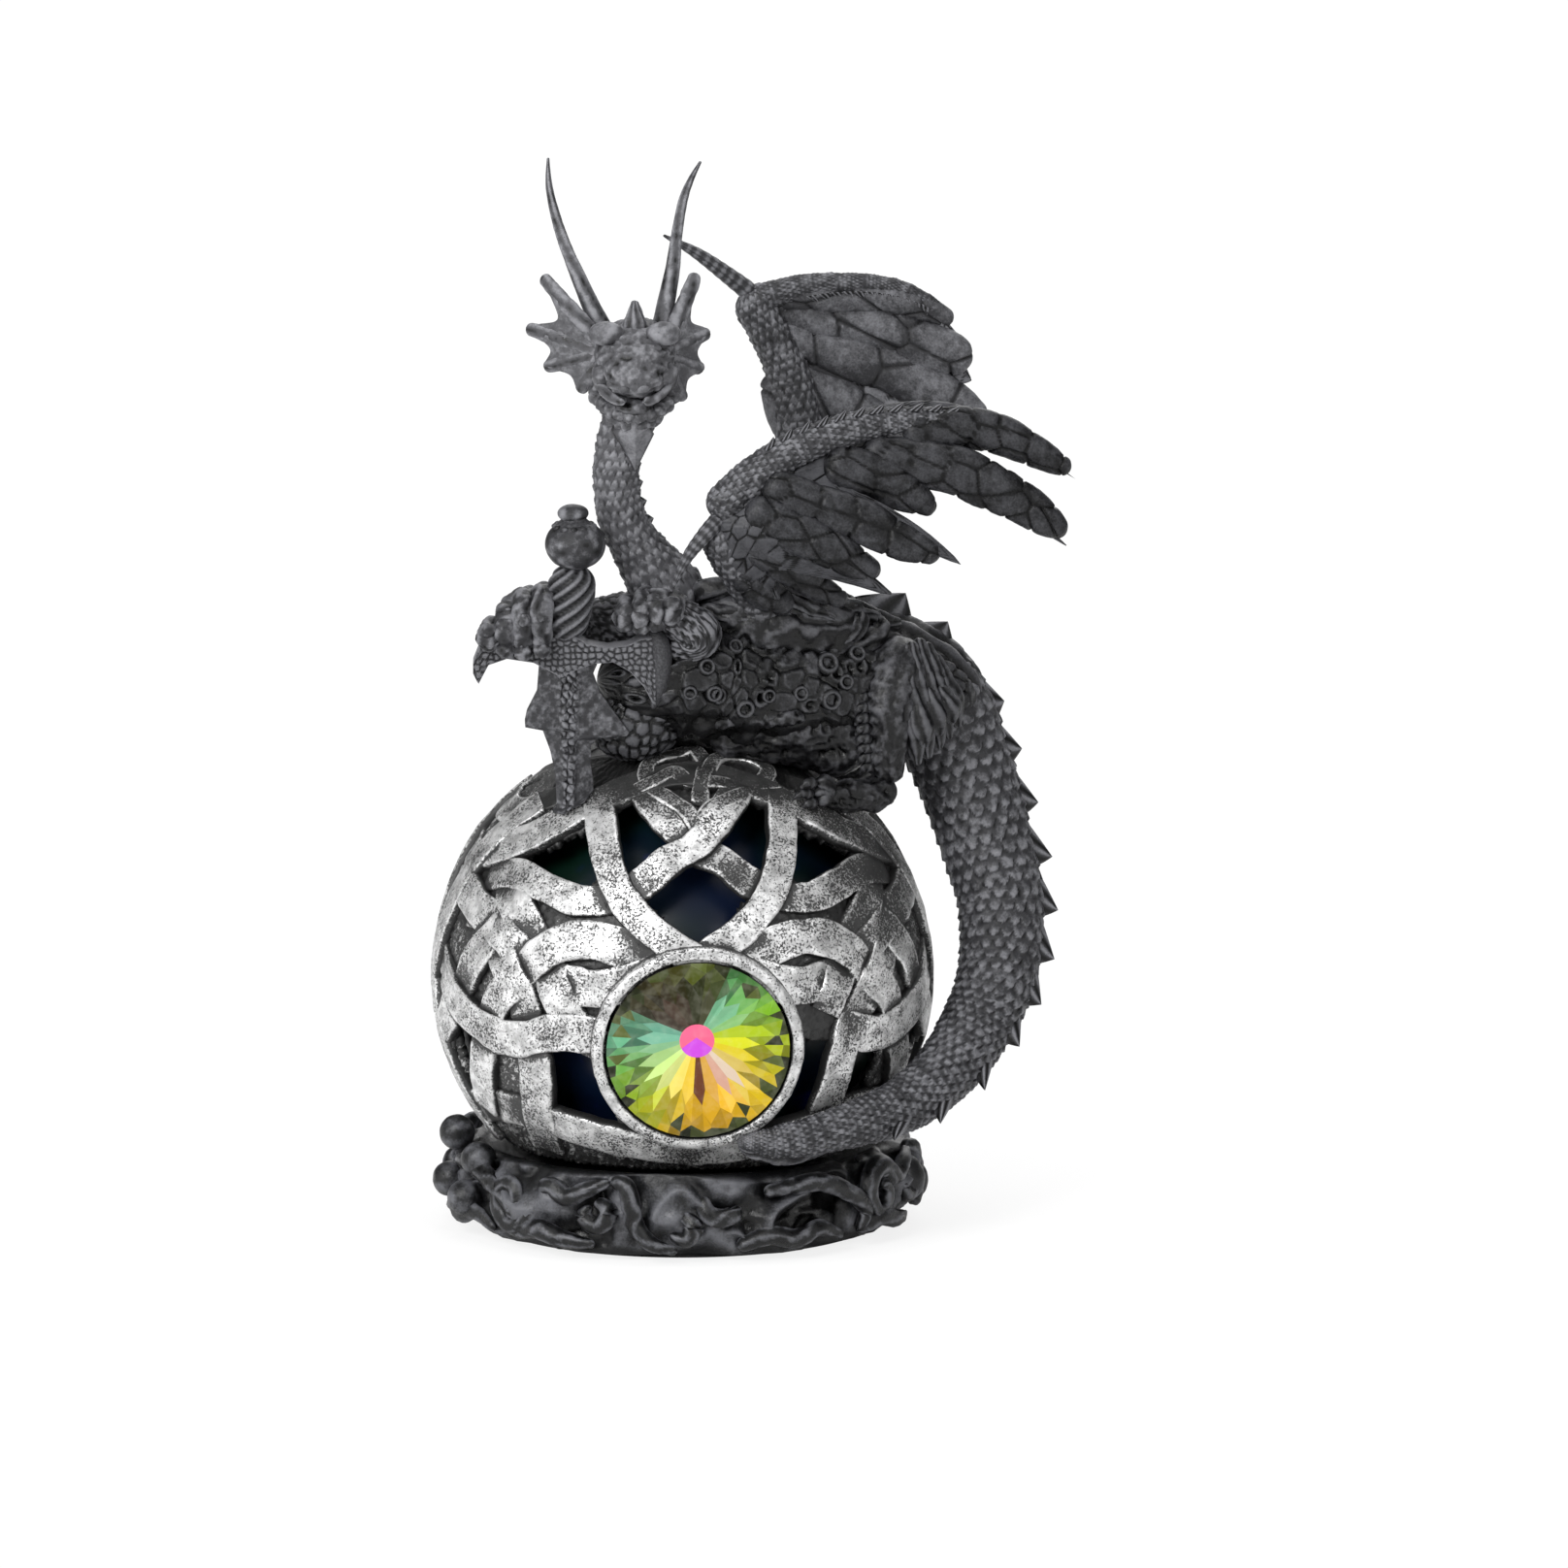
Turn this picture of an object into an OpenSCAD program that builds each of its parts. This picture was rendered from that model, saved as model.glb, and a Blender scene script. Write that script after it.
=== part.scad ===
// Dragon with a sword, coiled on an openwork orb with a lit globe inside.
// Millimetres, +Z up, front toward -Y.

/* [Orb] */
// Outside diameter of the openwork orb over its raised bands
orb_d = 96; // [88:0.5:104]
// Wall of the orb's ground layer between the bands
orb_wall = 1.6; // [1.2:0.1:2.2]
// Depth of the raised bands over the ground layer
band_rise = 1.9; // [1.6:0.1:2.6]
// Drop of a band where it passes under another
band_dip = 1.1; // [0.6:0.1:1.4]
// Width of a band
band_w = 6.2; // [5:0.1:7.2]
// Compass angle of the gem to the right of the front
gem_turn = 4; // [0:0.5:8]
// Angle of the gem below the equator
gem_drop = 7.5; // [4:0.5:12]
// Gap between the front and back halves of the orb
seam_gap = 0.1; // [0.05:0.05:0.3]
// Outside diameter of the inner globe
globe_d = 78; // [72:0.5:80]
// Wall of the inner globe
globe_wall = 1.5; // [1:0.1:2]
// Least gap between the inner globe and the wall round it
globe_gap = 2.4; // [2:0.1:4]

/* [Gem] */
// Diameter of the faceted gem
gem_d = 35; // [30:0.5:37]
// Height of the front cone of the gem
gem_crown = 3; // [2.4:0.1:5]
// Depth of the back cone of the gem
gem_pavilion = 4.4; // [3:0.1:4.6]
// Height of the gem's edge band
gem_girdle = 1.2; // [0.8:0.1:1.6]
// Number of long facets round the gem
gem_facets = 16; // [12:1:20]
// Radial clearance of the gem in its seat
gem_fit = 0.25; // [0.15:0.05:0.4]
// Width of the ring round the gem
bezel_w = 3; // [2:0.1:4]

/* [Base] */
// Diameter of the base at its foot
base_d = 86; // [82:0.5:94]
// Height of the base from its foot to its inner deck
base_h = 16.5; // [16:0.1:19]
// Thickness of the felt ring under the base
felt_t = 1; // [0.8:0.1:1.6]
// Outside diameter of the felt ring
felt_d = 76; // [66:0.5:78]
// Diameter of the pearls on the base
pearl_d = 6.8; // [5:0.1:7.4]

/* [Dragon] */
// Half width of the trunk at mid body
trunk_r = 14; // [12:0.1:15]
// Half width of the neck at mid length
neck_r = 4.8; // [4:0.1:5.6]
// Half width of the tail at its root
tail_r = 9.4; // [8:0.1:10.2]
// Half width of a hind leg at the thigh
thigh_r = 7; // [6:0.1:8]
// Thickness of the wing skin between the fingers
wing_t = 2; // [1.4:0.1:2.8]
// Extra thickness of the wing along each finger
finger_t = 1.6; // [1:0.1:2.4]
// Half width of a horn at its base
horn_r = 1.9; // [1.6:0.1:2.3]
// Length of the spikes along the back
spike_len = 5; // [3.5:0.1:6.5]

/* [Sword] */
// Length of the sword from its point to the button on its pommel
sword_len = 58.5; // [54:0.5:62]
// Thickness of the blade
blade_t = 3.4; // [2.6:0.1:4.2]
// Diameter of the pommel ball
pommel_d = 11.2; // [9.5:0.1:12]
// Diameter of the roped grip
grip_d = 8.2; // [7:0.1:9]

/* [Light unit] */
// Outside diameter of the light housing
puck_d = 43; // [42:0.5:45]
// Wall of the light housing
puck_wall = 1.5; // [1.2:0.1:1.8]
// Thickness of the housing floor and its flange
floor_t = 1.5; // [1.2:0.1:1.7]
// Diameter of a coin cell
cell_d = 20; // [20:0.1:20.4]
// Height of a coin cell
cell_h = 3.2; // [2.8:0.1:3.3]
// Diameter of the lamp
lamp_d = 5; // [4:0.1:5.2]
// Travel of the switch
switch_travel = 2; // [1.5:0.1:2.4]
// Turn that frees the battery door
door_turn = 30; // [24:1:36]
// Running clearance of the moving pieces
run_fit = 0.3; // [0.2:0.05:0.4]
// Diameter of the housing screws
screw_d = 2; // [1.8:0.1:2.2]

/* [Hidden] */
e = 0.01;
contact = 0.1;
orb_r = max(orb_d / 2, globe_d / 2 + globe_gap + orb_wall + band_rise);
fig = orb_r / 48;
ground_r = orb_r - band_rise;
deck_z = felt_t + base_h;
ledge_z = deck_z - 2.5;
orb_z = ledge_z + orb_r * 0.674;
orb_c = [0, 0, orb_z];
top = [0, 0, orb_z + orb_r];
socket_r = orb_r + 0.35;
globe_r = globe_d / 2;
gem_r = gem_d / 2;
seat_r = gem_r + gem_fit;
seat_d = globe_r + gem_pavilion + 0.9;
bezel_r = seat_r + bezel_w;
bezel_d = seat_d + gem_girdle + 0.2;
rest_d = seat_d - gem_pavilion * (1 - (seat_r - 2) / gem_r) - 0.05;

// A place on the dragon, from the top of the orb
function at(p) = top + fig * p;

// Smooth curves and skins

function unit(v) = v / norm(v);
function xyz(p) = [p[0], p[1], p[2]];

function curve(p, i, t) = let(
        a = p[max(i - 1, 0)],
        b = p[i],
        c = p[min(i + 1, len(p) - 1)],
        d = p[min(i + 2, len(p) - 1)])
    0.5 * (2 * b + (c - a) * t + (2 * a - 5 * b + 4 * c - d) * t * t
        + (3 * b - a - 3 * c + d) * t * t * t);

function smooth(p, steps) = [
    for (i = [0:len(p) - 2]) for (j = [0:steps - 1]) curve(p, i, j / steps),
    p[len(p) - 1]
];

function along(p, s) = let(
        n = len(p) - 1,
        i = min(floor(s * n), n - 1))
    curve(p, i, s * n - i);

function heading(s, i) = unit(xyz(s[min(i + 1, len(s) - 1)]) - xyz(s[max(i - 1, 0)]));

function ring(s, i, sides, up, grow) = let(
        t = heading(s, i),
        u = unit(cross(up, t)),
        v = cross(t, u),
        a = s[i][3] + grow,
        b = s[i][4] + grow)
    [for (j = [0:sides - 1]) xyz(s[i]) + u * a * cos(360 * j / sides) + v * b * sin(360 * j / sides)];

// A closed skin over rings of points
module skin(rings) {
    n = len(rings);
    k = len(rings[0]);
    points = [for (r = rings) for (p = r) p];
    walls = [
        for (i = [0:n - 2]) for (j = [0:k - 1]) each [
            [i * k + j, (i + 1) * k + j, (i + 1) * k + (j + 1) % k],
            [i * k + j, (i + 1) * k + (j + 1) % k, i * k + (j + 1) % k]
        ]
    ];
    first = [for (j = [1:k - 2]) [0, j, j + 1]];
    last = [for (j = [1:k - 2]) [(n - 1) * k, (n - 1) * k + j + 1, (n - 1) * k + j]];
    polyhedron(points, concat(walls, first, last), convexity = 8);
}

// A limb swept along a smooth route of x, y, z, half width and half height
module limb(route, sides = 10, steps = 2, up = [0, 1, 0.05], grow = 0) {
    s = smooth(route, steps);
    skin([for (i = [0:len(s) - 1]) ring(s, i, sides, up, grow)]);
}

// A sheet between a front and a back grid of points
module sheet(front, back) {
    n = len(front);
    k = len(front[0]);
    m = n * k;
    points = concat([for (r = front) for (p = r) p], [for (r = back) for (p = r) p]);
    face = [
        for (i = [0:n - 2]) for (j = [0:k - 2]) each [
            [i * k + j, (i + 1) * k + j + 1, (i + 1) * k + j],
            [i * k + j, i * k + j + 1, (i + 1) * k + j + 1]
        ]
    ];
    rear = [for (f = face) [f[0] + m, f[2] + m, f[1] + m]];
    rim = concat(
        [for (j = [0:k - 2]) j],
        [for (i = [0:n - 2]) i * k + k - 1],
        [for (j = [k - 1:-1:1]) (n - 1) * k + j],
        [for (i = [n - 1:-1:1]) i * k]);
    q = len(rim);
    edge = [
        for (i = [0:q - 1]) each [
            [rim[i], rim[(i + 1) % q] + m, rim[(i + 1) % q]],
            [rim[i], rim[i] + m, rim[(i + 1) % q] + m]
        ]
    ];
    polyhedron(points, concat(face, rear, edge), convexity = 8);
}

// A spike from a root to a point
module spike(root, tip, r) {
    hull() {
        translate(root) sphere(r, $fn = 6);
        translate(tip) sphere(0.35, $fn = 4);
    }
}

// A rounded link between two balls
module link(p, q, r1, r2) {
    hull() {
        translate(p) sphere(r1, $fn = 6);
        translate(q) sphere(r2, $fn = 6);
    }
}

// Orb

function on_orb(az, el, r) = orb_c + r * [sin(az) * cos(el), -cos(az) * cos(el), sin(el)];

// Route of each band on the left half: angle from the motif's middle, height angle, lift left, lift right
BANDS = [
    [[-42, 57, 0.5, 0.5], [-33, 48, 1, 1], [-27, 39, 1, 1], [-21, 30, 1, 1], [-14, 23, 1, 0.8],
        [-7, 18, 1, 0.4], [0, 14, 1, 0], [8, 12, 0.6, 0]],
    [[27, 56, 0.6, 0.6], [13, 49, 1, 0.4], [1, 42, 1, 0], [-8, 38, 0.8, 0.3], [-14, 33, 0.4, 0.4],
        [-21, 29, 0, 0], [-31, 27, 0.8, 0.8], [-42, 29, 1, 1], [-54, 31, 0.8, 0.8], [-68, 29, 0, 0]],
    [[-4, 13, 0, 0], [-13, 15, 0.2, 0.2], [-24, 18, 1, 1], [-33, 17, 1, 1], [-40, 13, 1, 1],
        [-45, 8, 0.2, 0.2], [-51, 2, 1, 1], [-56, -6, 0.2, 0.2], [-60, -15, 1, 1], [-66, -28, 1, 1]],
    [[-9, 12, 0, 0], [-16, 9, 0.6, 0.6], [-24, 7, 1, 1], [-33, 8, 0.4, 0.4], [-42, 11, 0, 0],
        [-51, 16, 1, 1], [-60, 20, 0.4, 0.4], [-70, 20, 0, 0]],
    [[-58, 29, 0, 0], [-51, 24, 1, 1], [-44, 18, 0.2, 0.2], [-38, 11, 0, 0], [-34, 5, 1, 1],
        [-30, -4, 0.4, 0.4], [-25, -14, 0.2, 0.2]],
    [[-43, 21, 0, 0], [-53, 18, 0.6, 0.6], [-61, 10, 1, 1], [-68, 1, 0.2, 0.2], [-80, -10, 1, 1]],
    [[-80, 25, 0.6, 0.6], [-68, 22, 1, 1], [-57, 17, 0.2, 0.2], [-49, 9, 1, 1], [-44, 2, 0.4, 0.4],
        [-42, -6, 0.2, 0.2], [-41, -14, 1, 1], [-43, -23, 1, 1], [-47, -38, 0.4, 0.4]],
    [[-22, -4, 0.2, 0.2], [-34, -4, 1, 1], [-46, -7, 1, 1], [-56, -6, 1, 1], [-68, -2, 1, 1],
        [-80, 4, 0.2, 0.2]],
    [[-76, -30, 0.2, 0.2], [-62, -27, 0.4, 0.4], [-48, -27, 0.2, 0.2], [-34, -29, 1, 1], [-17, -32.6, 1, 1],
        [3, -35, 0.6, 0.6]],
    [[-80, 32, 0.2, 0.2], [-67, 36, 0.8, 0.8], [-56, 41, 0.8, 0.8], [-43, 50, 0.8, 0.8], [-30, 58, 0.6, 0.6],
        [-15, 63, 0.6, 0.6], [4, 65, 0.6, 0.6]],
    [[-66, 50, 0.6, 0.6], [-76, 34, 1, 1], [-84, 15, 0.2, 0.2], [-91, -2, 1, 0.2], [-97, -20, 0.6, 0.6],
        [-102, -40, 0.6, 0.6]]
];

// Corners of the open windows: angle from the motif's middle and height angle
OPEN = [
    [[-58, 35], [-36, 47], [-26, 40], [-30, 30], [-46, 31]],
    [[-33, 52], [-20, 60], [-4, 45], [-6, 38], [-20, 32], [-30, 38]],
    [[-40, -9], [-27, -6], [-20, -30], [-40, -28]],
    [[-76, -4], [-62.5, -4], [-62.5, -26], [-78, -26]]
];
MIDDLE_OPEN = [[0, 41], [-16, 30], [0, 16], [16, 30]];
PANEL = [[0, 42], [-22, 61], [22, 61]];

// On the front, the seventh band runs closer to the gem on the right, and leaves room for one more window
RIGHT_BAND = [[-80, 25, 0.6, 0.6], [-68, 22, 1, 1], [-57, 17, 0.2, 0.2], [-50, 9, 1, 1], [-45, 3, 0.4, 0.4],
    [-40, -3, 0.2, 0.2], [-37, -10, 1, 1], [-36, -17, 1, 1], [-35, -27, 0.6, 0.6], [-35, -38, 0.4, 0.4]];
RIGHT_OPEN = [[-40, -11], [-53, -11], [-52, -24], [-40, -28]];

function band_ring(s, i, side) = let(
        p = on_orb(s[i][0], s[i][1], 1),
        n = unit(p - orb_c),
        t = heading([for (q = s) on_orb(q[0], q[1], orb_r)], i),
        u = unit(cross(n, t)),
        lift = s[i][side > 0 ? 3 : 2],
        outer = orb_r - band_dip * (1 - max(0, min(1, lift))),
        inner = ground_r - orb_wall * 0.8,
        w = band_w / 2)
    [
        orb_c + n * inner - u * w,
        orb_c + n * inner + u * w,
        orb_c + n * outer + u * w * 0.84,
        orb_c + n * outer - u * w * 0.84
    ];

// One band, on the left for side -1 and mirrored for side 1
module band(route, side, steps = 1) {
    s = [for (p = smooth(route, steps)) [side < 0 ? p[0] : -p[0], p[1], p[2], p[3]]];
    skin([for (i = [0:len(s) - 1]) band_ring(s, i, side)]);
}

module window(corners, side) {
    hull() {
        translate(orb_c) cube(0.2, center = true);
        for (p = corners) translate(on_orb(side * p[0], p[1], orb_r + 8)) cube(0.2, center = true);
    }
}

module gem_axis() {
    translate(orb_c) rotate([0, 0, gem_turn]) rotate([90 + gem_drop, 0, 0]) children();
}

module motif(turn) {
    translate([orb_c[0], orb_c[1], 0]) rotate([0, 0, turn]) translate([-orb_c[0], -orb_c[1], 0]) children();
}

GROUND_FN = 24;

module orb_ground() {
    difference() {
        translate(orb_c) sphere(ground_r * 1.008, $fn = GROUND_FN);
        translate(orb_c) sphere(ground_r - orb_wall, $fn = 18);
        difference() {
            union() {
                for (turn = [gem_turn, gem_turn + 180]) motif(turn) {
                    for (corners = OPEN) for (side = [-1, 1]) window(corners, -side);
                    window(MIDDLE_OPEN, 1);
                }
                motif(gem_turn) window(RIGHT_OPEN, -1);
            }
            for (turn = [gem_turn, gem_turn + 180]) motif(turn) window(PANEL, 1);
        }
    }
}

module orb_shell() {
    difference() {
        union() {
            orb_ground();
            motif(gem_turn) for (i = [0:len(BANDS) - 1]) {
                band(BANDS[i], -1);
                band(i == 6 ? RIGHT_BAND : BANDS[i], 1);
            }
            motif(gem_turn + 180) for (i = [0, 1, 2, 3, 6, 8, 9, 10]) for (side = [-1, 1])
                band(BANDS[i], side, i == 9 || i == 10 ? 2 : 1);
            gem_axis() translate([0, 0, rest_d - 4.6]) cylinder(r = bezel_r, h = 4, $fn = 32);
            gem_axis() translate([0, 0, rest_d - 0.6 - e])
                cylinder(r1 = bezel_r, r2 = seat_r + 1, h = bezel_d - rest_d + 0.6 + e, $fn = 32);
        }
        gem_axis() translate([0, 0, rest_d]) cylinder(r = seat_r + 0.1, h = 20, $fn = 32);
        gem_axis() cylinder(r = seat_r - 1.9, h = orb_r, $fn = 32);
        translate([-orb_d, -orb_d, ledge_z - orb_d]) cube([2 * orb_d, 2 * orb_d, orb_d]);
    }
}

module orb_shell_front() {
    color([0.72, 0.72, 0.72]) intersection() {
        orb_shell();
        translate([-orb_d, -2 * orb_d - seam_gap / 2, 0]) cube([2 * orb_d, 2 * orb_d, 4 * orb_d]);
    }
}

module orb_shell_back() {
    color([0.68, 0.68, 0.68]) intersection() {
        orb_shell();
        translate([-orb_d, seam_gap / 2, 0]) cube([2 * orb_d, 2 * orb_d, 4 * orb_d]);
    }
}

module inner_globe() {
    color([0.05, 0.1, 0.2]) difference() {
        translate(orb_c) sphere(globe_r, $fn = 96);
        translate(orb_c) sphere(globe_r - globe_wall, $fn = 96);
        translate([-orb_d, -orb_d, deck_z - orb_d]) cube([2 * orb_d, 2 * orb_d, orb_d]);
    }
}

// The gem: a back cone, an edge band, a ring of small facets and a front cone of long facets
module gem() {
    n = gem_facets;
    r = gem_r * cos(90 / n);
    low = [for (i = [0:n - 1]) [r * cos(360 * i / n), r * sin(360 * i / n), 0]];
    high = [for (p = low) p + [0, 0, gem_girdle]];
    inner = [for (i = [0:n - 1]) [r * 0.84 * cos(360 * (i + 0.5) / n), r * 0.84 * sin(360 * (i + 0.5) / n),
        gem_girdle + gem_crown * 0.34]];
    points = concat([[0, 0, -gem_pavilion]], low, high, inner, [[0, 0, gem_girdle + gem_crown]]);
    a = 1;
    b = n + 1;
    c = 2 * n + 1;
    tip = 3 * n + 1;
    faces = concat(
        [for (i = [0:n - 1]) [0, a + i, a + (i + 1) % n]],
        [for (i = [0:n - 1]) [a + i, b + i, a + (i + 1) % n]],
        [for (i = [0:n - 1]) [b + i, b + (i + 1) % n, a + (i + 1) % n]],
        [for (i = [0:n - 1]) [b + i, c + i, b + (i + 1) % n]],
        [for (i = [0:n - 1]) [c + i, c + (i + 1) % n, b + (i + 1) % n]],
        [for (i = [0:n - 1]) [c + i, tip, c + (i + 1) % n]]);
    color([0.7, 0.75, 0.2]) gem_axis() translate([0, 0, seat_d]) polyhedron(points, faces, convexity = 2);
}

// Base

function skirt_r(a, k) = base_d / 2 * [0.945, 0.985, 1.01, 0.99, 0.97][k]
    + 1.1 * sin(5 * a + 40 * k) + 0.8 * sin(9 * a - 60 * k);

module skirt() {
    levels = [felt_t, felt_t + 3, felt_t + 7.6, felt_t + 11.6, ledge_z + 1.2];
    skin([for (k = [0:4]) [for (i = [0:35])
        [skirt_r(10 * i, k) * cos(10 * i), skirt_r(10 * i, k) * sin(10 * i), levels[k]]]]);
}

// A scroll of the carved surf: a thinning roll that winds in on itself
module scroll(az, z, size, wind) {
    route = [for (i = [0:6]) let(r = size * (1 - i / 8))
        [r * cos(wind * 62 * i), -0.15 * i, r * sin(wind * 62 * i), 2.5 - 0.2 * i, 2.5 - 0.2 * i]];
    rotate([0, 0, az]) translate([0, -base_d / 2 + 0.4, z]) limb(route, 6, 1);
}

module pearls() {
    for (p = [[-80, 0.4, 17], [-62, 0.6, 14.4], [-78, 2, 8.4], [-66, 2, 6.6]])
        rotate([0, 0, p[0]]) translate([0, -base_d / 2 - p[1], felt_t + p[2]]) sphere(d = pearl_d, $fn = 10);
}

// Rounded lumps of the surf
module lump(az, z, w, h) {
    rotate([0, 0, az]) translate([0, -base_d / 2 + 1, z])
        link([-w / 2, 0, -h / 2], [w / 2, 0, h / 2], 3.2, 2.6);
}

module base_form() {
    skirt();
    pearls();
    scroll(-47, felt_t + 8.5, 5, -1);
    for (az = [58, 135, 220]) scroll(az, felt_t + 8.5, 5, 1);
    for (p = [[-24, 5, 10, 3], [-4, 8, 9, -4], [18, 6, 10, 3], [38, 9, 8, -3], [78, 10, 6, 2], [92, 9, 6, -3],
        [112, 6, 9, 3], [160, 8, 9, -3], [190, 6, 9, 3], [248, 8, 9, -3]])
        lump(p[0], felt_t + p[1], p[2], p[3]);
}

module base() {
    color([0.13, 0.13, 0.14]) difference() {
        union() {
            base_form();
            translate([0, 0, felt_t]) cylinder(r = deck_r, h = deck_z - felt_t, $fn = 36);
        }
        difference() {
            translate(orb_c) sphere(socket_r, $fn = 36);
            translate([-orb_d, -orb_d, ledge_z - orb_d]) cube([2 * orb_d, 2 * orb_d, orb_d]);
            translate([0, 0, ledge_z - 1]) cylinder(r = deck_r, h = deck_z - ledge_z + 1, $fn = 36);
        }
        translate([0, 0, deck_z]) cylinder(r = deck_r + 1, h = 10, $fn = 36);
        translate([0, 0, felt_t - 1]) cylinder(r = bore_r + 0.2, h = puck_top - felt_t + 1, $fn = 36);
        translate([0, 0, felt_t - 1]) cylinder(r = flange_r + 0.5, h = floor_top - felt_t + 1, $fn = 36);
        cylinder(r = lamp_hole_r, h = deck_z + 1, $fn = 24);
        for (a = SCREW_ANGLES) rotate([0, 0, a]) translate([screw_ring, 0, 0])
            cylinder(d = screw_d + 0.3, h = floor_top + 6.5, $fn = 12);
        translate([-orb_d, -orb_d, felt_t - orb_d]) cube([2 * orb_d, 2 * orb_d, orb_d]);
    }
}

module base_felt() {
    color([0.05, 0.05, 0.05]) difference() {
        cylinder(d = felt_d, h = felt_t, $fn = 96);
        translate([0, 0, -1]) cylinder(r = flange_r + 1, h = felt_t + 2, $fn = 96);
    }
}

// Dragon

// Route of a limb from rows of x, y, z from the top of the orb and half widths, which follow a driving size
function rows_at(rows, k = 1, flat = 1) = [
    for (r = rows) concat(at(xyz(r)), [r[3] * k, (len(r) > 4 ? r[4] : r[3] * flat) * k])
];

// Trunk: half height and half width at each station
TRUNK = [
    [-16, -14, 11, 6, 6], [-9, -13, 11, 9.4, 9.8], [-3, -11, 12, 12.9, 13.9], [5, -7, 10.5, 14.3, 15.3],
    [17, -3, 8.5, 14.7, 15.3], [29, 2, 8.5, 13.8, 15.3], [41, 6, 7.5, 11.8, 13.9], [49, 8, 2.5, 9.6, 11.2],
    [53, 8, -3, 6, 7]
];
SHOULDER = [[2, -9.5, 22, 6.5], [12, -10.5, 22.5, 8], [22, -8.5, 21, 8], [33, -4, 18, 6.5]];
BELLY = [[2, -11, 3, 7], [14, -9, 1.5, 8], [26, -6, -0.5, 8], [36, -4, -4.5, 6.5]];

// Folds of skin over the flank and the shoulder
FOLDS = [
    [[6, -12, 23.2, 1.4], [9.6, -13.8, 26, 1.6], [15.5, -15, 27.4, 1.6], [22.6, -15, 25.6, 1.4],
        [29, -13, 22.6, 0.5]],
    [[7.8, -13, 27, 1.4], [13, -14.5, 29, 1.6], [20.2, -14.4, 27.7, 1.5], [26, -13, 25.8, 0.5]],
    [[24.9, -11, 20.6, 0.9], [29, -10.5, 19, 1.4], [32.6, -9.5, 20, 1.5], [33.5, -7.5, 22, 1.2],
        [30.8, -6, 23.2, 0.5]],
    [[28.4, -9.5, 18, 0.9], [33.2, -9, 17.4, 1.4], [37, -7.5, 18.6, 1.5], [37.6, -5.5, 20.5, 1.1],
        [35.5, -4, 21.6, 0.5]],
    [[17, -11.6, 27.6, 1.8], [24, -10.6, 27.4, 1.8], [31, -8, 24.6, 1.5], [37.6, -4.6, 21.6, 0.5]],
    [[22, -9, 25.4, 1.9], [29, -8, 24.6, 1.9], [36, -4.5, 21.4, 1.5], [41.4, 0, 19.4, 0.6]],
    [[2, -13.6, 22, 1.4], [5, -15.6, 24.4, 1.5], [10, -16.6, 24.4, 1.4], [15, -16.4, 22.8, 0.5]],
    [[2, -13, 27.4, 1.6], [5, -15, 28.8, 1.7], [9, -15.6, 29.8, 1.4], [13, -15, 30.6, 0.5]]
];

// Legs and feet of the near and the far side, from the hip to the heel and from the heel to the toes
LEGS = [
    [[41.4, -1, 15, 6.8], [40.4, -6.5, 11.5, 6.2], [39.4, -9.5, 6.5, 5.2], [39, -10.4, 0.6, 4.4],
        [39, -9.4, -5.4, 3.8], [39.4, -8, -9.6, 3.3]],
    [[40, 13, 15, 6.8], [39.4, 18.5, 11.5, 6.2], [38.6, 21.5, 6.5, 5.2], [37.6, 22.4, 0.6, 4.4],
        [36.6, 21.6, -5.4, 3.8], [35.6, 20.4, -10, 3.3]]
];
FEET = [
    [[39.6, -8, -9.8, 3.3], [35, -12, -11.6, 3.3], [30.4, -15.6, -11.4, 2.9], [27.4, -18.4, -10.4, 2.2]],
    [[35.8, 20.4, -10.4, 3.3], [31.4, 23.4, -13.2, 3.3], [27.6, 26.2, -13.4, 2.9], [25, 28.4, -13.6, 2.2]]
];
TOES = [[-3.4, 3.6], [-4.4, 0.6], [-3.2, -2]];

module hind_leg(i, grow = 0) {
    side = i == 0 ? -1 : 1;
    k = thigh_r / 7;
    limb(rows_at(LEGS[i], k), 8, 1, [0, 1, 0.05], grow);
    limb(rows_at(FEET[i], k), 6, 1, [0, 0, 1], grow);
    heel = FEET[i][3];
    for (t = TOES) {
        toe = xyz(heel) + [0.6 * t[0], side * 1.6, 0.7 * t[1] + 0.4];
        link(at(xyz(heel)), at(toe), 1.8 * k + grow, 1.5 * k + grow);
        spike(at(toe), at(toe + [0.9 * t[0], side * 1.8, -0.8]), 1.2 + grow);
    }
}

// A clenched paw: fingers of a place across, a height of the knuckle and a height of the tip, round a hand
module fist(fingers, hand, grow = 0) {
    for (f = fingers) limb(rows_at([
        [f[0] + 1.2, -17, f[1] - 4, 2], [f[0] + 0.4, -21.5, f[1] - 2.2, 2.15], [f[0], -26, f[1] - 3.4, 2.25],
        [f[0] - 0.1, -27.8, (f[1] + f[2]) / 2, 2.1], [f[0], -26.2, f[2] + 1.8, 1.7]
    ]), 5, 1, [1, 0, 0.05], grow);
    translate(at(hand)) scale([1.25, 1, 1]) sphere(4.2 + grow, $fn = 8);
}

ARMS = [
    [[-1, -13, 17, 5.6], [-1, -17, 19, 5.3], [3, -22, 22, 4.1], [-4, -22, 26.5, 3.4]],
    [[-6, -8, 20, 5.6], [-9, -10, 22, 5.3], [-20, -12, 21, 4.8], [-28, -17, 26, 3.6]]
];

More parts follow.
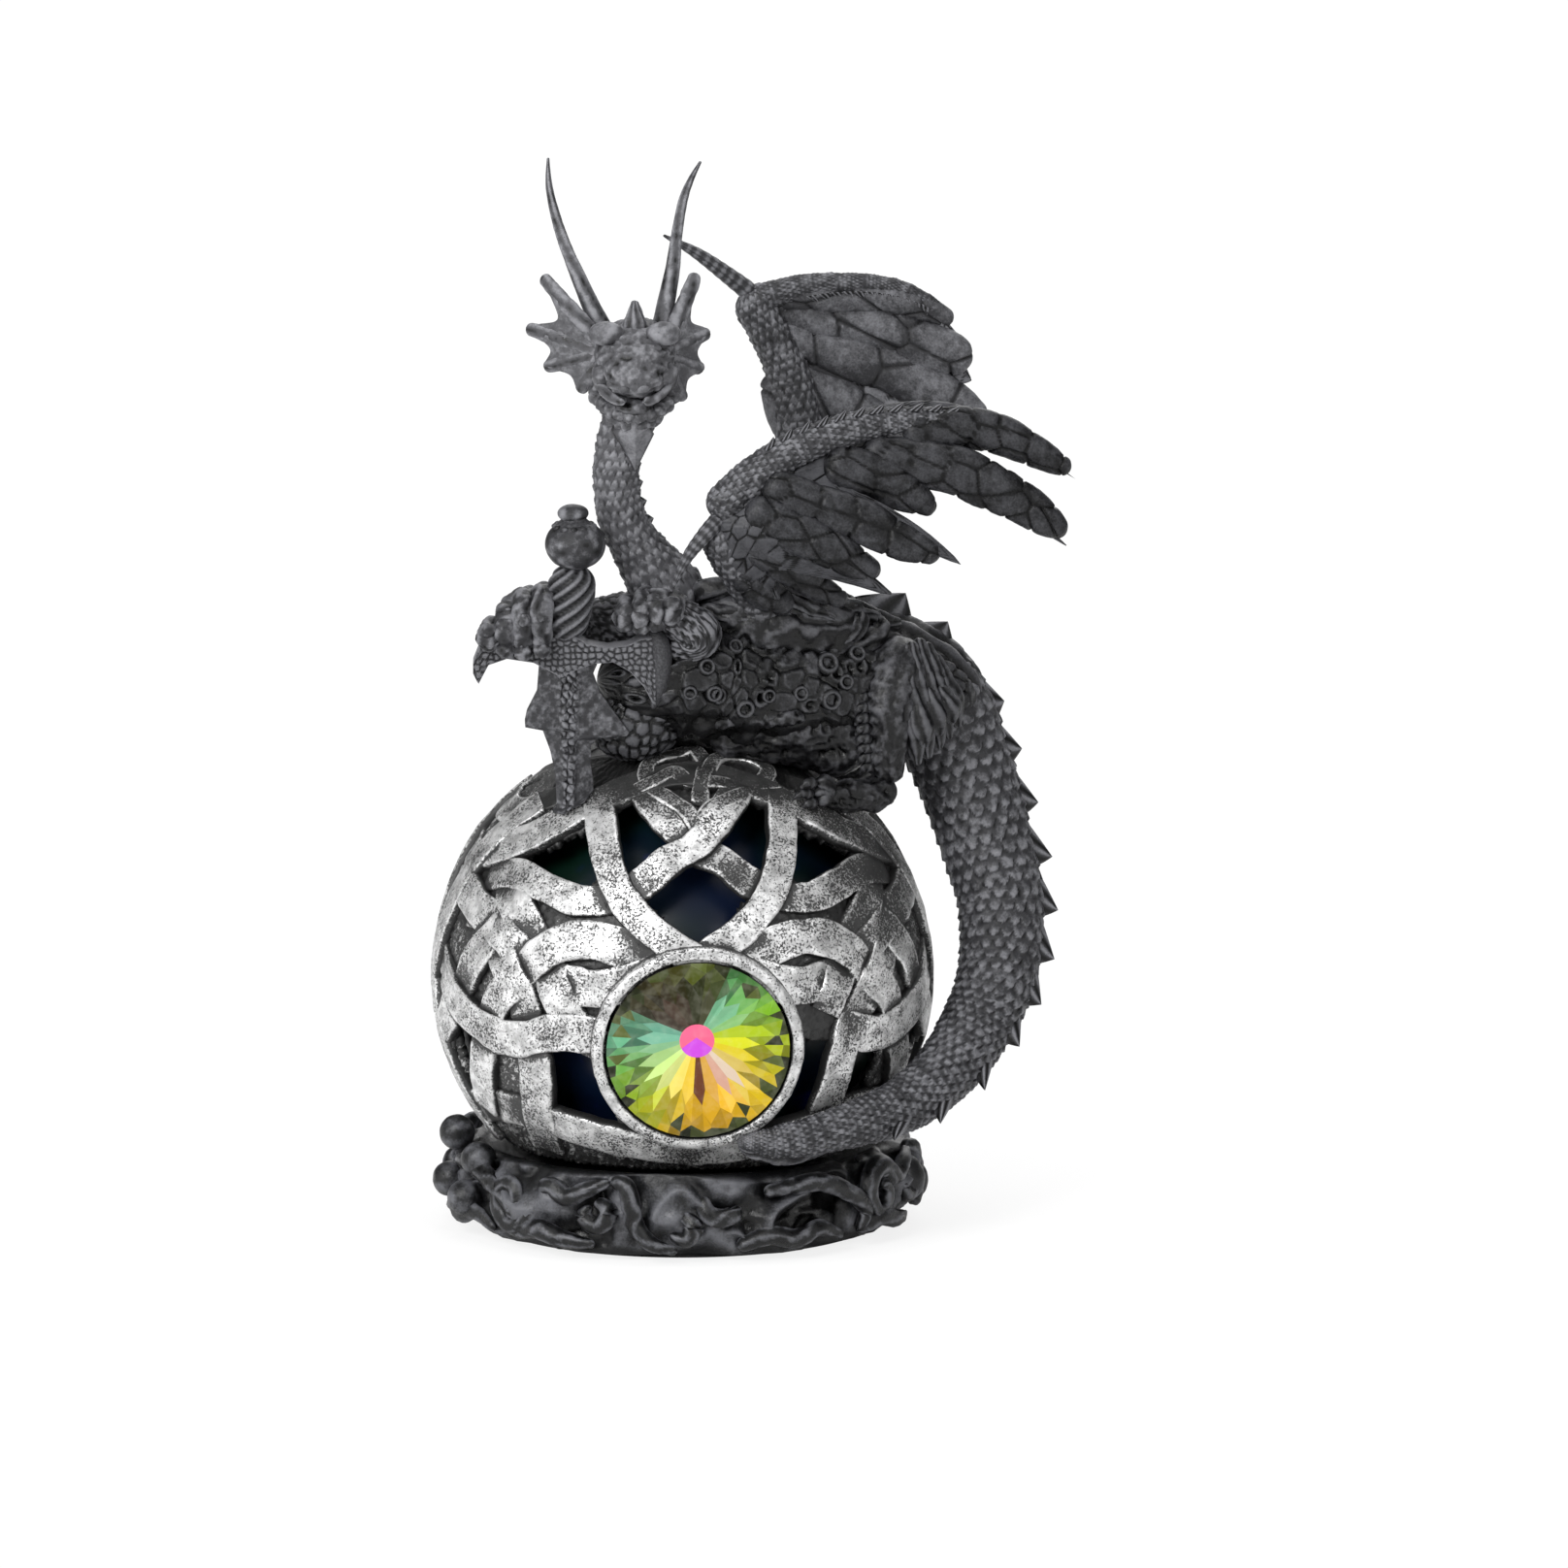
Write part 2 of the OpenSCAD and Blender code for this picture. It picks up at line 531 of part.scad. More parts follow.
module torso_form(grow = 0) {
    limb(rows_at(TRUNK, trunk_r / 14), 12, 2, [0, 1, 0.05], grow);
    for (rows = [SHOULDER, BELLY]) limb(rows_at(rows, trunk_r / 14), 7, 1, [0, 1, 0.05], grow);
    translate(at([-9, -13, 3.5])) scale([1, 0.9, 1.05]) sphere(9 + grow, $fn = 12);
    for (p = [[7.2, -17.4, 4.4], [18, -16.6, 4.5]])
        translate(at(p)) scale([2.2, 1, 0.8]) sphere(2.6 + grow, $fn = 8);
    for (rows = FOLDS) limb(rows_at(rows, 1, 0.8), 5, 1, [0, -1, 0.4], grow);
    for (i = [0, 1]) hind_leg(i, grow);
    for (rows = ARMS) limb(rows_at(rows), 6, 1, [0, 1, 0.1], grow);
    fist([[-10.6, 29, 22.6], [-7.6, 30, 22.2], [-4.7, 30.4, 22.8], [-1.9, 30, 24]], [-5.4, -19.5, 26], grow);
    fist([[-26.4, 31.4, 17.9], [-29.8, 30.4, 17.4], [-33.2, 28, 17.9], [-36.4, 24.8, 19.2]],
        [-29, -18.5, 25.6], grow);
}

module torso() {
    color([0.14, 0.14, 0.15]) difference() {
        union() {
            torso_form();
            for (p = [[38, 8, 19], [46, 8, 13.5]]) spike(at(p), at(p) + spike_len * [0.75, 0, 0.9], 2.6);
        }
        translate(orb_c) sphere(socket_r, $fn = 40);
        sword_form(contact);
    }
}

// Head in local sizes about its middle
head = at([-8.8, -20, 74.5]);

// Ear fans: root, tips of the spines, and the way that the skin's thickness points
EARS = [
    [[-5, 1, 0], [[-17.4, 6, 14.3], [-20.5, 6, 4.3], [-17.2, 4, -2.9], [-10.6, 1, -7.2]], [-0.1, -1, -0.1]],
    [[5, 1, 0], [[11.7, 6, 14.7], [14.1, 6, 3.6], [13, 4, -3.4], [9.3, 1, -8.9]], [-0.1, 1, 0.1]]
];

module fan(root, tips, out, thick) {
    fingers = [for (p = tips) [root, (2 * root + p) / 3, (root + 2 * p) / 3, p]];
    web(fingers, out, thick, thick * 0.6, 0.3, 3, 2);
}

// A web of skin stretched over fingers that leave one wrist
module web(fingers, out, thick, extra, scallop, rows, cols = 4) {
    last = (len(fingers) - 1) * cols;
    grid = [for (i = [0:rows]) [for (j = [0:last])
        web_point(fingers, 0.04 + 0.96 * i / rows, j / cols, scallop)]];
    half = [for (i = [0:rows]) [for (j = [0:last]) let(d = abs(j / cols - round(j / cols)))
        out * (thick + extra * max(0, 1 - 4 * d)) * (1 - 0.45 * i / rows) / 2]];
    sheet(
        [for (i = [0:rows]) [for (j = [0:last]) grid[i][j] + half[i][j]]],
        [for (i = [0:rows]) [for (j = [0:last]) grid[i][j] - half[i][j]]]);
}

function web_point(fingers, s, t, scallop) = let(
        i = min(floor(t), len(fingers) - 2),
        u = t - i,
        r = s * (1 - scallop * s * sin(180 * u)))
    (1 - u) * along(fingers[i], r) + u * along(fingers[i + 1], r);

module neck(grow = 0) {
    k = neck_r / 4.8;
    limb([
        concat(at([0, -8, 22]), [8.4 * k, 8.4 * k]),
        concat(at([-3.6, -11, 29]), [7 * k, 6.8 * k]),
        concat(at([-8, -13.6, 36]), [5.2 * k, 5 * k]),
        concat(at([-11.4, -16, 43]), [4.7 * k, 4.6 * k]),
        concat(at([-12.4, -17.4, 51]), [4.6 * k, 4.4 * k]),
        concat(at([-11.4, -18, 59]), [4.6 * k, 4.4 * k]),
        concat(at([-9.4, -17.4, 66]), [4.6 * k, 4.5 * k]),
        concat(at([-8.8, -16.5, 71]), [5 * k, 5 * k])
    ], 8, 2, [0, 1, 0.05], grow);
}

module head_form() {
    neck();
    limb([
        concat(head + fig * [0, 7, 0], [4.5, 4.5]),
        concat(head + fig * [0, 2, 1], [7, 5.8]),
        concat(head + fig * [0, -3, 0.8], [7.2, 5.2]),
        concat(head + fig * [0, -8, -2.4], [5, 4.4]),
        concat(head + fig * [0, -12.5, -5.4], [3.2, 2.6])
    ], 10, 2, [0, 0, 1]);
    limb([
        concat(head + fig * [0, 1, -6], [4.6, 3.4]),
        concat(head + fig * [0, -5, -8.6], [4, 2.4]),
        concat(head + fig * [0, -10, -9.6], [2.4, 1.3])
    ], 8, 2, [0, 0, 1]);
    for (side = [-1, 1]) {
        link(head + fig * [side * 5.6, -3.5, 4.6], head + fig * [side * 2.6, -7, 2.6], 2.2, 1.4);
        link(head + fig * [side * 3, -11, -3.4], head + fig * [side * 1.6, -12, -3.2], 1.2, 0.9);
        link(head + fig * [side * 5.8, -4.6, -2.4], head + fig * [side * 3.6, -8, -3.6], 2.4, 1.9);
    }
    spike(head + fig * [0, -2, 5], head + fig * [0, -1, 10.2], 1.9);
    hull() {
        for (p = [[-3.6, -4, -12.6], [3.6, -4, -12.6], [0, -4.6, -20.5], [0, -1, -9]])
            translate(head + p) sphere(1, $fn = 6);
        translate(head + fig * [0, 0, -16]) sphere(2, $fn = 6);
    }
    for (f = EARS) fan(head + fig * f[0], [for (p = f[1]) head + fig * p], f[2], 1.8);
    for (p = [[-6, -12.4, 33, 5.4], [-10.4, -15.2, 41, 4.6], [-12.2, -17, 48.4, 4.4],
        [-12, -17.8, 55.8, 4.4]])
        spike(at(xyz(p)) + neck_r / 4.8 * p[3] * [0.5, 0.3, 0],
            at(xyz(p)) + (p[3] + spike_len * 0.6) * [0.8, 0.5, 0.3], 1.8);
}

module neck_head() {
    color([0.15, 0.15, 0.16]) difference() {
        head_form();
        torso_form(contact);
        horn(-1, contact);
        horn(1, contact);
        sword_form(contact);
    }
}

module horn(side, grow = 0) {
    k = horn_r / 1.9;
    root = head + fig * (side < 0 ? [-5, 4, 3.4] : [4.6, 4, 3.4]);
    mid = head + fig * (side < 0 ? [-11.6, 10, 17.8] : [8.2, 11, 18]);
    tip = head + fig * (side < 0 ? [-16.6, 17, 35.5] : [12, 17, 34.6]);
    limb([
        concat(root, [1.9 * k, 1.9 * k]),
        concat((root + mid) / 2 + [side * 0.4, -0.6, 0], [1.75 * k, 1.75 * k]),
        concat(mid, [1.3 * k, 1.3 * k]),
        concat((mid + tip) / 2 + [side * -0.6, 0.3, 0], [0.85 * k, 0.85 * k]),
        concat(tip, [0.3, 0.3])
    ], 8, 2, [0, 1, 0.05], grow);
}

module horn_left() {
    color([0.16, 0.16, 0.17]) horn(-1);
}

module horn_right() {
    color([0.16, 0.16, 0.17]) horn(1);
}

near_wrist = at([6, -24, 43]);
far_wrist = at([12, 22, 79.5]);
NEAR_FINGERS = [
    [near_wrist, at([17.5, -21, 57]), at([36, -14, 63.6]), at([54.6, -9, 62.4]), at([74.4, -10, 49])],
    [near_wrist, at([19, -23, 51.4]), at([38, -18, 54.4]), at([56, -14, 49]), at([72.6, -14, 37])],
    [near_wrist, at([16, -26, 47]), at([29, -25, 46]), at([42, -25, 41.6]), at([52.6, -25, 35.4])],
    [near_wrist, at([12, -27, 42.6]), at([20, -27, 39.6]), at([30, -26, 35]), at([39.6, -24, 29.6])],
    [near_wrist, at([8.6, -24, 36]), at([11, -20, 30]), at([16, -16, 25]), at([24, -12, 20])]
];
FAR_FINGERS = [
    [far_wrist, at([26, 24, 80]), at([40, 26.5, 78]), at([48, 27.5, 74.5]), at([52.4, 28, 70])],
    [far_wrist, at([26, 25, 76]), at([41, 28, 71]), at([50, 29, 66]), at([55, 29, 61])],
    [far_wrist, at([21, 23, 70]), at([31, 25, 62]), at([41, 26, 54]), at([50, 26, 46])],
    [far_wrist, at([18, 23, 68]), at([21, 22, 58]), at([23, 20, 48]), at([31, 18, 38])]
];

// Puffy lobes over the wing skin: places from the top of the orb and a half width
NEAR_LOBES = [
    [[41.6, -17, 59, 3.4], [51, -15, 59.9, 3.7], [59.6, -13, 58.2, 3.5], [66.4, -11.5, 54.7, 2.9],
        [73.4, -10, 50.8, 0.9]],
    [[33.7, -19, 55.1, 3.9], [49.6, -18, 52.7, 4.3], [57.5, -17, 49.3, 4.4], [63.8, -16, 45.9, 3.8],
        [72.4, -14, 39.2, 1.3]],
    [[26.9, -22, 54.6, 3.7], [35.3, -21, 51.7, 3.9], [41.6, -20, 48.8, 3.7], [48, -19, 45.2, 0.8]],
    [[15, -24.6, 51.3, 3.4], [24.8, -25, 47.1, 3.6], [33.7, -25, 43.9, 3.8], [40.6, -25, 40.1, 3.4],
        [48.6, -25, 36.8, 0.8]],
    [[11, -25.6, 47.6, 3.6], [20.5, -26.5, 42.5, 3.6], [27.9, -26, 38.7, 3.6], [37.4, -24, 33.6, 0.9]],
    [[8.9, -24, 43.7, 3.4], [15.3, -24, 38.8, 3.6], [21.6, -22, 33.6, 3.4], [31, -17, 26.8, 0.8]]
];
FAR_LOBES = [
    [[14.2, 22, 78.3, 2.2], [25.8, 24, 77.9, 2.6], [36.4, 26, 77.7, 2.9], [44.8, 27, 75.7, 2.6],
        [51.4, 28, 72.6, 1.3]],
    [[16.9, 23, 75.6, 2.6], [27.9, 25, 73.1, 3], [37.4, 26, 71.6, 3.6], [45.9, 27, 68.2, 4.3],
        [55, 28, 64.7, 1.8]],
    [[16.9, 23, 71.6, 3], [25.3, 24, 67.1, 4], [35.3, 25.5, 64.9, 4.5], [43.8, 26.5, 61.5, 4.2],
        [57, 27, 54.4, 1.6]],
    [[16.9, 22.5, 68, 3], [22.1, 23, 61.9, 4.1], [29, 24, 57.4, 4.7], [36.4, 25, 53, 4.2],
        [43.8, 25, 47.6, 2.5]],
    [[17, 21.5, 64, 2.7], [20.5, 21.5, 55, 3.8], [25, 21, 48.5, 4.2], [35, 19, 38, 1.6]]
];

module lobes(all, thick) {
    for (rows = all) limb([for (r = rows) concat(at(xyz(r)), [r[3] * 1.05, min(thick, 0.6 * r[3] + 0.3)])],
        5, 1, [0, -1, 0.15]);
}

module wing(fingers, shoulder, elbow, wrist, bend, out) {
    web(fingers, out, wing_t, finger_t, 0.26, 5, 3);
    limb([concat(shoulder, [6, 6]), concat(elbow, [4.9, 4.9]), concat(bend, [4, 4]),
        concat(wrist, [3.4, 3.4])], 8, 2, [1, 0.2, 0.1]);
    lead = [for (s = [0:0.2:0.81]) along(fingers[0], s)];
    for (i = [0:3]) link(lead[i], lead[i + 1], 3.1 - 0.5 * i, 2.6 - 0.5 * i);
    for (i = [1:4]) spike(lead[i] + [0, 0, 2.2 - 0.4 * i], lead[i] + [1.6, 0, 4.6 - 0.5 * i], 1.6);
}

module wing_near() {
    color([0.15, 0.15, 0.16]) difference() {
        union() {
            wing(NEAR_FINGERS, at([15, -10, 22]), at([14, -15, 29]), near_wrist, at([9, -21, 37]),
                [-0.2, 1, 0.25]);
            lobes(NEAR_LOBES, 2.4);
        }
        torso_form(contact);
        claw_near(contact);
    }
}

module wing_far() {
    color([0.15, 0.15, 0.16]) difference() {
        union() {
            wing(FAR_FINGERS, at([15, 8, 18]), at([22, 18, 40]), far_wrist, at([20.5, 21.5, 62]),
                [-0.1, 1, 0.1]);
            lobes(FAR_LOBES, 2.8);
        }
        torso_form(contact);
        claw_far(contact);
    }
}

module claw_near(grow = 0) {
    limb([
        concat(near_wrist + fig * [1.6, 0.6, 1.4], [1.5, 1.5]),
        concat(near_wrist + fig * [-1.6, -1.6, -1.6], [1.5, 1.5]),
        concat(near_wrist + fig * [-5, -2.6, -6], [1, 1]),
        concat(near_wrist + fig * [-8, -2.4, -12.4], [0.3, 0.3])
    ], 8, 2, [0, 1, 0.05], grow);
}

module claw_far(grow = 0) {
    limb([
        concat(far_wrist + fig * [1.6, 0.4, -1], [1.8, 1.8]),
        concat(far_wrist + fig * [-2.2, -0.6, 2.2], [1.6, 1.6]),
        concat(far_wrist + fig * [-9, -3, 7.6], [1.1, 1.1]),
        concat(far_wrist + fig * [-15.6, -5, 11.6], [0.3, 0.3])
    ], 8, 2, [0, 1, 0.05], grow);
}

module wing_claw_near() {
    color([0.17, 0.17, 0.18]) claw_near();
}

module wing_claw_far() {
    color([0.17, 0.17, 0.18]) claw_far();
}

// Compass angle of the ring's right edge, and height angle of the line that the tail keeps above the base
ring_edge = gem_turn + asin(bezel_r / orb_r);
shore = asin((deck_z + 4.2 - orb_z) / (orb_r + 2.8));

// Stations of the tail: compass angle, height angle, gap from the orb and half width in parts of the root
TAIL = [
    [99, 54, 16.5, 0.78], [99.5, 46, 12.5, 1.04], [99, 36.5, 9, 1], [96, 24, 6.4, 0.92], [92, 11, 5.8, 0.84],
    [87, -0.5, 4.4, 0.77], [79, -11, 2, 0.68], [ring_edge + 31.4, shore + 9.3, 0.7, 0.55],
    [ring_edge + 12.4, shore + 5.3, 0.6, 0.42], [ring_edge - 5.6, shore + 2.3, 0.6, 0.3],
    [ring_edge - 15.6, shore + 1.3, 0.8, 0.1]
];

function tail_at(s) = let(p = along(TAIL, s))
    concat(on_orb(p[0], p[1], orb_r + fig * p[2] + p[3] * tail_r), [p[3] * tail_r, p[3] * tail_r]);

module tail() {
    color([0.14, 0.14, 0.15]) difference() {
        union() {
            limb([for (s = [0:0.05:1.001]) tail_at(min(s, 1))], 10, 1, [0, 1, 0.05]);
            for (s = [0.16:0.07:0.72]) {
                a = xyz(tail_at(s));
                b = xyz(tail_at(s + 0.04));
                out = unit(a - orb_c);
                r = tail_at(s)[3];
                spike(a + out * r * 0.8, b + out * (r + spike_len * 0.8), r * 0.34);
            }
            hull() {
                translate(on_orb(ring_edge + 4.4, shore + 6.3, orb_r + 2.4)) sphere(1.2, $fn = 6);
                translate(on_orb(ring_edge - 2.6, shore - 3.7, orb_r + 2.4)) sphere(1.2, $fn = 6);
                translate(on_orb(ring_edge - 14.6, shore + 0.3, orb_r + 2)) sphere(0.8, $fn = 6);
                translate(on_orb(ring_edge + 10.4, shore + 2.3, orb_r + 3)) sphere(2, $fn = 6);
            }
        }
        torso_form(contact);
        translate(orb_c) sphere(socket_r, $fn = 40);
        gem_axis() cylinder(r = bezel_r + contact, h = 2 * orb_r, $fn = 32);
        base_form();
    }
}

// Sword

sword_foot = on_orb(-45, 51, orb_r - 1);

module sword_place() {
    translate(sword_foot) rotate([3, 0, 0]) children();
}

BLADE = [
    [-2.6, -3], [-3, 6.3], [-3.9, 10.7], [-5.3, 14.6], [-8.6, 15.2], [-8.3, 18.4], [-6.4, 22.2], [-6, 28],
    [5, 28], [4.2, 25.6], [5.4, 22.2], [8, 18.4], [11, 14.2], [10.5, 13.5], [4.8, 13], [3.7, 8], [4.2, 4.7],
    [4.2, -3]
];
GUARD = [
    [-18.4, 27.4], [-17.2, 32], [-12, 34.6], [-6, 35], [1, 33.5], [3.2, 31.9], [6.9, 31.1], [10.7, 31.7],
    [15.2, 34.4], [17.6, 32], [18.6, 28], [17.8, 23], [15.4, 18.8], [15, 20], [13.9, 22.9], [11.2, 26.1],
    [8, 28.1], [4.2, 27.7], [0.5, 26.1], [-1.7, 24.8], [-7, 27.8], [-12, 28.6], [-15.5, 27.4], [-17.4, 23.6]
];

module plate(outline, k, thick, grow) {
    rotate([90, 0, 0]) linear_extrude(thick + 2 * grow, center = true) offset(delta = grow)
        polygon([for (p = outline) [p[0], p[1] * k]]);
}

module sword_form(grow = 0) {
    k = sword_len / 58.5;
    sword_place() {
        plate(BLADE, k, blade_t, grow);
        plate(GUARD, k, blade_t * 1.5, grow);
        multmatrix([[1, 0, 0.18, -7.6 * k], [0, 1, 0, 0], [0, 0, 1, 0]])
            translate([0, 0, 32 * k]) linear_extrude(15 * k, twist = -220, slices = 7)
                for (a = [0:120:240]) rotate(a) translate([grip_d * 0.24, 0])
                    circle(d = grip_d * 0.56 + 2 * grow, $fn = 6);
        translate([0.9, 0, 50.6 * k]) scale([1, 1, 0.88]) sphere(d = pommel_d + 2 * grow, $fn = 12);
        translate([0.6, 0, 56.8 * k]) scale([1, 1, 0.6]) sphere(d = pommel_d * 0.52 + 2 * grow, $fn = 10);
        link([0.6, 0, 54.4 * k], [0.6, 0, 56 * k], 2.2 + grow, 1.8 + grow);
    }
}

module sword() {
    color([0.18, 0.18, 0.19]) difference() {
        sword_form();
        translate(orb_c) sphere(socket_r, $fn = 48);
    }
}

// Light unit

floor_low = felt_t + 0.4;
floor_top = floor_low + floor_t;
cell_low = floor_top + 1;
cell_top = cell_low + 2 * cell_h;
board_low = cell_top + 0.6;
board_t = 1.2;
board_top = board_low + board_t;
roof_low = board_top + 0.8;
puck_top = roof_low + puck_wall;
puck_r = puck_d / 2;
bore_r = puck_r + run_fit;
lamp_hole_r = lamp_d / 2 + 4;
screw_ring = bore_r + screw_d / 2 + 1.9;
flange_r = screw_ring + screw_d * 0.9 + 0.7;
SCREW_ANGLES = [90, 210, 330];
shell_in = sqrt(pow(0.97 * (ground_r - orb_wall), 2) - pow(orb_z - ledge_z, 2));
deck_r = min(sqrt(pow(globe_r, 2) - pow(orb_z - deck_z, 2)) + 1.5, shell_in - run_fit);
board_r = puck_r - puck_wall - 1;
stake_ring = board_r - 3;
door_r = cell_d / 2 + 0.75;
lug_r = door_r + 1.6;
switch_y = -(lug_r + 4.6);
knob = 1.6;

module light_housing() {
    color([0.9, 0.9, 0.9]) {
        difference() {
            translate([0, 0, floor_top]) cylinder(r = puck_r, h = puck_top - floor_top, $fn = 96);
            translate([0, 0, floor_top - 1])
                cylinder(r = puck_r - puck_wall, h = roof_low - floor_top + 1, $fn = 96);
            cylinder(d = lamp_d + 0.8, h = 60, $fn = 48);
        }
        for (a = [20, 160]) rotate([0, 0, a]) translate([stake_ring, 0, 0]) {
            translate([0, 0, board_top]) cylinder(d = 4, h = roof_low - board_top + e, $fn = 32);
            translate([0, 0, board_low - 0.4]) cylinder(d = 1.8, h = board_t + 0.5, $fn = 32);
        }
    }
}

module light_floor() {
    color([0.85, 0.85, 0.85]) {
        difference() {
            translate([0, 0, floor_low]) cylinder(r = flange_r, h = floor_t, $fn = 96);
            translate([0, 0, floor_low - 1]) cylinder(r = door_r, h = floor_t + 2, $fn = 96);
            translate([0, 0, floor_low - 1]) cylinder(r = lug_r + 1.6, h = 1 + floor_t / 2, $fn = 96);
            for (a = [0, 180]) rotate([0, 0, a + door_turn - 14]) translate([0, 0, floor_low - 1])
                rotate_extrude(angle = 28, $fn = 96) square([lug_r + 0.3, floor_t + 2]);
            translate([-knob / 2 - switch_travel / 2 - run_fit, switch_y - 0.9 - run_fit, 0])
                cube([knob + switch_travel + 2 * run_fit, 1.8 + 2 * run_fit, 20]);
            for (a = SCREW_ANGLES) rotate([0, 0, a]) translate([screw_ring, 0, 0])
                cylinder(d = screw_d + 0.3, h = 20, $fn = 32);
        }
        for (a = [70, 250]) rotate([0, 0, a]) translate([0, 0, floor_top - e])
            rotate_extrude(angle = 85, $fn = 96) translate([door_r + 0.1, 0]) square([1.3, cell_h * 1.6]);
    }
}

module battery_door() {
    color([0.8, 0.8, 0.8]) difference() {
        union() {
            translate([0, 0, floor_low]) cylinder(r = lug_r + 1.2, h = floor_t / 2 - 0.1, $fn = 96);
            translate([0, 0, floor_low]) cylinder(r = door_r - run_fit / 2, h = floor_t, $fn = 96);
            for (a = [0, 180]) rotate([0, 0, a - 11]) translate([0, 0, floor_low + 0.2])
                rotate_extrude(angle = 22, $fn = 96) translate([door_r - 2, 0])
                    polygon([[0, 0], [1.2, 0], [1.2, floor_t - 0.05], [lug_r - door_r + 2, floor_t - 0.05],
                        [lug_r - door_r + 2, floor_t + 0.6], [0, floor_t + 0.6]]);
        }
        translate([-7, -0.9, floor_low - 1]) cube([14, 1.8, 1.6]);
    }
}

module coin_cells() {
    color([0.75, 0.75, 0.72]) for (i = [0:1]) translate([0, 0, cell_low + i * cell_h]) {
        cylinder(d = cell_d, h = cell_h * 0.8, $fn = 96);
        translate([0, 0, cell_h * 0.8]) cylinder(d = cell_d - 2.2, h = cell_h * 0.2, $fn = 96);
    }
}

// A bowed leaf spring between the door and the lower cell
module door_spring() {
    rise = cell_low - floor_top;
    color([0.8, 0.7, 0.4]) translate([0, 0, floor_top]) rotate([90, 0, 0])
        linear_extrude(4, center = true)
            polygon([[-6, 0], [-4, 0], [-1.5, rise - 0.3], [1.5, rise - 0.3], [4, 0], [6, 0], [6, 0.3],
                [4.15, 0.3], [1.65, rise], [-1.65, rise], [-4.15, 0.3], [-6, 0.3]]);
}

module led_board() {
    color([0.1, 0.35, 0.2]) {
        difference() {
            translate([0, 0, board_low]) cylinder(r = board_r, h = board_t, $fn = 96);
            for (a = [20, 160]) rotate([0, 0, a]) translate([stake_ring, 0, board_low - 1])
                cylinder(d = 2.1, h = board_t + 2, $fn = 32);
            for (x = [-2.5, 0, 2.5]) translate([x, switch_y, board_low - 1])
                cylinder(d = 0.9, h = board_t + 2, $fn = 24);
        }
        translate([0, 0, cell_top]) cylinder(d = 6, h = board_low - cell_top + e, $fn = 48);
    }
}

module led_lamp() {
    color([0.95, 0.95, 1]) translate([0, 0, board_top]) rotate_extrude($fn = 64)
        polygon([for (a = [0:10:90]) [lamp_d / 2 * cos(a), 6.1 + lamp_d / 2 * sin(a)], [0, 0],
            [lamp_d / 2 + 0.3, 0], [lamp_d / 2 + 0.3, 0.7], [lamp_d / 2, 0.7]]);
}

module switch_body() {
    color([0.2, 0.2, 0.22]) {
        difference() {
            translate([-4.3, switch_y - 1.85, floor_top]) cube([8.6, 3.7, 3.5]);
            translate([-knob / 2 - switch_travel / 2 - run_fit, switch_y - 0.9 - run_fit, floor_top - 1])
                cube([knob + switch_travel + 2 * run_fit, 1.8 + 2 * run_fit, 3]);
        }
        for (x = [-2.5, 0, 2.5]) translate([x, switch_y, floor_top + 3.4])
            cylinder(d = 0.6, h = board_top - floor_top - 3.4, $fn = 24);
    }
}

module switch_slider() {
    color([0.1, 0.1, 0.1]) translate([-knob / 2 - switch_travel / 2, switch_y - 0.9, felt_t - 0.3])
        cube([knob, 1.8, floor_top - felt_t + 2]);
}

module floor_screws() {
    color([0.7, 0.7, 0.7]) for (a = SCREW_ANGLES)
        rotate([0, 0, a]) translate([screw_ring, 0, 0]) difference() {
        union() {
            translate([0, 0, floor_low - 1]) cylinder(d = screw_d * 1.8, h = 1, $fn = 32);
            translate([0, 0, floor_low - e]) cylinder(d = screw_d, h = floor_t + 6, $fn = 32);
        }
        for (b = [0, 90]) rotate([0, 0, b]) translate([-1.2, -0.25, floor_low - 1.5]) cube([2.4, 0.5, 1]);
    }
}

base();
base_felt();
orb_shell_front();
orb_shell_back();
inner_globe();
gem();
torso();
neck_head();
tail();
wing_near();
wing_far();
wing_claw_near();
wing_claw_far();
horn_left();
horn_right();
sword();
light_housing();
light_floor();
battery_door();
coin_cells();
door_spring();
led_board();
led_lamp();
switch_body();
switch_slider();
floor_screws();
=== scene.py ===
from itertools import product

import bpy
import numpy as np
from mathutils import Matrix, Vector


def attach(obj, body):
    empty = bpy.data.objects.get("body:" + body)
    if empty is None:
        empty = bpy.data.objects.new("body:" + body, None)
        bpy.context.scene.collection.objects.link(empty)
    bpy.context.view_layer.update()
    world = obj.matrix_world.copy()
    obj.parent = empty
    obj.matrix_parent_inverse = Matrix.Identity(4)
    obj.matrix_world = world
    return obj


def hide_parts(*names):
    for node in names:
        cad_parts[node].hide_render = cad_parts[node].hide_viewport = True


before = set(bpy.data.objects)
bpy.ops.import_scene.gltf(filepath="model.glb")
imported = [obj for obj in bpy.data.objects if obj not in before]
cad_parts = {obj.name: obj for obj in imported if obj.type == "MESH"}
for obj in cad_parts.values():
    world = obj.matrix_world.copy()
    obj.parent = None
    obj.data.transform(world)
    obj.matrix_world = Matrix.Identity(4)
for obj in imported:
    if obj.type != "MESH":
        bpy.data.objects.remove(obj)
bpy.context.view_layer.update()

# Sizes in millimetres and angles in degrees; the main ones are those of the part's source
MM = 0.001
TAU = 2.0 * np.pi
ORB_R = 48.0
GROUND_R = 46.1
ORB_MID = np.array([0.0, 0.0, 47.352])
ORB_TOP = ORB_MID + [0.0, 0.0, ORB_R]
GEM_TURN = 4.0
GEM_DROP = 7.5
GEM_R = 17.5
SEAT_D = 44.3
RING_IN = 17.75
RING_MID = 19.0
RING_D = 43.6
ORB_FOOT = 15.2
SKIN_GAP = 0.05
BASE_R = 43.0
TAIL_R = 9.4
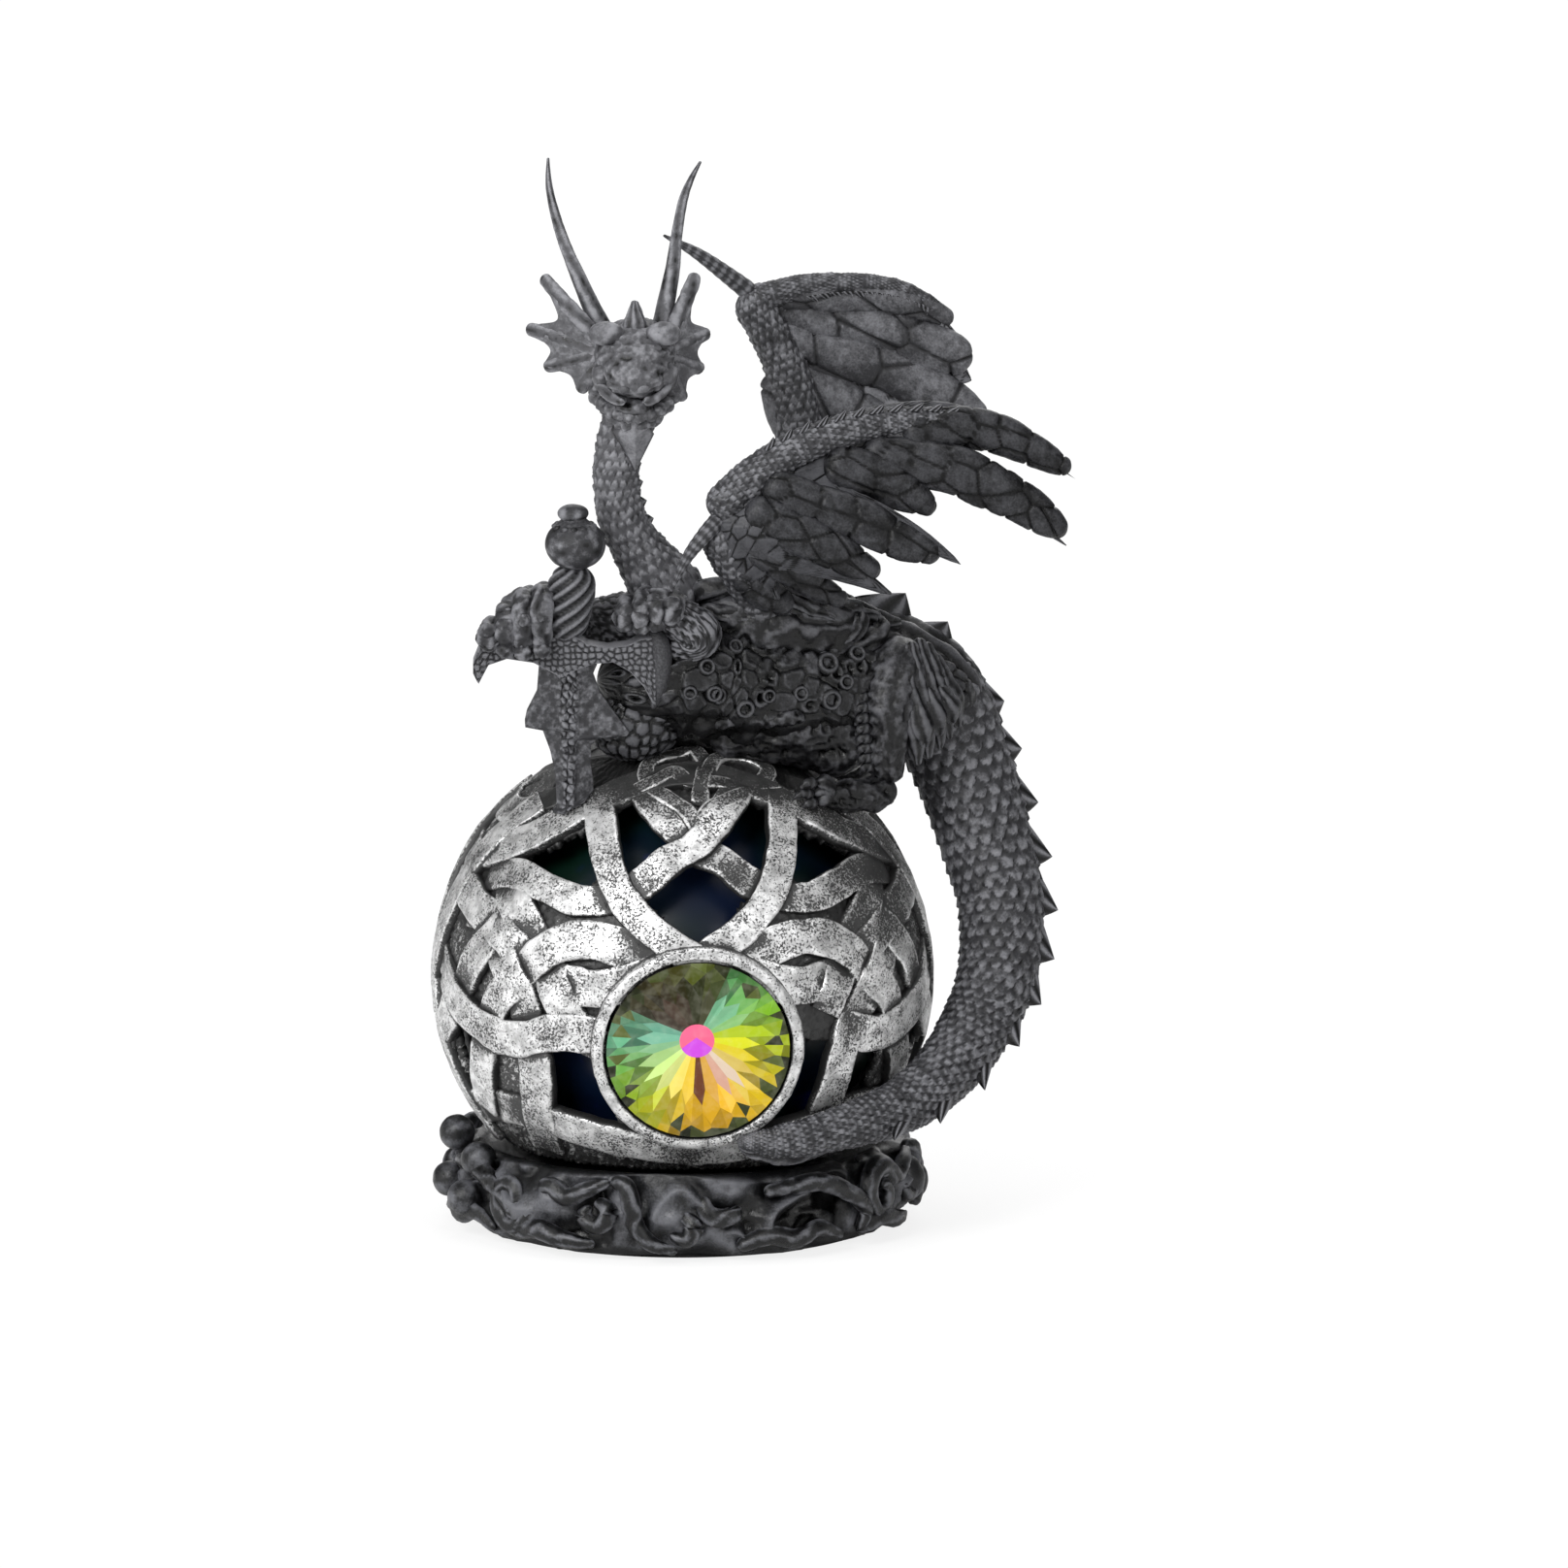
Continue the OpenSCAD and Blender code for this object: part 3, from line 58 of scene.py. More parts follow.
HEAD = ORB_TOP + [-8.8, -20.0, 74.5]
NEAR_WRIST = ORB_TOP + [6.0, -24.0, 43.0]
FAR_WRIST = ORB_TOP + [12.0, 22.0, 79.5]


# Curves, noise and reliefs

def unit(v):
    """Each vector over its own length."""
    return v / np.maximum(np.linalg.norm(v, axis=-1, keepdims=True), 1e-9)


def soft_step(x, low, high):
    """Zero below low, one above high, and a cubic ease between them."""
    t = np.clip((x - low) / (high - low), 0.0, 1.0)
    return t * t * (3.0 - 2.0 * t)


def along(rows, s):
    """A cubic through rows of numbers, each span blending its ends and neighbours; s runs from 0 to 1."""
    p = np.asarray(rows, float)
    n = len(p) - 1
    x = np.clip(np.asarray(s, float), 0.0, 1.0) * n
    i = np.minimum(x.astype(int), n - 1)
    t = (x - i)[..., None]
    a, b, c, d = p[np.maximum(i - 1, 0)], p[i], p[i + 1], p[np.minimum(i + 2, n)]
    bend, twist = 2 * a - 5 * b + 4 * c - d, 3 * b - a - 3 * c + d
    return 0.5 * (2 * b + (c - a) * t + bend * t ** 2 + twist * t ** 3)


def turns(n):
    """Angles of n equal steps round a circle."""
    return np.linspace(0.0, TAU, n, endpoint=False)


def power(x, p):
    """x to a power, with its sign kept."""
    return np.sign(x) * np.abs(x) ** p


def dice(i, j, k=0.0):
    """A fixed pseudo-random number from 0 to 1 for a lattice place: the fraction of a large sine."""
    return np.modf(np.abs(np.sin(i * 12.9898 + j * 78.233 + k * 37.719) * 43758.5453))[0]


def lumps(p, size, octaves=3):
    """Smooth noise from -1 to 1: random values on a cubic lattice, eased between corners, in halving
    sizes."""
    q, total, weight = p / size, 0.0, 1.0
    for _ in range(octaves):
        i = np.floor(q)
        f = (q - i) ** 2 * (3.0 - 2.0 * (q - i))
        part = 0.0
        for c in product((0, 1), repeat=3):
            w = np.prod(np.where(np.array(c) == 1, f, 1.0 - f), axis=-1)
            part = part + w * dice(i[..., 0] + c[0], i[..., 1] + c[1], i[..., 2] + c[2])
        total = total + weight * (2.0 * part - 1.0)
        weight *= 0.5
        q = q * 2.03 + 7.1
    return total


def cells(x, y, wrap=None, seed=0.0, jitter=0.75):
    """Scattered cells: distance to the nearest seed of a shaken lattice, how much nearer it is than the next
    one, and the cell's own random number."""
    i, j = np.floor(x), np.floor(y)
    near, second, tag = np.full(x.shape, 9.0), np.full(x.shape, 9.0), np.zeros(x.shape)
    for di, dj in product((-1, 0, 1), repeat=2):
        ci, cj = i + di, j + dj
        hi = np.mod(ci, wrap) if wrap else ci
        sx = ci + 0.5 + jitter * (dice(hi, cj, seed) - 0.5)
        sy = cj + 0.5 + jitter * (dice(hi, cj, seed + 5.0) - 0.5)
        d = np.hypot(x - sx, y - sy)
        closer = d < near
        second = np.where(closer, near, np.minimum(second, d))
        tag = np.where(closer, dice(hi, cj, seed + 9.0), tag)
        near = np.where(closer, d, near)
    return near, second - near, tag


def shingles(x, y):
    """Overlapping round scales: x counts scales across and y rows along. Each scale thickens from its root to
    a round lip, which hides the root of the row below."""
    row = np.floor(y)
    f = y - row
    def across(k):
        a = x + 0.5 * np.mod(k, 2.0)
        a = 2.0 * (a - np.floor(a)) - 1.0
        return a, 0.78 * np.sqrt(np.clip(1.0 - a * a, 0.0, 1.0))
    a0, lip0 = across(row - 1)
    a1, lip1 = across(row)
    over = f < lip0
    t = np.where(over, (f + 1.0) / (1.0 + lip0), f / (1.0 + lip1))
    a = np.where(over, a0, a1)
    return t * (1.0 - 0.35 * a * a)


def on_orb(az, el, r):
    """The place at a compass angle from the front, a height angle and a distance from the orb's middle."""
    az, el = np.radians(az), np.radians(el)
    way = np.stack(np.broadcast_arrays(np.sin(az) * np.cos(el), -np.cos(az) * np.cos(el), np.sin(el)), -1)
    return ORB_MID + way * np.asarray(r)[..., None]


def off_orb(points):
    """Points inside the orb moved out along its radius to just above its surface."""
    arm = points - ORB_MID
    far = np.linalg.norm(arm, axis=-1, keepdims=True)
    return ORB_MID + arm * np.maximum(1.0, (ORB_R + SKIN_GAP) / np.maximum(far, 1e-6))


def raised(grid, height, loop=True):
    """Each point of a grid moved by its height along the grid's own normal."""
    across = np.roll(grid, -1, 1) - np.roll(grid, 1, 1) if loop else np.gradient(grid, axis=1)
    normal = unit(np.cross(across, np.gradient(grid, axis=0)))
    return grid + normal * np.broadcast_to(height, grid.shape[:2])[..., None]


# Meshes

def patch(p, q, r, s):
    """Faces from four grids of corner numbers."""
    return np.stack([p, q, r, s], -1).reshape(-1, 4)


class Clay:
    """Grids of points gathered into one mesh, with a relief value from 0 in a groove to 1 on a crest."""

    def __init__(self):
        self.points, self.relief, self.quads, self.tris = [], [], [], []
        self.count = 0

    def take(self, points, relief):
        """Stores points and returns the number of the first."""
        flat = points.reshape(-1, 3)
        self.points.append(flat)
        self.relief.append(np.broadcast_to(relief, points.shape[:-1]).reshape(-1))
        self.count += len(flat)
        return self.count - len(flat)

    def number(self, grid, relief):
        """Stores a grid of points and returns the number of each."""
        n, k = grid.shape[:2]
        return self.take(grid, relief) + np.arange(n * k).reshape(n, k)

    def lay(self, grid, relief):
        """A grid whose columns go round a ring; both ends are closed by fans to their middles."""
        relief = np.broadcast_to(relief, grid.shape[:2])
        here = self.number(grid, relief)
        after = np.roll(here, -1, 1)
        self.quads.append(patch(here[:-1], after[:-1], after[1:], here[1:]))
        for row, order in ((0, [0, 2, 1]), (-1, [0, 1, 2])):
            mid = self.take(grid[row].mean(0)[None], relief[row].mean())
            fan = np.stack([np.full(len(here[row]), mid), here[row], after[row]], -1)
            self.tris.append(fan[:, order])

    def torus(self, grid, relief):
        """A grid that closes on itself both ways."""
        here = self.number(grid, relief)
        after, below = np.roll(here, -1, 1), np.roll(here, -1, 0)
        self.quads.append(patch(here, after, np.roll(below, -1, 1), below))

    def slab(self, front, back, relief, relief_back):
        """Two facing grids joined round their rims, turned so that the closed volume is positive."""
        a = self.number(front, relief)
        b = self.number(back, relief_back)
        quads = np.concatenate([
            patch(a[:-1, :-1], a[:-1, 1:], a[1:, 1:], a[1:, :-1]),
            patch(b[:-1, :-1], b[1:, :-1], b[1:, 1:], b[:-1, 1:]),
            patch(a[0, 1:], a[0, :-1], b[0, :-1], b[0, 1:]),
            patch(a[-1, :-1], a[-1, 1:], b[-1, 1:], b[-1, :-1]),
            patch(a[:-1, 0], a[1:, 0], b[1:, 0], b[:-1, 0]),
            patch(a[1:, -1], a[:-1, -1], b[:-1, -1], b[1:, -1])])
        p = np.concatenate([front.reshape(-1, 3), back.reshape(-1, 3)])[quads - a[0, 0]]
        p = p - p.mean((0, 1))
        lean = np.cross(p[:, 1], p[:, 2]) + np.cross(p[:, 2], p[:, 3])
        volume = np.einsum("ij,ij->i", p[:, 0], lean).sum()
        self.quads.append(quads if volume > 0 else quads[:, ::-1])

    def cast(self, name, finish, slot, *nodes, sharp=None):
        """The mesh as an object that rides on the figurine and stands for the named CAD nodes."""
        quads = np.concatenate(self.quads)
        tris = np.concatenate(self.tris) if self.tris else np.zeros((0, 3), int)
        sizes = np.r_[np.full(len(quads), 4), np.full(len(tris), 3)]
        corners = np.r_[quads.ravel(), tris.ravel()].astype(np.int32)
        mesh = bpy.data.meshes.new(name)
        mesh.vertices.add(self.count)
        mesh.vertices.foreach_set("co", (np.concatenate(self.points) * MM).astype(np.float32).ravel())
        mesh.loops.add(len(corners))
        mesh.loops.foreach_set("vertex_index", corners)
        mesh.polygons.add(len(sizes))
        mesh.polygons.foreach_set("loop_start", np.r_[0, np.cumsum(sizes)[:-1]].astype(np.int32))
        mesh.polygons.foreach_set("use_smooth", np.ones(len(sizes), bool))
        mesh.update(calc_edges=True)
        # On the orb this relief also carries painted shade
        crest = mesh.attributes.new("relief", "FLOAT", "POINT")
        crest.data.foreach_set("value", np.clip(np.concatenate(self.relief), 0, 1).astype(np.float32))
        if sharp:
            mesh.set_sharp_from_angle(angle=np.radians(sharp))
        mesh.materials.append(finish)
        return mount(bpy.data.objects.new(name, mesh), slot, *nodes)


def mount(piece, slot, *nodes):
    """Links a piece, lets it ride on the figurine and hides the CAD nodes it stands for; slot is not used."""
    bpy.context.scene.collection.objects.link(piece)
    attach(piece, "figurine")
    if nodes:
        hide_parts(*nodes)
    return piece


def tube(route, sides, gap, up, ends=(1.0, 1.0), carve=None):
    """An ellipse carried along a smooth route of x, y, z and two half widths, rounded off at its ends.
    carve gives the height and the relief for each run along it and angle round it."""
    route = np.asarray(route, float)
    rough = along(route, np.linspace(0, 1, 160))[:, :3]
    steps = max(int(np.linalg.norm(np.diff(rough, axis=0), axis=1).sum() / gap), 8)
    p = along(route, np.linspace(0, 1, steps))
    mid, wide = p[:, :3], np.maximum(p[:, 3:5], 0.05)
    run = np.r_[0, np.cumsum(np.linalg.norm(np.diff(mid, axis=0), axis=1))]
    t = unit(np.gradient(mid, axis=0))
    guide = up(mid) if callable(up) else np.broadcast_to(up, t.shape)
    u = unit(np.cross(guide, t))
    v = np.cross(t, u)
    fade = np.ones(steps)
    for share, left, end in ((ends[0], run, 0), (ends[1], run[-1] - run, -1)):
        if share:
            close = np.clip(left / (share * p[end, 3:5].mean()), 0.004, 1.0)
            wide = wide * np.sqrt(1.0 - (1.0 - close) ** 2)[:, None]
            fade = fade * close
    a = turns(sides)
    grid = (mid[:, None] + u[:, None] * (wide[:, None, :1] * np.cos(a)[:, None])
            + v[:, None] * (wide[:, None, 1:] * np.sin(a)[:, None]))
    if carve is None:
        return grid, np.full(grid.shape[:2], 0.5)
    height, relief = carve(run[:, None] + 0 * a, a + 0 * run[:, None], wide.mean(1)[:, None] + 0 * a, grid)
    return raised(grid, height * fade[:, None]), relief


def ball(mid, size, rows, sides, rough=0.0, grain=2.0):
    """A sphere drawn out to three half widths, with a little noise along its normals."""
    lat = np.linspace(-0.5 * np.pi, 0.5 * np.pi, rows + 2)[1:-1, None]
    lon = turns(sides)[None]
    flat = np.cos(lat)
    way = np.stack(np.broadcast_arrays(flat * np.cos(lon), flat * np.sin(lon), np.sin(lat)), -1)
    grid = np.asarray(mid) + way * np.asarray(size)
    bump = lumps(grid, grain, 2)
    return raised(grid, rough * bump), 0.5 + 0.4 * bump


def scaled(around, row, high, rough):
    """A carving of overlapping scales, so many round the limb, in rows of a share of its half width."""
    def carve(run, a, wide, grid):
        rows = np.cumsum(np.gradient(run[:, 0]) / (row * np.maximum(wide[:, 0], 0.6)))[:, None] + 0 * a
        h = shingles(a / TAU * around + 0.12 * lumps(grid, 6.0, 1), rows + 0.15 * lumps(grid, 5.0, 1))
        fine = lumps(grid, 1.0, 2)
        return (high * (h - 0.4) * np.clip(wide / 3.0, 0.3, 1.4) + rough * lumps(grid, 1.4, 2),
                np.clip(0.08 + 0.75 * h + 0.25 * fine, 0, 1))
    return carve


def pebbled(size, high, seed, rings):
    """A carving of close round pebbles with grooves; above the rings share a pebble is a hollow ring."""
    def carve(run, a, wide, grid):
        around = max(int(TAU * wide.max() / size), 4)
        near, edge, tag = cells(a / TAU * around, run / size, around, seed)
        plate = soft_step(edge, 0.03, 0.32)
        ring = np.exp(-((near - 0.3) / 0.1) ** 2) - 0.7 * np.exp(-(near / 0.16) ** 2)
        h = np.where(tag > rings, 0.45 * plate + 0.6 * ring, plate * (0.75 + 0.25 * tag))
        return high * h + 0.08 * lumps(grid, 1.2, 2), np.clip(h, 0, 1)
    return carve


def wrinkled(folds, high, swirl=1.5, tone=0.5):
    """A carving of folds that run along a limb and wander round it."""
    def carve(run, a, wide, grid):
        w = np.sin(folds * a + swirl * 2.4 * lumps(grid, 5.0, 2) + 0.25 * run)
        fine = lumps(grid, 1.1, 2)
        return high * (0.8 * w + 0.5 * fine), np.clip(tone + 0.3 * w + 0.25 * fine, 0, 1)
    return carve


def ribbed(pitch, high):
    """A carving of rings along a horn or claw, with fine lengthwise lines."""
    def carve(run, a, wide, grid):
        w = np.sin(run * TAU / pitch + 0.8 * lumps(grid, 2.5, 1))
        line = np.sin(9 * a)
        return high * (0.6 * w + 0.4 * line) * np.clip(wide / 1.5, 0.15, 1), 0.55 + 0.2 * w + 0.15 * line
    return carve


def pillows(size, seed):
    """A carving of swollen many-sided cells with thin grooves, laid out over the face of the wing."""
    def carve(run, a, wide, grid):
        x, z = grid[..., 0] + 0.2 * grid[..., 1], grid[..., 2]
        across, down = (0.92 * x - 0.39 * z) / (1.4 * size), (0.39 * x + 0.92 * z) / size
        near, edge, _ = cells(across, down, None, seed, 0.85)
        groove = 1 - (1 - soft_step(edge, 0.0, 0.11)) ** 2
        dome = np.clip(1 - 1.6 * near ** 2, 0, 1)
        rough = lumps(grid, 1.0, 2)
        h = 0.6 * groove + 0.4 * dome
        return ((h - 0.75 + 0.06 * rough) * np.clip(wide / 2.5, 0.3, 1),
                np.clip(0.12 + groove * (0.3 + 0.26 * dome + 0.12 * rough), 0, 1))
    return carve


def way(places, *widths):
    """Places from the top of the orb with their half widths, as the rows of a route."""
    w = np.array(widths, float)
    w = np.stack([w, w], -1) if w.ndim == 1 else w
    return np.c_[ORB_TOP + np.asarray(places, float), w]


# Finishes

class Bench:
    """Places nodes in a tree and wires them to the values and sockets given for their inputs."""

    def __init__(self, tree):
        self.tree = tree

    def add(self, kind, inputs=None, **props):
        """A node of a kind, with its inputs set or linked and its properties set."""
        node = self.tree.nodes.new(kind)
        for key, value in props.items():
            setattr(node, key, value)
        for key, value in (inputs or {}).items():
            if isinstance(value, bpy.types.NodeSocket):
                self.tree.links.new(value, node.inputs[key])
            else:
                node.inputs[key].default_value = value
        return node

    def math(self, how, a, b):
        """One step of arithmetic."""
        return self.add("ShaderNodeMath", {0: a, 1: b}, operation=how).outputs[0]

    def ease(self, value, low, high, to_low=0.0, to_high=1.0):
        """A value eased from one range to another."""
        ranges = {"Value": value, "From Min": low, "From Max": high, "To Min": to_low, "To Max": to_high}
        return self.add("ShaderNodeMapRange", ranges, interpolation_type="SMOOTHSTEP").outputs["Result"]

    def mix(self, fac, a, b):
        """Colour a with a share of colour b."""
        return self.add("ShaderNodeMix", {"Factor": fac, 6: a, 7: b}, data_type="RGBA").outputs[2]

    def noise(self, vector, scale, detail, rough=0.6):
        """A noise from 0 to 1; scale counts its lumps to the metre."""
        inputs = {"Vector": vector, "Scale": scale, "Detail": detail, "Roughness": rough}
        return self.add("ShaderNodeTexNoise", inputs).outputs["Fac"]


def group(name, inputs, outputs, build):
    """A node group with named number inputs and outputs; build wires the outputs from the inputs."""
    tree = bpy.data.node_groups.new(name, "ShaderNodeTree")
    number = "NodeSocketFloat"
    for label, value in inputs.items():
        tree.interface.new_socket(label, in_out="INPUT", socket_type=number).default_value = value
    for label in outputs:
        tree.interface.new_socket(label, in_out="OUTPUT", socket_type=number)
    bench = Bench(tree)
    place = bench.add("ShaderNodeTexCoord").outputs["Object"]
    made = build(bench, place, bench.add("NodeGroupInput").outputs)
    bench.add("NodeGroupOutput", made)
    return tree


def dry_brush_nodes(b, place, given):
    """Crests where the relief and a patchy noise are high, grooves where the relief is low, and cast pits."""
    patch = b.noise(place, 110.0, 4.0)
    grain = b.noise(place, 2300.0, 3.0)
    patchy = b.math("MULTIPLY", b.math("SUBTRACT", patch, 0.5), given["Patch"])
    lifted = b.math("ADD", given["Relief"], patchy)
    lifted = b.math("ADD", lifted, b.math("MULTIPLY", b.math("SUBTRACT", grain, 0.5), 0.5))
    crest = b.ease(lifted, 0.38, 0.98)
    groove = b.ease(given["Relief"], 0.36, 0.05)
    pits = b.ease(b.noise(place, 2600.0, 2.0), 0.35, 0.25)
    height = b.math("SUBTRACT", b.math("MULTIPLY", grain, 0.6), b.math("MULTIPLY", pits, 0.9))
    return {"Crest": crest, "Groove": groove, "Pits": pits, "Tone": patch, "Height": height}


def speckle_nodes(b, place, given):
    """Black pits left by the paint: fine noise over a limit that drifts with a coarse one."""
    drift = b.noise(place, 150.0, 3.0)
    fine = b.noise(place, 2300.0, 3.0, 0.7)
    drifting = b.math("MULTIPLY", b.math("SUBTRACT", drift, 0.5), given["Drift"])
    limit = b.math("ADD", given["Amount"], drifting)
    speck = b.ease(b.math("SUBTRACT", fine, limit), 0.02, -0.03)
    streak = b.noise(place, 420.0, 3.0)
    return {"Speck": speck, "Drift": drift, "Streak": streak}


DRY_BRUSH = group("dry_brush", {"Relief": 0.5, "Patch": 0.6}, ["Crest", "Groove", "Pits", "Tone", "Height"],
                  dry_brush_nodes)
SPECKLE = group("speckle", {"Amount": 0.4, "Drift": 0.3}, ["Speck", "Drift", "Streak"], speckle_nodes)


def finish(name, **plain):
    """A material with one Principled shader; plain sets sockets that are the same all over."""
    material = bpy.data.materials.new(name)
    material.use_nodes = True
    bench = Bench(material.node_tree)
    shader = material.node_tree.nodes["Principled BSDF"]
    for key, value in plain.items():
        shader.inputs[key.replace("_", " ")].default_value = value
    return material, bench, shader


def wire(bench, shader, **links):
    """Links sockets to the shader's inputs by name."""
    for key, socket in links.items():
        bench.tree.links.new(socket, shader.inputs[key.replace("_", " ")])


def grey(v):
    """A grey as a colour."""
    return (v, v, v, 1.0)


def resin(name, deep, body, brushed, rough=(0.6, 0.4), patch=0.25, shine=0.3):
    """Cast resin stained black: deep black in grooves, partly the black left by the dry brush and partly
    painted shade, charcoal on the body and a dry-brushed grey on crests."""
    material, b, shader = finish(name, Specular_IOR_Level=shine)
    relief = b.add("ShaderNodeAttribute", attribute_name="relief").outputs["Fac"]
    out = b.add("ShaderNodeGroup", {"Relief": relief, "Patch": patch}, node_tree=DRY_BRUSH).outputs
    colour = b.mix(out["Crest"], body, brushed)
    # Grooves go deep black: black the dry brush misses, deepened as painted shade in the creases
    colour = b.mix(out["Groove"], colour, deep)
    colour = b.mix(b.math("MULTIPLY", out["Pits"], 0.6), colour, deep)
    bump = b.add("ShaderNodeBump", {"Height": out["Height"], "Strength": 0.5, "Distance": 0.0003})
    wire(b, shader, Base_Color=colour, Normal=bump.outputs[0],
         Roughness=b.ease(out["Groove"], 0.0, 1.0, rough[0], rough[1]))
    return material


def silver_paint(name):
    """Silver dry-brushed over black: bright on raised faces, worn to black in grooves and pits."""
    material, b, shader = finish(name)
    relief = b.add("ShaderNodeAttribute", attribute_name="relief").outputs["Fac"]
    # On the orb the relief also holds painted shade, so the silver darkens to black with it
    worn = b.ease(relief, 0.98, 0.25, 0.0, 0.19)
    amount = b.math("ADD", worn, 0.435)
    dots = b.add("ShaderNodeGroup", {"Amount": amount, "Drift": 0.42}, node_tree=SPECKLE).outputs
    bare = b.math("MAXIMUM", b.math("MULTIPLY", dots["Speck"], 0.95), b.ease(relief, 0.4, 0.1))
    tone = b.mix(b.ease(dots["Streak"], 0.3, 0.65), grey(0.34), grey(0.68))
    tone = b.mix(b.ease(relief, 0.5, 0.95), b.mix(0.45, tone, grey(0.05)), tone)
    colour = b.mix(bare, tone, grey(0.008))
    height = b.math("SUBTRACT", b.math("MULTIPLY", dots["Streak"], 0.6), dots["Speck"])
    bump = b.add("ShaderNodeBump", {"Height": height, "Strength": 0.7, "Distance": 0.0003})
    wire(b, shader, Base_Color=colour, Normal=bump.outputs[0], Metallic=b.ease(bare, 0.0, 1.0, 0.5, 0.0),
         Roughness=b.ease(bare, 0.0, 1.0, 0.36, 0.5))
    return material


def moulded(name, low, high, rough, scale=900.0):
    """Plain moulded stuff: a small drift of tone and a fine grain."""
    material, b, shader = finish(name)
    place = b.add("ShaderNodeTexCoord").outputs["Object"]
    drift = b.noise(place, 60.0, 4.0)
    grain = b.noise(place, scale, 3.0)
    bump = b.add("ShaderNodeBump", {"Height": grain, "Strength": 0.25, "Distance": 0.0001})
    wire(b, shader, Base_Color=b.mix(drift, low, high), Normal=bump.outputs[0],
         Roughness=b.ease(grain, 0.3, 0.7, rough - 0.08, rough + 0.08))
    return material


# Resins: deep, body and brushed colours, then roughness on the body and in grooves
# Painted shade: the darkest copy of the one black resin, for the trunk, flank folds and hind legs
SHADED_BLACK_RESIN = resin("black_resin", grey(0.0003), (0.0036, 0.0036, 0.0042, 1), (0.066, 0.0665, 0.073, 1),
                    (0.42, 0.27), shine=0.28)
# Painted light: a lighter copy of the black resin for the neck, head, ear fans and horns, as lit from above
LIT_HEAD_RESIN = resin("head_resin_painted_lit", grey(0.004), (0.055, 0.055, 0.060, 1), (0.19, 0.191, 0.205, 1))
# Painted shade: a darker copy of the black resin for the near wing's skin
SHADED_WING_RESIN = resin("near_wing_resin_painted_shade", grey(0.0002), (0.0018, 0.0018, 0.0022, 1), (0.05, 0.0505, 0.056, 1),
                   (0.4, 0.26), shine=0.2)
BASE_RESIN = resin("base_resin", grey(0.0003), (0.0042, 0.0044, 0.005, 1), (0.1, 0.102, 0.113, 1),
                   (0.4, 0.26), shine=0.34)
SILVER = silver_paint("antique_silver")
# Painted light and shade: a middle copy of the black resin for the tail, fins, far wing, arms, claws,
# forelegs and sword
HALF_LIT_RESIN = resin("resin_painted_half_lit", grey(0.0007), (0.0228, 0.0228, 0.0252, 1), (0.16, 0.161, 0.174, 1),
                  (0.5, 0.38), shine=0.24, patch=0.14)


def globe_glass():
    """Dark glass that drifts between navy and bottle green under a clear coat."""
    material, b, shader = finish("dark_globe", Roughness=0.35, Specular_IOR_Level=0.25, Coat_Weight=0.15,
                                 Coat_Roughness=0.12)
    place = b.add("ShaderNodeTexCoord").outputs["Object"]
    hue = b.ease(b.noise(place, 26.0, 2.0), 0.4, 0.6)
    colour = b.mix(hue, (0.002, 0.006, 0.022, 1), (0.0015, 0.010, 0.006, 1))
    colour = b.mix(b.ease(b.noise(place, 75.0, 2.0), 0.62, 0.75), colour, (0.003, 0.006, 0.13, 1))
    wire(b, shader, Base_Color=colour)
    return material


def gem_glass():
    """Foiled crystal: each facet keeps its own colour, with fine inner streaks, under a clear gloss."""
    material, b, shader = finish("gem_glass", Roughness=0.25, Specular_IOR_Level=0.16, Coat_Weight=0.1,
                                 Coat_Roughness=0.03)
    tint = b.add("ShaderNodeAttribute", attribute_name="facet").outputs["Color"]
    place = b.add("ShaderNodeTexCoord").outputs["Object"]
    streak = b.ease(b.noise(place, 420.0, 2.0), 0.4, 0.7)
    light = b.mix(0.3, tint, (1.0, 1.0, 0.8, 1.0))
    colour = b.mix(b.math("MULTIPLY", streak, 0.14), tint, light)
    wire(b, shader, Base_Color=colour, Emission_Color=colour)
    # Painted glow: the facets give off a little of their own colour
    shader.inputs["Emission Strength"].default_value = 0.05
    return material


# Orb: bands woven over a ground layer with windows

NARROW_BAND, WIDE_BAND, KNOT_BAND = 6.4, 7.4, 3.4
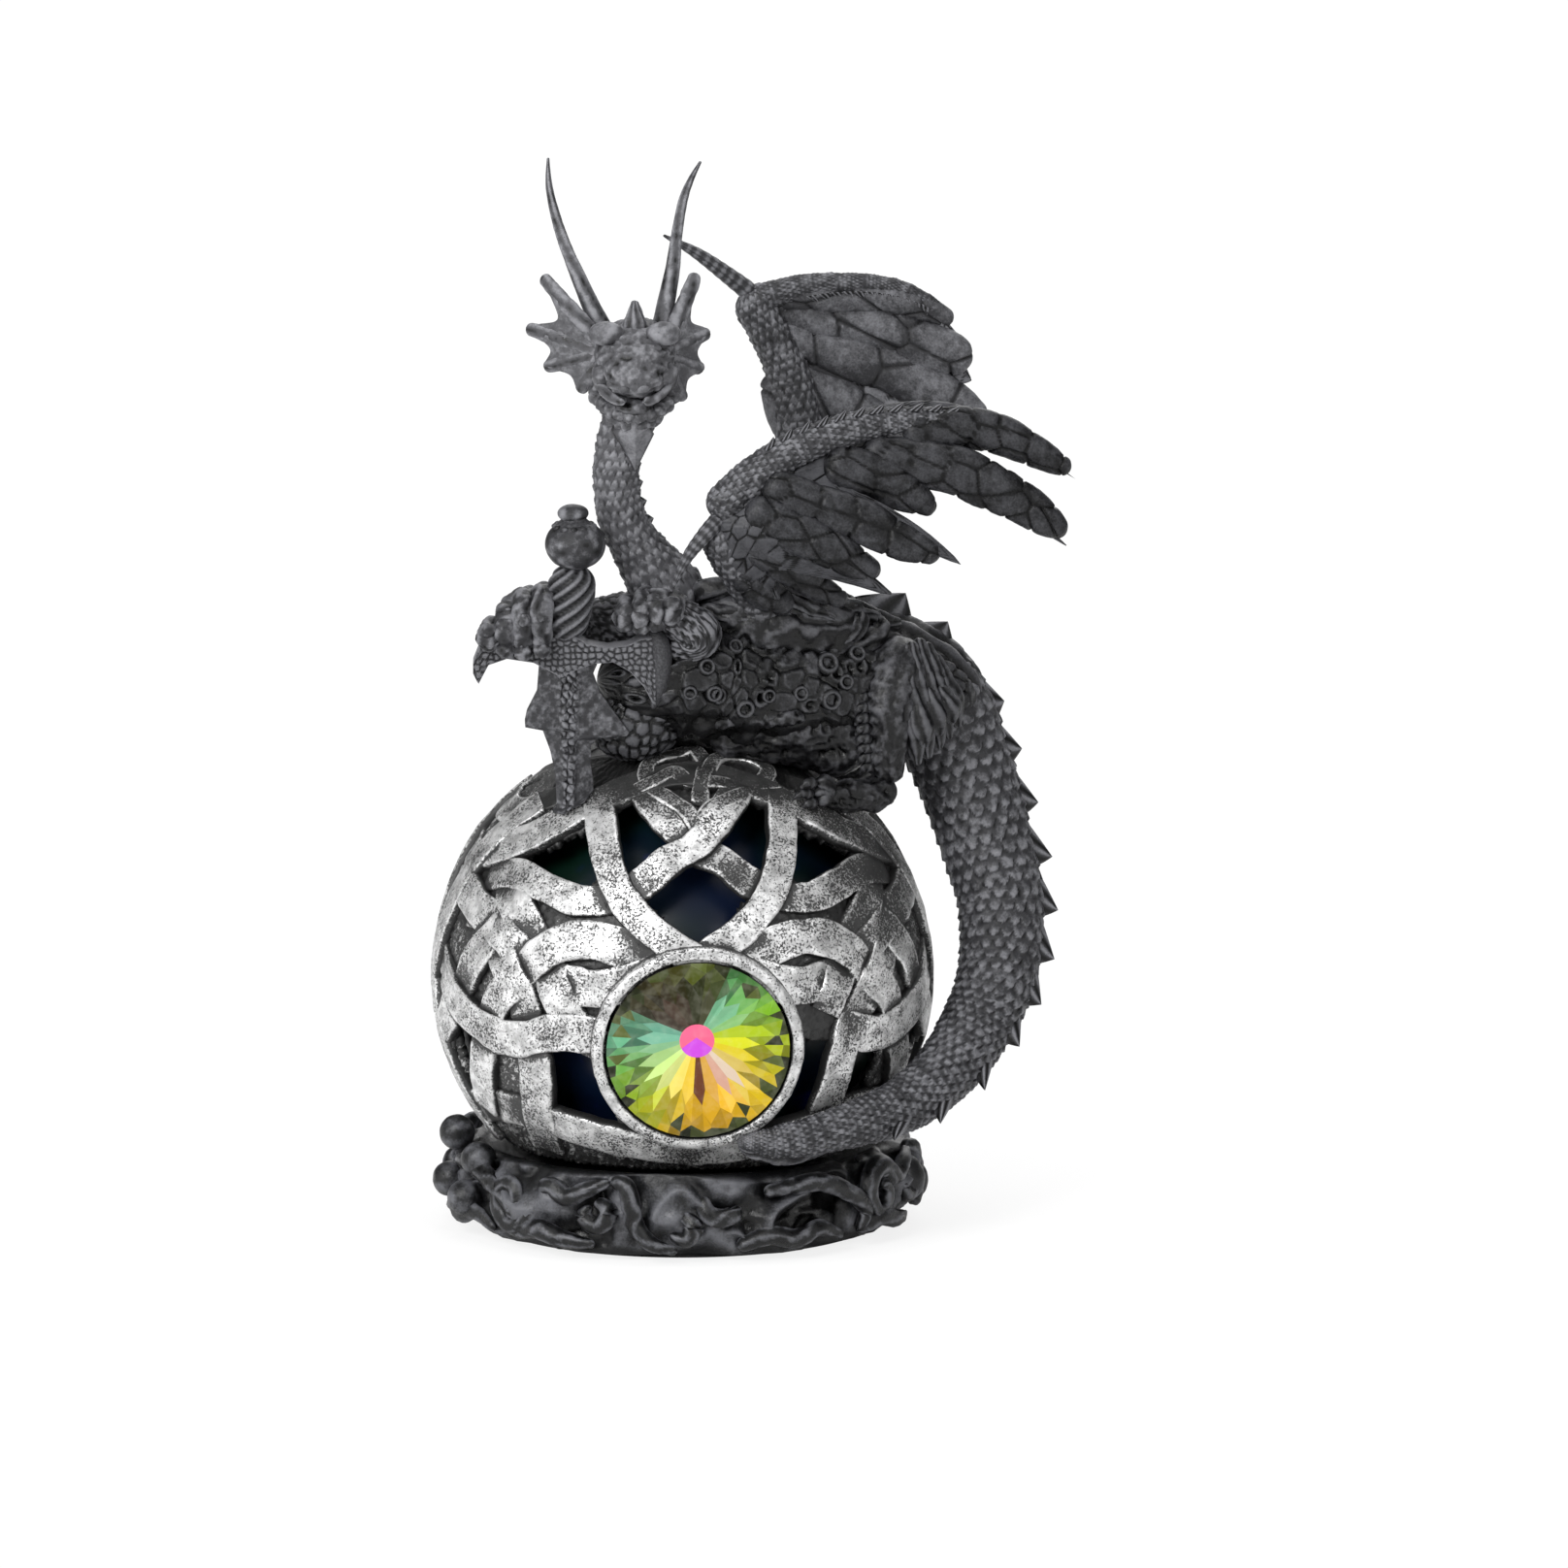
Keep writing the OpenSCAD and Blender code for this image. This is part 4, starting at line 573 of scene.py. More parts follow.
# Rows of a band: compass angle from the gem, height angle, lift, and the right side's lift if it differs
BANDS = [
    [[-42, 57, .5], [-33, 48, 1], [-27, 39, 1], [-21, 30, 1], [-14, 23, 1, .8], [-7, 18, 1, .4],
     [0, 14, 1, 0], [8, 12, .6, 0]],
    [[23, 59.5, .6], [11, 51, 1, .4], [1, 42.4, 1, 0], [-8, 38, .8, .3], [-14, 33, .4], [-21, 29, 0],
     [-31, 27, .8], [-42, 29, 1], [-54, 31, .8], [-68, 29, 0]],
    [[-4, 13, 0], [-13, 15, .2], [-24, 18, 1], [-33, 17, 1], [-40, 13, 1], [-45, 8, .2], [-51, 2, 1],
     [-56, -6, .2], [-60, -15, 1], [-66, -28, 1]],
    [[-9, 12, 0], [-16, 9, .6], [-24, 7, 1], [-33, 8, .4], [-42, 11, 0], [-51, 16, 1], [-60, 20, .4],
     [-70, 20, 0]],
    [[-58, 29, 0], [-51, 24, 1], [-44, 18, .2], [-38, 11, 0], [-34, 5, 1], [-29.5, -2.5, .4],
     [-23.5, -6.5, 0]],
    [[-43, 21, 0], [-53, 18, .6], [-61, 10, 1], [-68, 1, .2], [-80, -10, 1]],
    [[-80, 25, .6], [-68, 22, 1], [-57, 17, .2], [-49, 9, 1], [-44, 2, .4], [-42, -6, .2], [-41, -14, 1],
     [-43, -23, 1], [-47, -38, .4]],
    [[-22, -4, .2], [-34, -4, 1], [-46, -7, 1], [-56, -6, 1], [-68, -2, 1], [-80, 4, .2]],
    [[-76, -30, .2], [-62, -27, .4], [-48, -27, .2], [-34, -29, 1], [-17, -32.6, 1], [3, -35, .6]],
    [[-80, 32, .2], [-67, 36, .8], [-56, 41, .8], [-43, 50, .8], [-30, 58, .6], [-15, 63, .6], [4, 65, .6]],
    [[-66, 50, .6], [-76, 34, 1], [-84, 15, .8], [-91, -2, 1, .8], [-97, -20, .9], [-102, -40, .6]],
]
RIGHT_BAND = [[-80, 25, .6], [-68, 22, 1], [-57, 17, .2], [-50, 9, 1], [-45, 3, .4], [-40, -3, .2],
              [-37, -10, 1], [-36, -17, 1], [-35, -27, .6], [-35, -38, .4]]
# Routes that differ from BANDS on the front's right side and on the back
RIGHT_WEAVE = {4: BANDS[4][:5] + [[-31.5, 0, .1]], 6: RIGHT_BAND, 7: [[-38, -5, .1]] + BANDS[7][2:]}
BACK_WEAVE = {0: BANDS[0] + [[15, 9.6, .5, .2], [21, 7.6, .1]], 4: RIGHT_WEAVE[4]}
# Corners of the windows: compass angle and height angle. The first four are mirrored
WINDOWS = [
    [[-58, 35], [-36, 47], [-26, 40], [-30, 30], [-46, 31]],
    [[-33, 52], [-20, 60], [-4, 45], [-6, 38], [-20, 32], [-30, 38]],
    [[-40, -9], [-27, -6], [-20, -30], [-40, -28]],
    [[-76, -4], [-62.5, -4], [-62.5, -26], [-78, -26]],
]
MIDDLE_WINDOW = [[0, 41], [-16, 30], [0, 16], [16, 30]]
RIGHT_WINDOW = [[40, -11], [53, -11], [52, -24], [40, -28]]
TOP_PANEL = [[0, 42], [-22, 61], [22, 61]]
# Low bands that carry the weave over the seam, bands of the back alone, and the three-cornered knot
SEAM = [
    [[-74, 33, .2], [-90, 31, .4], [-106, 33, .2]],
    [[-74, 24, .4], [-90, 22, .2], [-106, 24, .4]],
    [[-72, 1, .3], [-82, 6, .5], [-90, 8, .2], [-98, 6, .5], [-108, 1, .3]],
    [[-76, -7, .4], [-84, -14, .4], [-90, -16, .2], [-96, -14, .4], [-104, -7, .4]],
    [[-66, -28, .3], [-78, -31, .4], [-90, -32, .2], [-102, -31, .4], [-114, -28, .3]],
    [[-50, 58, .2], [-66, 50.5, .9], [-78, 46, .4], [-90, 44.5, .9], [-102, 46, .4], [-114, 50.5, .9],
     [-130, 58, .2]],
    [[-60, 45, .2], [-76, 53, .2], [-88, 62, 1], [-104, 71, .4], [-140, 77, .4]],
    [[-120, 45, .2], [-104, 53, 1], [-92, 62, .2], [-76, 71, .4], [-40, 77, .4]],
]
BACK_BANDS = [
    [[-28, -4, .4], [-20, -2.4, .6], [-11, 0.6, 1], [0, 1.6, .6]],
    [[-34, 3, .3], [-24, -4, 1], [-12, -12, .2, 1], [0, -20, 1, .2], [10, -28, .2], [17, -35, .4]],
    [[-19, -34, .4], [-15, -25, 1], [-13, -13, 1, .2], [-15, -2, .8], [-20, 7, .2]],
]
TRIQUETRA = [
    [[1, 47, 1], [-3, 52, 1], [-11, 56, 1], [-19, 60, .4], [-24, 66, 1], [-20, 70, 1], [-8, 73.5, .4],
     [6, 74, 1], [11, 69, .4], [6, 62, 1], [2, 54, .2]],
    [[1, 47, .3], [7, 52, 1], [17, 55, 1], [30, 58, .4], [43, 62, 1], [44, 66, 1], [35, 70.5, .4],
     [18, 69, 1], [7, 62, .3], [3, 54, 1]],
    [[-24, 58, .6], [-17, 61, 1], [-8, 64.5, 1], [0, 61.5, .4], [12, 60.5, 1], [23, 59.6, .4], [42, 58, .8]],
]


def painted_shade(points):
    """Painted shade on the orb's top under the dragon, on its upper right and lightly at its foot: 1 is
    bright.
    """
    arm = points - ORB_MID
    el = np.degrees(np.arcsin(np.clip(arm[..., 2] / np.linalg.norm(arm, axis=-1), -1, 1)))
    el = el + 5 * lumps(points, 9.0, 2)
    side = soft_step(arm[..., 0], 14, 36) * soft_step(el, 4, 30)
    return (1 - 0.85 * soft_step(el, 46, 62)) * (0.7 + 0.3 * soft_step(el, -42, -32)) * (1 - 0.4 * side)


def course(route, turn, side, width, low=False):
    """The middle of a band as directions from the orb's middle, the radius of its face along it, its half
    width and its lift. A low band lies close to the ground layer."""
    rows = [[turn - side * row[0], row[1], row[2 if side < 0 else -1]] for row in route]
    p = along(rows, np.linspace(0, 1, 15 * (len(rows) - 1)))
    lift = np.clip(p[:, 2], 0, 1)
    face = GROUND_R + 0.3 + 0.55 * lift if low else ORB_R - 0.2 - 1.2 * (1 - lift)
    return on_orb(p[:, 0], p[:, 1], 1.0) - ORB_MID, face, width / 2, lift


def corner_black_and_shade(points, courses):
    """Black in the corner beside each band that stands higher than these points, partly black paint and
    partly painted shade: 1 is black.
    """
    arm = (points - ORB_MID).reshape(-1, 3)
    far = np.linalg.norm(arm, axis=1)
    way_out = arm / far[:, None]
    dark = np.zeros(len(arm))
    for mid, face, half, _ in courses:
        dot = way_out @ mid[::2].T
        j = np.argmax(dot, 1)
        gap = ORB_R * np.sqrt(np.clip(2 - 2 * dot[np.arange(len(j)), j], 0, None)) - half
        dark = np.maximum(dark, soft_step(face[::2][j] - far, 0.1, 0.5) * (1 - soft_step(gap, 0.2, 1.4)))
    return dark.reshape(points.shape[:-1])


def band(line, others, fine=False):
    """A flat rounded section carried along a line on the orb: its outer face rises and dips with the line's
    lift, its edges wander a little as carved ones do, and it is black where another band crosses over
    it, partly black paint and partly painted shade. Except on the knot, it also carries the painted shade
    of the orb's top, upper right and foot."""
    n, outer, half, lift = line
    u = unit(np.cross(n, unit(np.gradient(n, axis=0))))
    inner = GROUND_R - 1.2
    a = turns(24)
    x, y = power(np.cos(a), 0.5), power(np.sin(a), 0.42)
    edge = 1 + 0.08 * lumps(n * ORB_R, 4.0, 2)
    flat = x * half * edge[:, None] * (1 - 0.05 * (y > 0))
    waist = np.minimum(ORB_R - 1.0, outer - 0.4)[:, None]
    tall = waist + np.where(y > 0, (outer[:, None] - waist) * y, (waist - inner) * y)
    dish = 0.2 * (np.abs(x) ** 2 - 0.6) * (y > 0.5)
    grid = ORB_MID + n[:, None] * (tall + dish)[..., None] + u[:, None] * flat[..., None]
    rough = lumps(grid, 2.6, 3)
    grid = raised(grid, 0.12 * rough)
    far = np.linalg.norm(grid - ORB_MID, axis=-1)
    face = soft_step(far - outer[:, None], -0.7, -0.12)
    # Painted shade of the orb's top, upper right and foot
    bright = painted_shade(grid)
    lip = np.exp(-((np.abs(x) - 0.93) / 0.1) ** 2) * (y > 0)
    drift = lumps(grid, 10.0, 2)
    relief = face * (0.56 + 0.4 * lift[:, None] + 0.24 * drift + 0.35 * lip + 0.1 * rough) * bright
    if fine:
        relief = face * (0.3 + 0.25 * lift[:, None] + 0.7 * lip + 0.1 * rough)
    # Corner black beside higher bands: black paint and painted shade
    return grid, relief * (1 - 0.95 * corner_black_and_shade(grid, others))


def inside(az, el, corners):
    """Signed distance in degrees from a window's edge, positive inside: the least distance to its sides,
    with the sign of a winding test."""
    c = np.asarray(corners, float)
    k = np.cos(np.radians(el))
    far, odd = np.full(az.shape, 99.0), np.zeros(az.shape, bool)
    for p, q in zip(c, np.roll(c, -1, 0)):
        ex, ey = q - p
        wx, wy = az - p[0], el - p[1]
        t = np.clip((wx * ex * k * k + wy * ey) / ((ex * k) ** 2 + ey ** 2), 0, 1)
        far = np.minimum(far, np.hypot((wx - ex * t) * k, wy - ey * t))
        odd ^= ((p[1] > el) != (q[1] > el)) & (wx < ex * wy / (ey if ey else 1e-9))
    return np.where(odd, far, -far)


def opening(az, el, front):
    """Greatest signed distance over all windows of one half of the orb."""
    az = az - GEM_TURN if front else np.mod(az - GEM_TURN, 360.0) - 180.0
    depth = np.full(az.shape, -99.0)
    for corners in WINDOWS:
        for side in (1, -1):
            depth = np.maximum(depth, inside(az * side, el, corners))
    depth = np.maximum(depth, inside(az, el, MIDDLE_WINDOW))
    if front:
        depth = np.maximum(depth, inside(az, el, RIGHT_WINDOW))
    return np.minimum(depth, -inside(az, el, TOP_PANEL))


# How far outside and inside a window's edge points slide onto it, first and then once more, and how far a
# corner may still be inside, in degrees
SNAPS = ((-0.22, 0.52), (-0.15, 0.15))
EDGE_SLACK = 0.12
GROUND_WALL = 1.6
GROUND_LOW, GROUND_HIGH = -42.4, 88.0
GROUND_COLS, GROUND_ROWS = 241, 169
PEBBLE = 1.9
# Compass and height angle from the gem of a gap that is left dark
DARK_GAP = (31.0, -12.0)


def slid_to_edges(az, el, front):
    """Points close to a window's edge moved onto it, down the slope of the signed distance, in two goes."""
    step = 0.05
    for least, most in SNAPS:
        depth = opening(az, el, front)
        gx = (opening(az + step, el, front) - depth) / step
        gy = (opening(az, el + step, front) - depth) / step
        flat = np.cos(np.radians(el)) ** 2
        slope = np.maximum(gx ** 2 / flat + gy ** 2, 1e-6)
        snap = np.where((depth > least) & (depth < most), depth, 0.0) / slope
        az, el = az - snap * gx / flat, el - snap * gy
    return az, el


def ground_faces(az, el, grid, front):
    """Faces of the ground layer outside the windows, the gem's seat and the base."""
    n, k = az.shape
    place = np.arange(n * k).reshape(n, k)
    quads = patch(place[:-1, :-1], place[:-1, 1:], place[1:, 1:], place[1:, :-1])
    mid = grid.reshape(-1, 3)[quads].mean(1)
    hole = opening(az.reshape(-1)[quads].mean(1), el.reshape(-1)[quads].mean(1), front) > 0
    hole |= opening(az, el, front).reshape(-1)[quads].max(1) > EDGE_SLACK
    axis = on_orb(GEM_TURN, -GEM_DROP, 1.0) - ORB_MID
    arm = mid - ORB_MID
    off = np.linalg.norm(arm - (arm @ axis)[:, None] * axis, axis=1)
    hole |= (off < RING_IN) & (arm @ axis > 0)
    hole |= mid[:, 2] < ORB_FOOT
    return quads[~hole]


def ground_layer(name, front, node, courses):
    """A ball-shaped layer in compass and height angles, with pebbles in the places between the bands. On the
    front it is left dark in one gap to the right of the gem."""
    start = -90.0 if front else 90.0
    az, el = np.meshgrid(np.linspace(start, start + 180.0, GROUND_COLS),
                         np.linspace(GROUND_LOW, GROUND_HIGH, GROUND_ROWS))
    az, el = slid_to_edges(az, el, front)
    _, edge, tag = cells((az - start - 90.0) * np.cos(np.radians(el)) / PEBBLE, el / PEBBLE, None, 4.0)
    pebble = soft_step(edge, 0.02, 0.35)
    grid = on_orb(az, el, GROUND_R - 0.35 + 0.4 * pebble)
    # Painted light: the pebbles at the orb's foot, which the orb itself shades, are painted brighter with
    # less corner black
    foot = soft_step(el, -30, -38)
    # Painted shade of the orb's top, upper right and foot
    relief = ((0.12 + (0.68 + 0.25 * foot) * pebble * (0.4 + 0.6 * tag)) * painted_shade(grid)
              # Corner black beside the bands: black paint and painted shade
              * (1 - (0.9 - 0.5 * foot) * corner_black_and_shade(grid, courses)))
    if front:
        off = ((az - GEM_TURN - DARK_GAP[0]) / 6) ** 2 + ((el - DARK_GAP[1]) / 14) ** 4
        relief = relief * (1 - np.exp(-off))
    clay = Clay()
    clay.take(grid, relief)
    clay.quads.append(ground_faces(az, el, grid, front))
    piece = clay.cast(name, SILVER, "antique_silver", node)
    wall = piece.modifiers.new("wall", "SOLIDIFY")
    wall.thickness = GROUND_WALL * MM
    wall.offset = -1.0


def gem_frame():
    """Right, up and outward directions at the gem."""
    out = on_orb(GEM_TURN, -GEM_DROP, 1.0) - ORB_MID
    right = unit(np.cross([0.0, 0.0, 1.0], out))
    return right, unit(np.cross(out, right)), out


def orb():
    """Both halves: their ground layer, the bands woven over it and the three-cornered knot."""
    for name, front, turn in (("front", True, GEM_TURN), ("back", False, GEM_TURN + 180.0)):
        left, right = ({}, RIGHT_WEAVE) if front else (BACK_WEAVE, BACK_WEAVE)
        woven = []
        for i, route in enumerate(BANDS):
            wide = NARROW_BAND if i < 2 else WIDE_BAND
            woven.append(course(left.get(i, route), turn, -1, wide))
            woven.append(course(right.get(i, route), turn, 1, wide))
        for route in SEAM if front else BACK_BANDS:
            woven += [course(route, turn, side, NARROW_BAND, True) for side in (-1, 1)]
        knot = [course(route, turn, -1, KNOT_BAND) for route in TRIQUETRA]
        ground_layer("orb_ground_" + name, front, "orb_shell_" + name, woven)
        clay = Clay()
        for i, line in enumerate(woven):
            clay.lay(*band(line, woven[:i] + woven[i + 1:]))
        for i, line in enumerate(knot):
            clay.lay(*band(line, knot[:i] + knot[i + 1:], True))
        clay.cast("orb_bands_" + name, SILVER, "antique_silver")


def gem_ring():
    """The ring round the gem: a section with rounded corners carried round the gem's axis."""
    right, up, out = gem_frame()
    a = turns(220)[None, :, None]
    b = turns(26)[:, None, None]
    bx, by = power(np.cos(b), 0.6), power(np.sin(b), 0.5)
    r = RING_MID + 1.15 * bx
    d = RING_D + 1.75 * by - 0.45 * bx
    grid = ORB_MID + out * d + (right * np.cos(a) + up * np.sin(a)) * r
    rough = lumps(grid, 2.2, 3)
    grid = raised(grid, 0.12 * rough)
    bright = 0.2 + 0.75 * soft_step(by[..., 0] + 0 * a[..., 0], 0.2, 0.8) + 0.12 * rough
    clay = Clay()
    clay.torus(grid[:, ::-1], bright)
    clay.cast("gem_ring", SILVER, "antique_silver")


# Foils of the gem, colours from 0 to 255: angle clockwise from the top, inner colour, colour farther out
FOILS = np.array([[-180, 232, 182, 36, 206, 156, 14], [-165, 236, 200, 60, 212, 168, 14],
                  [-150, 238, 234, 140, 176, 172, 22], [-125, 200, 226, 128, 126, 160, 34],
                  [-105, 160, 208, 134, 96, 150, 60], [-85, 124, 186, 156, 92, 158, 120],
                  [-66, 108, 170, 144, 84, 138, 104], [-58, 58, 54, 44, 52, 50, 32],
                  [-30, 62, 46, 38, 60, 54, 26], [0, 42, 44, 24, 70, 78, 26], [16, 78, 78, 60, 66, 72, 36],
                  [24, 112, 178, 136, 74, 132, 76], [45, 128, 190, 144, 96, 160, 60],
                  [60, 146, 200, 104, 120, 176, 40], [75, 196, 216, 36, 156, 190, 24],
                  [95, 234, 216, 34, 188, 190, 20], [115, 246, 206, 50, 206, 180, 20],
                  # The near-white foil at 130 is a painted glint
                  [130, 252, 236, 208, 216, 180, 24], [145, 242, 186, 168, 212, 166, 16],
                  [160, 236, 178, 50, 208, 158, 14], [180, 232, 182, 36, 206, 156, 14]])
GEM_SIDES = 48


def facet_colour(turn, ring, draw):
    """Foil colours by place. turn is the angle clockwise from the top, from -180 to 180: the long inner
    facets go from brown and olive at the top over sea green and lime to gold below, with a white one at
    the lower right, which is a painted glint, a pink one beside it and a brown one under the heart. Farther
    out the colours deepen, and the last ring mixes olive and bright kites."""
    stops = FOILS[:, 0]
    tints, low = FOILS[:, 1:4] / 255.0, FOILS[:, 4:] / 255.0
    at = np.clip(turn + 9 * (draw - 0.5), -180, 180)
    inner = np.stack([np.interp(at, stops, tints[:, k]) for k in range(3)], -1)
    inner = np.where(((np.abs(turn) > 174) & (ring == 1))[..., None], np.array([104, 58, 36]) / 255.0, inner)
    deep = np.stack([np.interp(at, stops, low[:, k]) for k in range(3)], -1)
    play = dice(draw * 91, ring + 2.0)[..., None]
    olive = np.array([70, 78, 38]) / 255.0 * (0.5 + 0.7 * dice(draw * 57, ring + 4.0)[..., None])
    far = np.where((dice(draw * 23, ring + 7.0) > 0.5)[..., None], deep, olive)
    lower = 0.12 * (np.abs(turn) > 120)[..., None]
    second = (0.3 * inner + 0.7 * deep) * (0.6 + lower + 0.4 * play)
    colour = np.where((ring == 1)[..., None], inner * (0.82 + 0.22 * play), second)
    third = np.where(play > 0.35, deep * (0.66 + 0.4 * play), olive)
    colour = np.where((ring == 3)[..., None], third, colour)
    colour = np.where((ring == 4)[..., None], far * (0.6 + 0.4 * play), colour)
    colour = np.where((ring > 4)[..., None], [.1, .07, .05], colour)
    return 0.82 * np.clip(colour, 0, 1) ** 2.2


def gem_places():
    """Rings of points from the heart, a little above the middle, out to the edge and in to the tip of the
    back cone. Inner rings step in and out from facet to facet."""
    right, up, out = gem_frame()
    i = np.arange(GEM_SIDES)
    turn = TAU * (i + 0.5 + 0.45 * (dice(i, 7.0) - 0.5)) / GEM_SIDES
    even = np.where(i % 2 == 0, 1.0, -1.0)[None]
    shares = np.array([0.0, 0.19, 0.6, 0.8, 0.92, 1.0])
    k = np.arange(len(shares))[:, None]
    inner = (k > 1) & (k < 5)
    sway = np.array([0, 0, 1.4, -1, .6, 0])[:, None]
    step = (0.06 * (dice(i[None], k, 2.0) - 0.5) + 0.06 * even * sway) * inner
    share = np.clip(shares[:, None] + step, 0, 1)
    z = 1.0 + 2.75 * (1 - share ** 1.4) + 0.4 * (dice(i[None], k, 5.0) - 0.5) * inner
    spoke = right * np.cos(turn)[:, None] + up * np.sin(turn)[:, None]
    face = (ORB_MID + out * (SEAT_D + z)[..., None] + spoke * (share * GEM_R * 0.99)[..., None]
            + (up * 3.5 - right * 0.5) * ((1 - share) ** 1.2)[..., None])
    low = ORB_MID + out * SEAT_D + spoke * GEM_R * 0.99
    tip = np.broadcast_to(ORB_MID + out * (SEAT_D - 4.4), low.shape)
    return np.concatenate([face, low[None], tip[None]])


def gem_colours(rings):
    """The colour of each facet, ring by ring: a rose heart, long facets in pairs, and the rest one by one."""
    i = np.arange(GEM_SIDES)
    ring = np.repeat(np.arange(rings), GEM_SIDES).reshape(rings, GEM_SIDES)
    pair = (i + 1) // 2 % (GEM_SIDES // 2)
    spot = np.where(ring == 1, 2 * pair + 0.5, i + 1.0)
    turn = np.mod(90.0 - 360.0 * spot / GEM_SIDES + 180.0, 360.0) - 180.0
    draw = dice(np.where(ring == 1, pair, i), np.where(ring < 3, 1, ring), 3.0)
    rose = np.where((np.abs(turn) < 118)[..., None], [.7, .1, .2], [.46, .05, .55])
    return np.where((ring == 0)[..., None], rose, facet_colour(turn, ring, draw))


def gem():
    """Flat facets round a heart that sits a little above the middle: long ones from the heart outward, with
    kites between their outer ends, then the edge band and the back cone."""
    rings = gem_places()
    clay = Clay()
    here = clay.number(rings, 1.0)
    after = np.roll(here, -1, 1)
    clay.quads.append(patch(here[:-1], here[1:], after[1:], after[:-1]))
    mesh = clay.cast("gem_facets", gem_glass(), "gem_glass", "gem").data
    colour = gem_colours(len(rings) - 1).reshape(-1, 3)
    tint = mesh.attributes.new("facet", "FLOAT_COLOR", "FACE")
    tint.data.foreach_set("color", np.c_[colour, np.ones(len(colour))].astype(np.float32).ravel())
    mesh.polygons.foreach_set("use_smooth", np.zeros(len(mesh.polygons), bool))


# Base

# Five levels of the wall: height and share of the radius
BASE_Z = [1.0, 4.0, 8.6, 12.6, 15.6]
BASE_BULGE = [0.945, 0.985, 1.01, 0.99, 0.97]
# Smooth pearls: compass angle, distance out and height; rough pearls: compass angle and half width
PEARLS = ((-80, .4, 18), (-62, .6, 15.4), (-78, 2, 9.4), (-66, 2, 7.6))
ROUGH_PEARLS = ((78, 3.6), (92, 3.4), (112, 3.2), (160, 3.2), (190, 3.4), (248, 3.0))
# Scrolls: compass angle and the way they wind
SCROLLS = ((-47, -1), (58, 1), (135, 1), (220, 1))
# Outline of the felt ring: radius and height
FELT = [[28.2, .5], [28.25, .15], [28.5, 0], [32, 0], [35, 0], [37.6, 0], [37.95, .12], [38, .5], [37.9, .9],
        [37.5, 1.0], [35, 1.0], [32, 1.0], [28.5, 1.0], [28.25, .9]]


def skirt_radius(turn, level):
    """Radius of the base's wall: a bulged outline with two waves round it that shift with height."""
    bulge = np.interp(level, np.arange(5), BASE_BULGE)
    return (BASE_R * bulge + 1.1 * np.sin(5 * turn + np.radians(40) * level)
            + 0.8 * np.sin(9 * turn - np.radians(60) * level))


def surf(p):
    """Carved surf: crests of a noise that is itself pushed sideways by a slower noise."""
    push = lumps(p + 40.0, 10.0, 2)[..., None]
    q = p * [0.62, 0.62, 0.9] + push * [5.0, 4.0, 5.0]
    return 1.0 - 2.0 * np.abs(lumps(q, 8.0, 2)), lumps(p, 1.6, 2)


# Inside of the base from the seat of the orb down to its foot: radius and height
BASE_SEAT = [[38.6, 16.4], [37.2, 15.4], [36.6, 15.0], [27.0, 15.0], [26.6, 17.4], [26.4, 17.5], [6.6, 17.5],
             [6.5, 17.4], [6.5, 14.7], [6.6, 14.6], [21.9, 14.6], [22.0, 14.5], [22.0, 3.0], [22.2, 2.9],
             [27.6, 2.9], [27.7, 2.8], [27.7, 1.1], [27.9, 1.0]]


def base():
    """The base as one closed outline turned round: its wall waves and carries carved surf, and its inside
    is the seat of the orb, the deck, the lamp hole and the bore of the light unit."""
    turn = turns(540)[:, None]
    level = np.linspace(0, 4, 64)[None]
    wave = 0.9 * np.sin(3 * turn + 0.7) + 0.7 * np.sin(7 * turn)
    z = np.interp(level, np.arange(5), BASE_Z) + soft_step(level, 2.5, 4) * wave
    r = skirt_radius(turn, level)
    wall = np.stack([r * np.cos(turn), r * np.sin(turn), z + 0 * r], -1)
    crest, fine = surf(wall)
    hold = 0.4 + 0.6 * soft_step(level, 0.0, 0.7)
    height = (2.1 * (crest - 0.35) + 0.15 * fine) * hold
    wall = wall + np.stack([np.cos(turn), np.sin(turn), 0 * turn], -1) * height[..., None]
    seat = np.array(BASE_SEAT)
    inner = np.stack([seat[:, 0] * np.cos(turn), seat[:, 0] * np.sin(turn), seat[:, 1] + 0 * turn], -1)
    grid = np.concatenate([wall, inner], 1)
    relief = np.concatenate([0.26 + 0.62 * crest * hold + 0.12 * fine, np.full(inner.shape[:2], 0.1)], 1)
    clay = Clay()
    clay.torus(grid.transpose(1, 0, 2), relief.T)
    clay.cast("base_carving", BASE_RESIN, "black_resin", "base")


def on_base(az, z, out):
    """A place on the base's wall at a compass angle, a height and a distance out from its radius."""
    a = np.radians(np.asarray(az, float))
    r = BASE_R + np.asarray(out, float)
    return np.stack([r * np.sin(a), -r * np.cos(a), np.asarray(z, float)], -1)


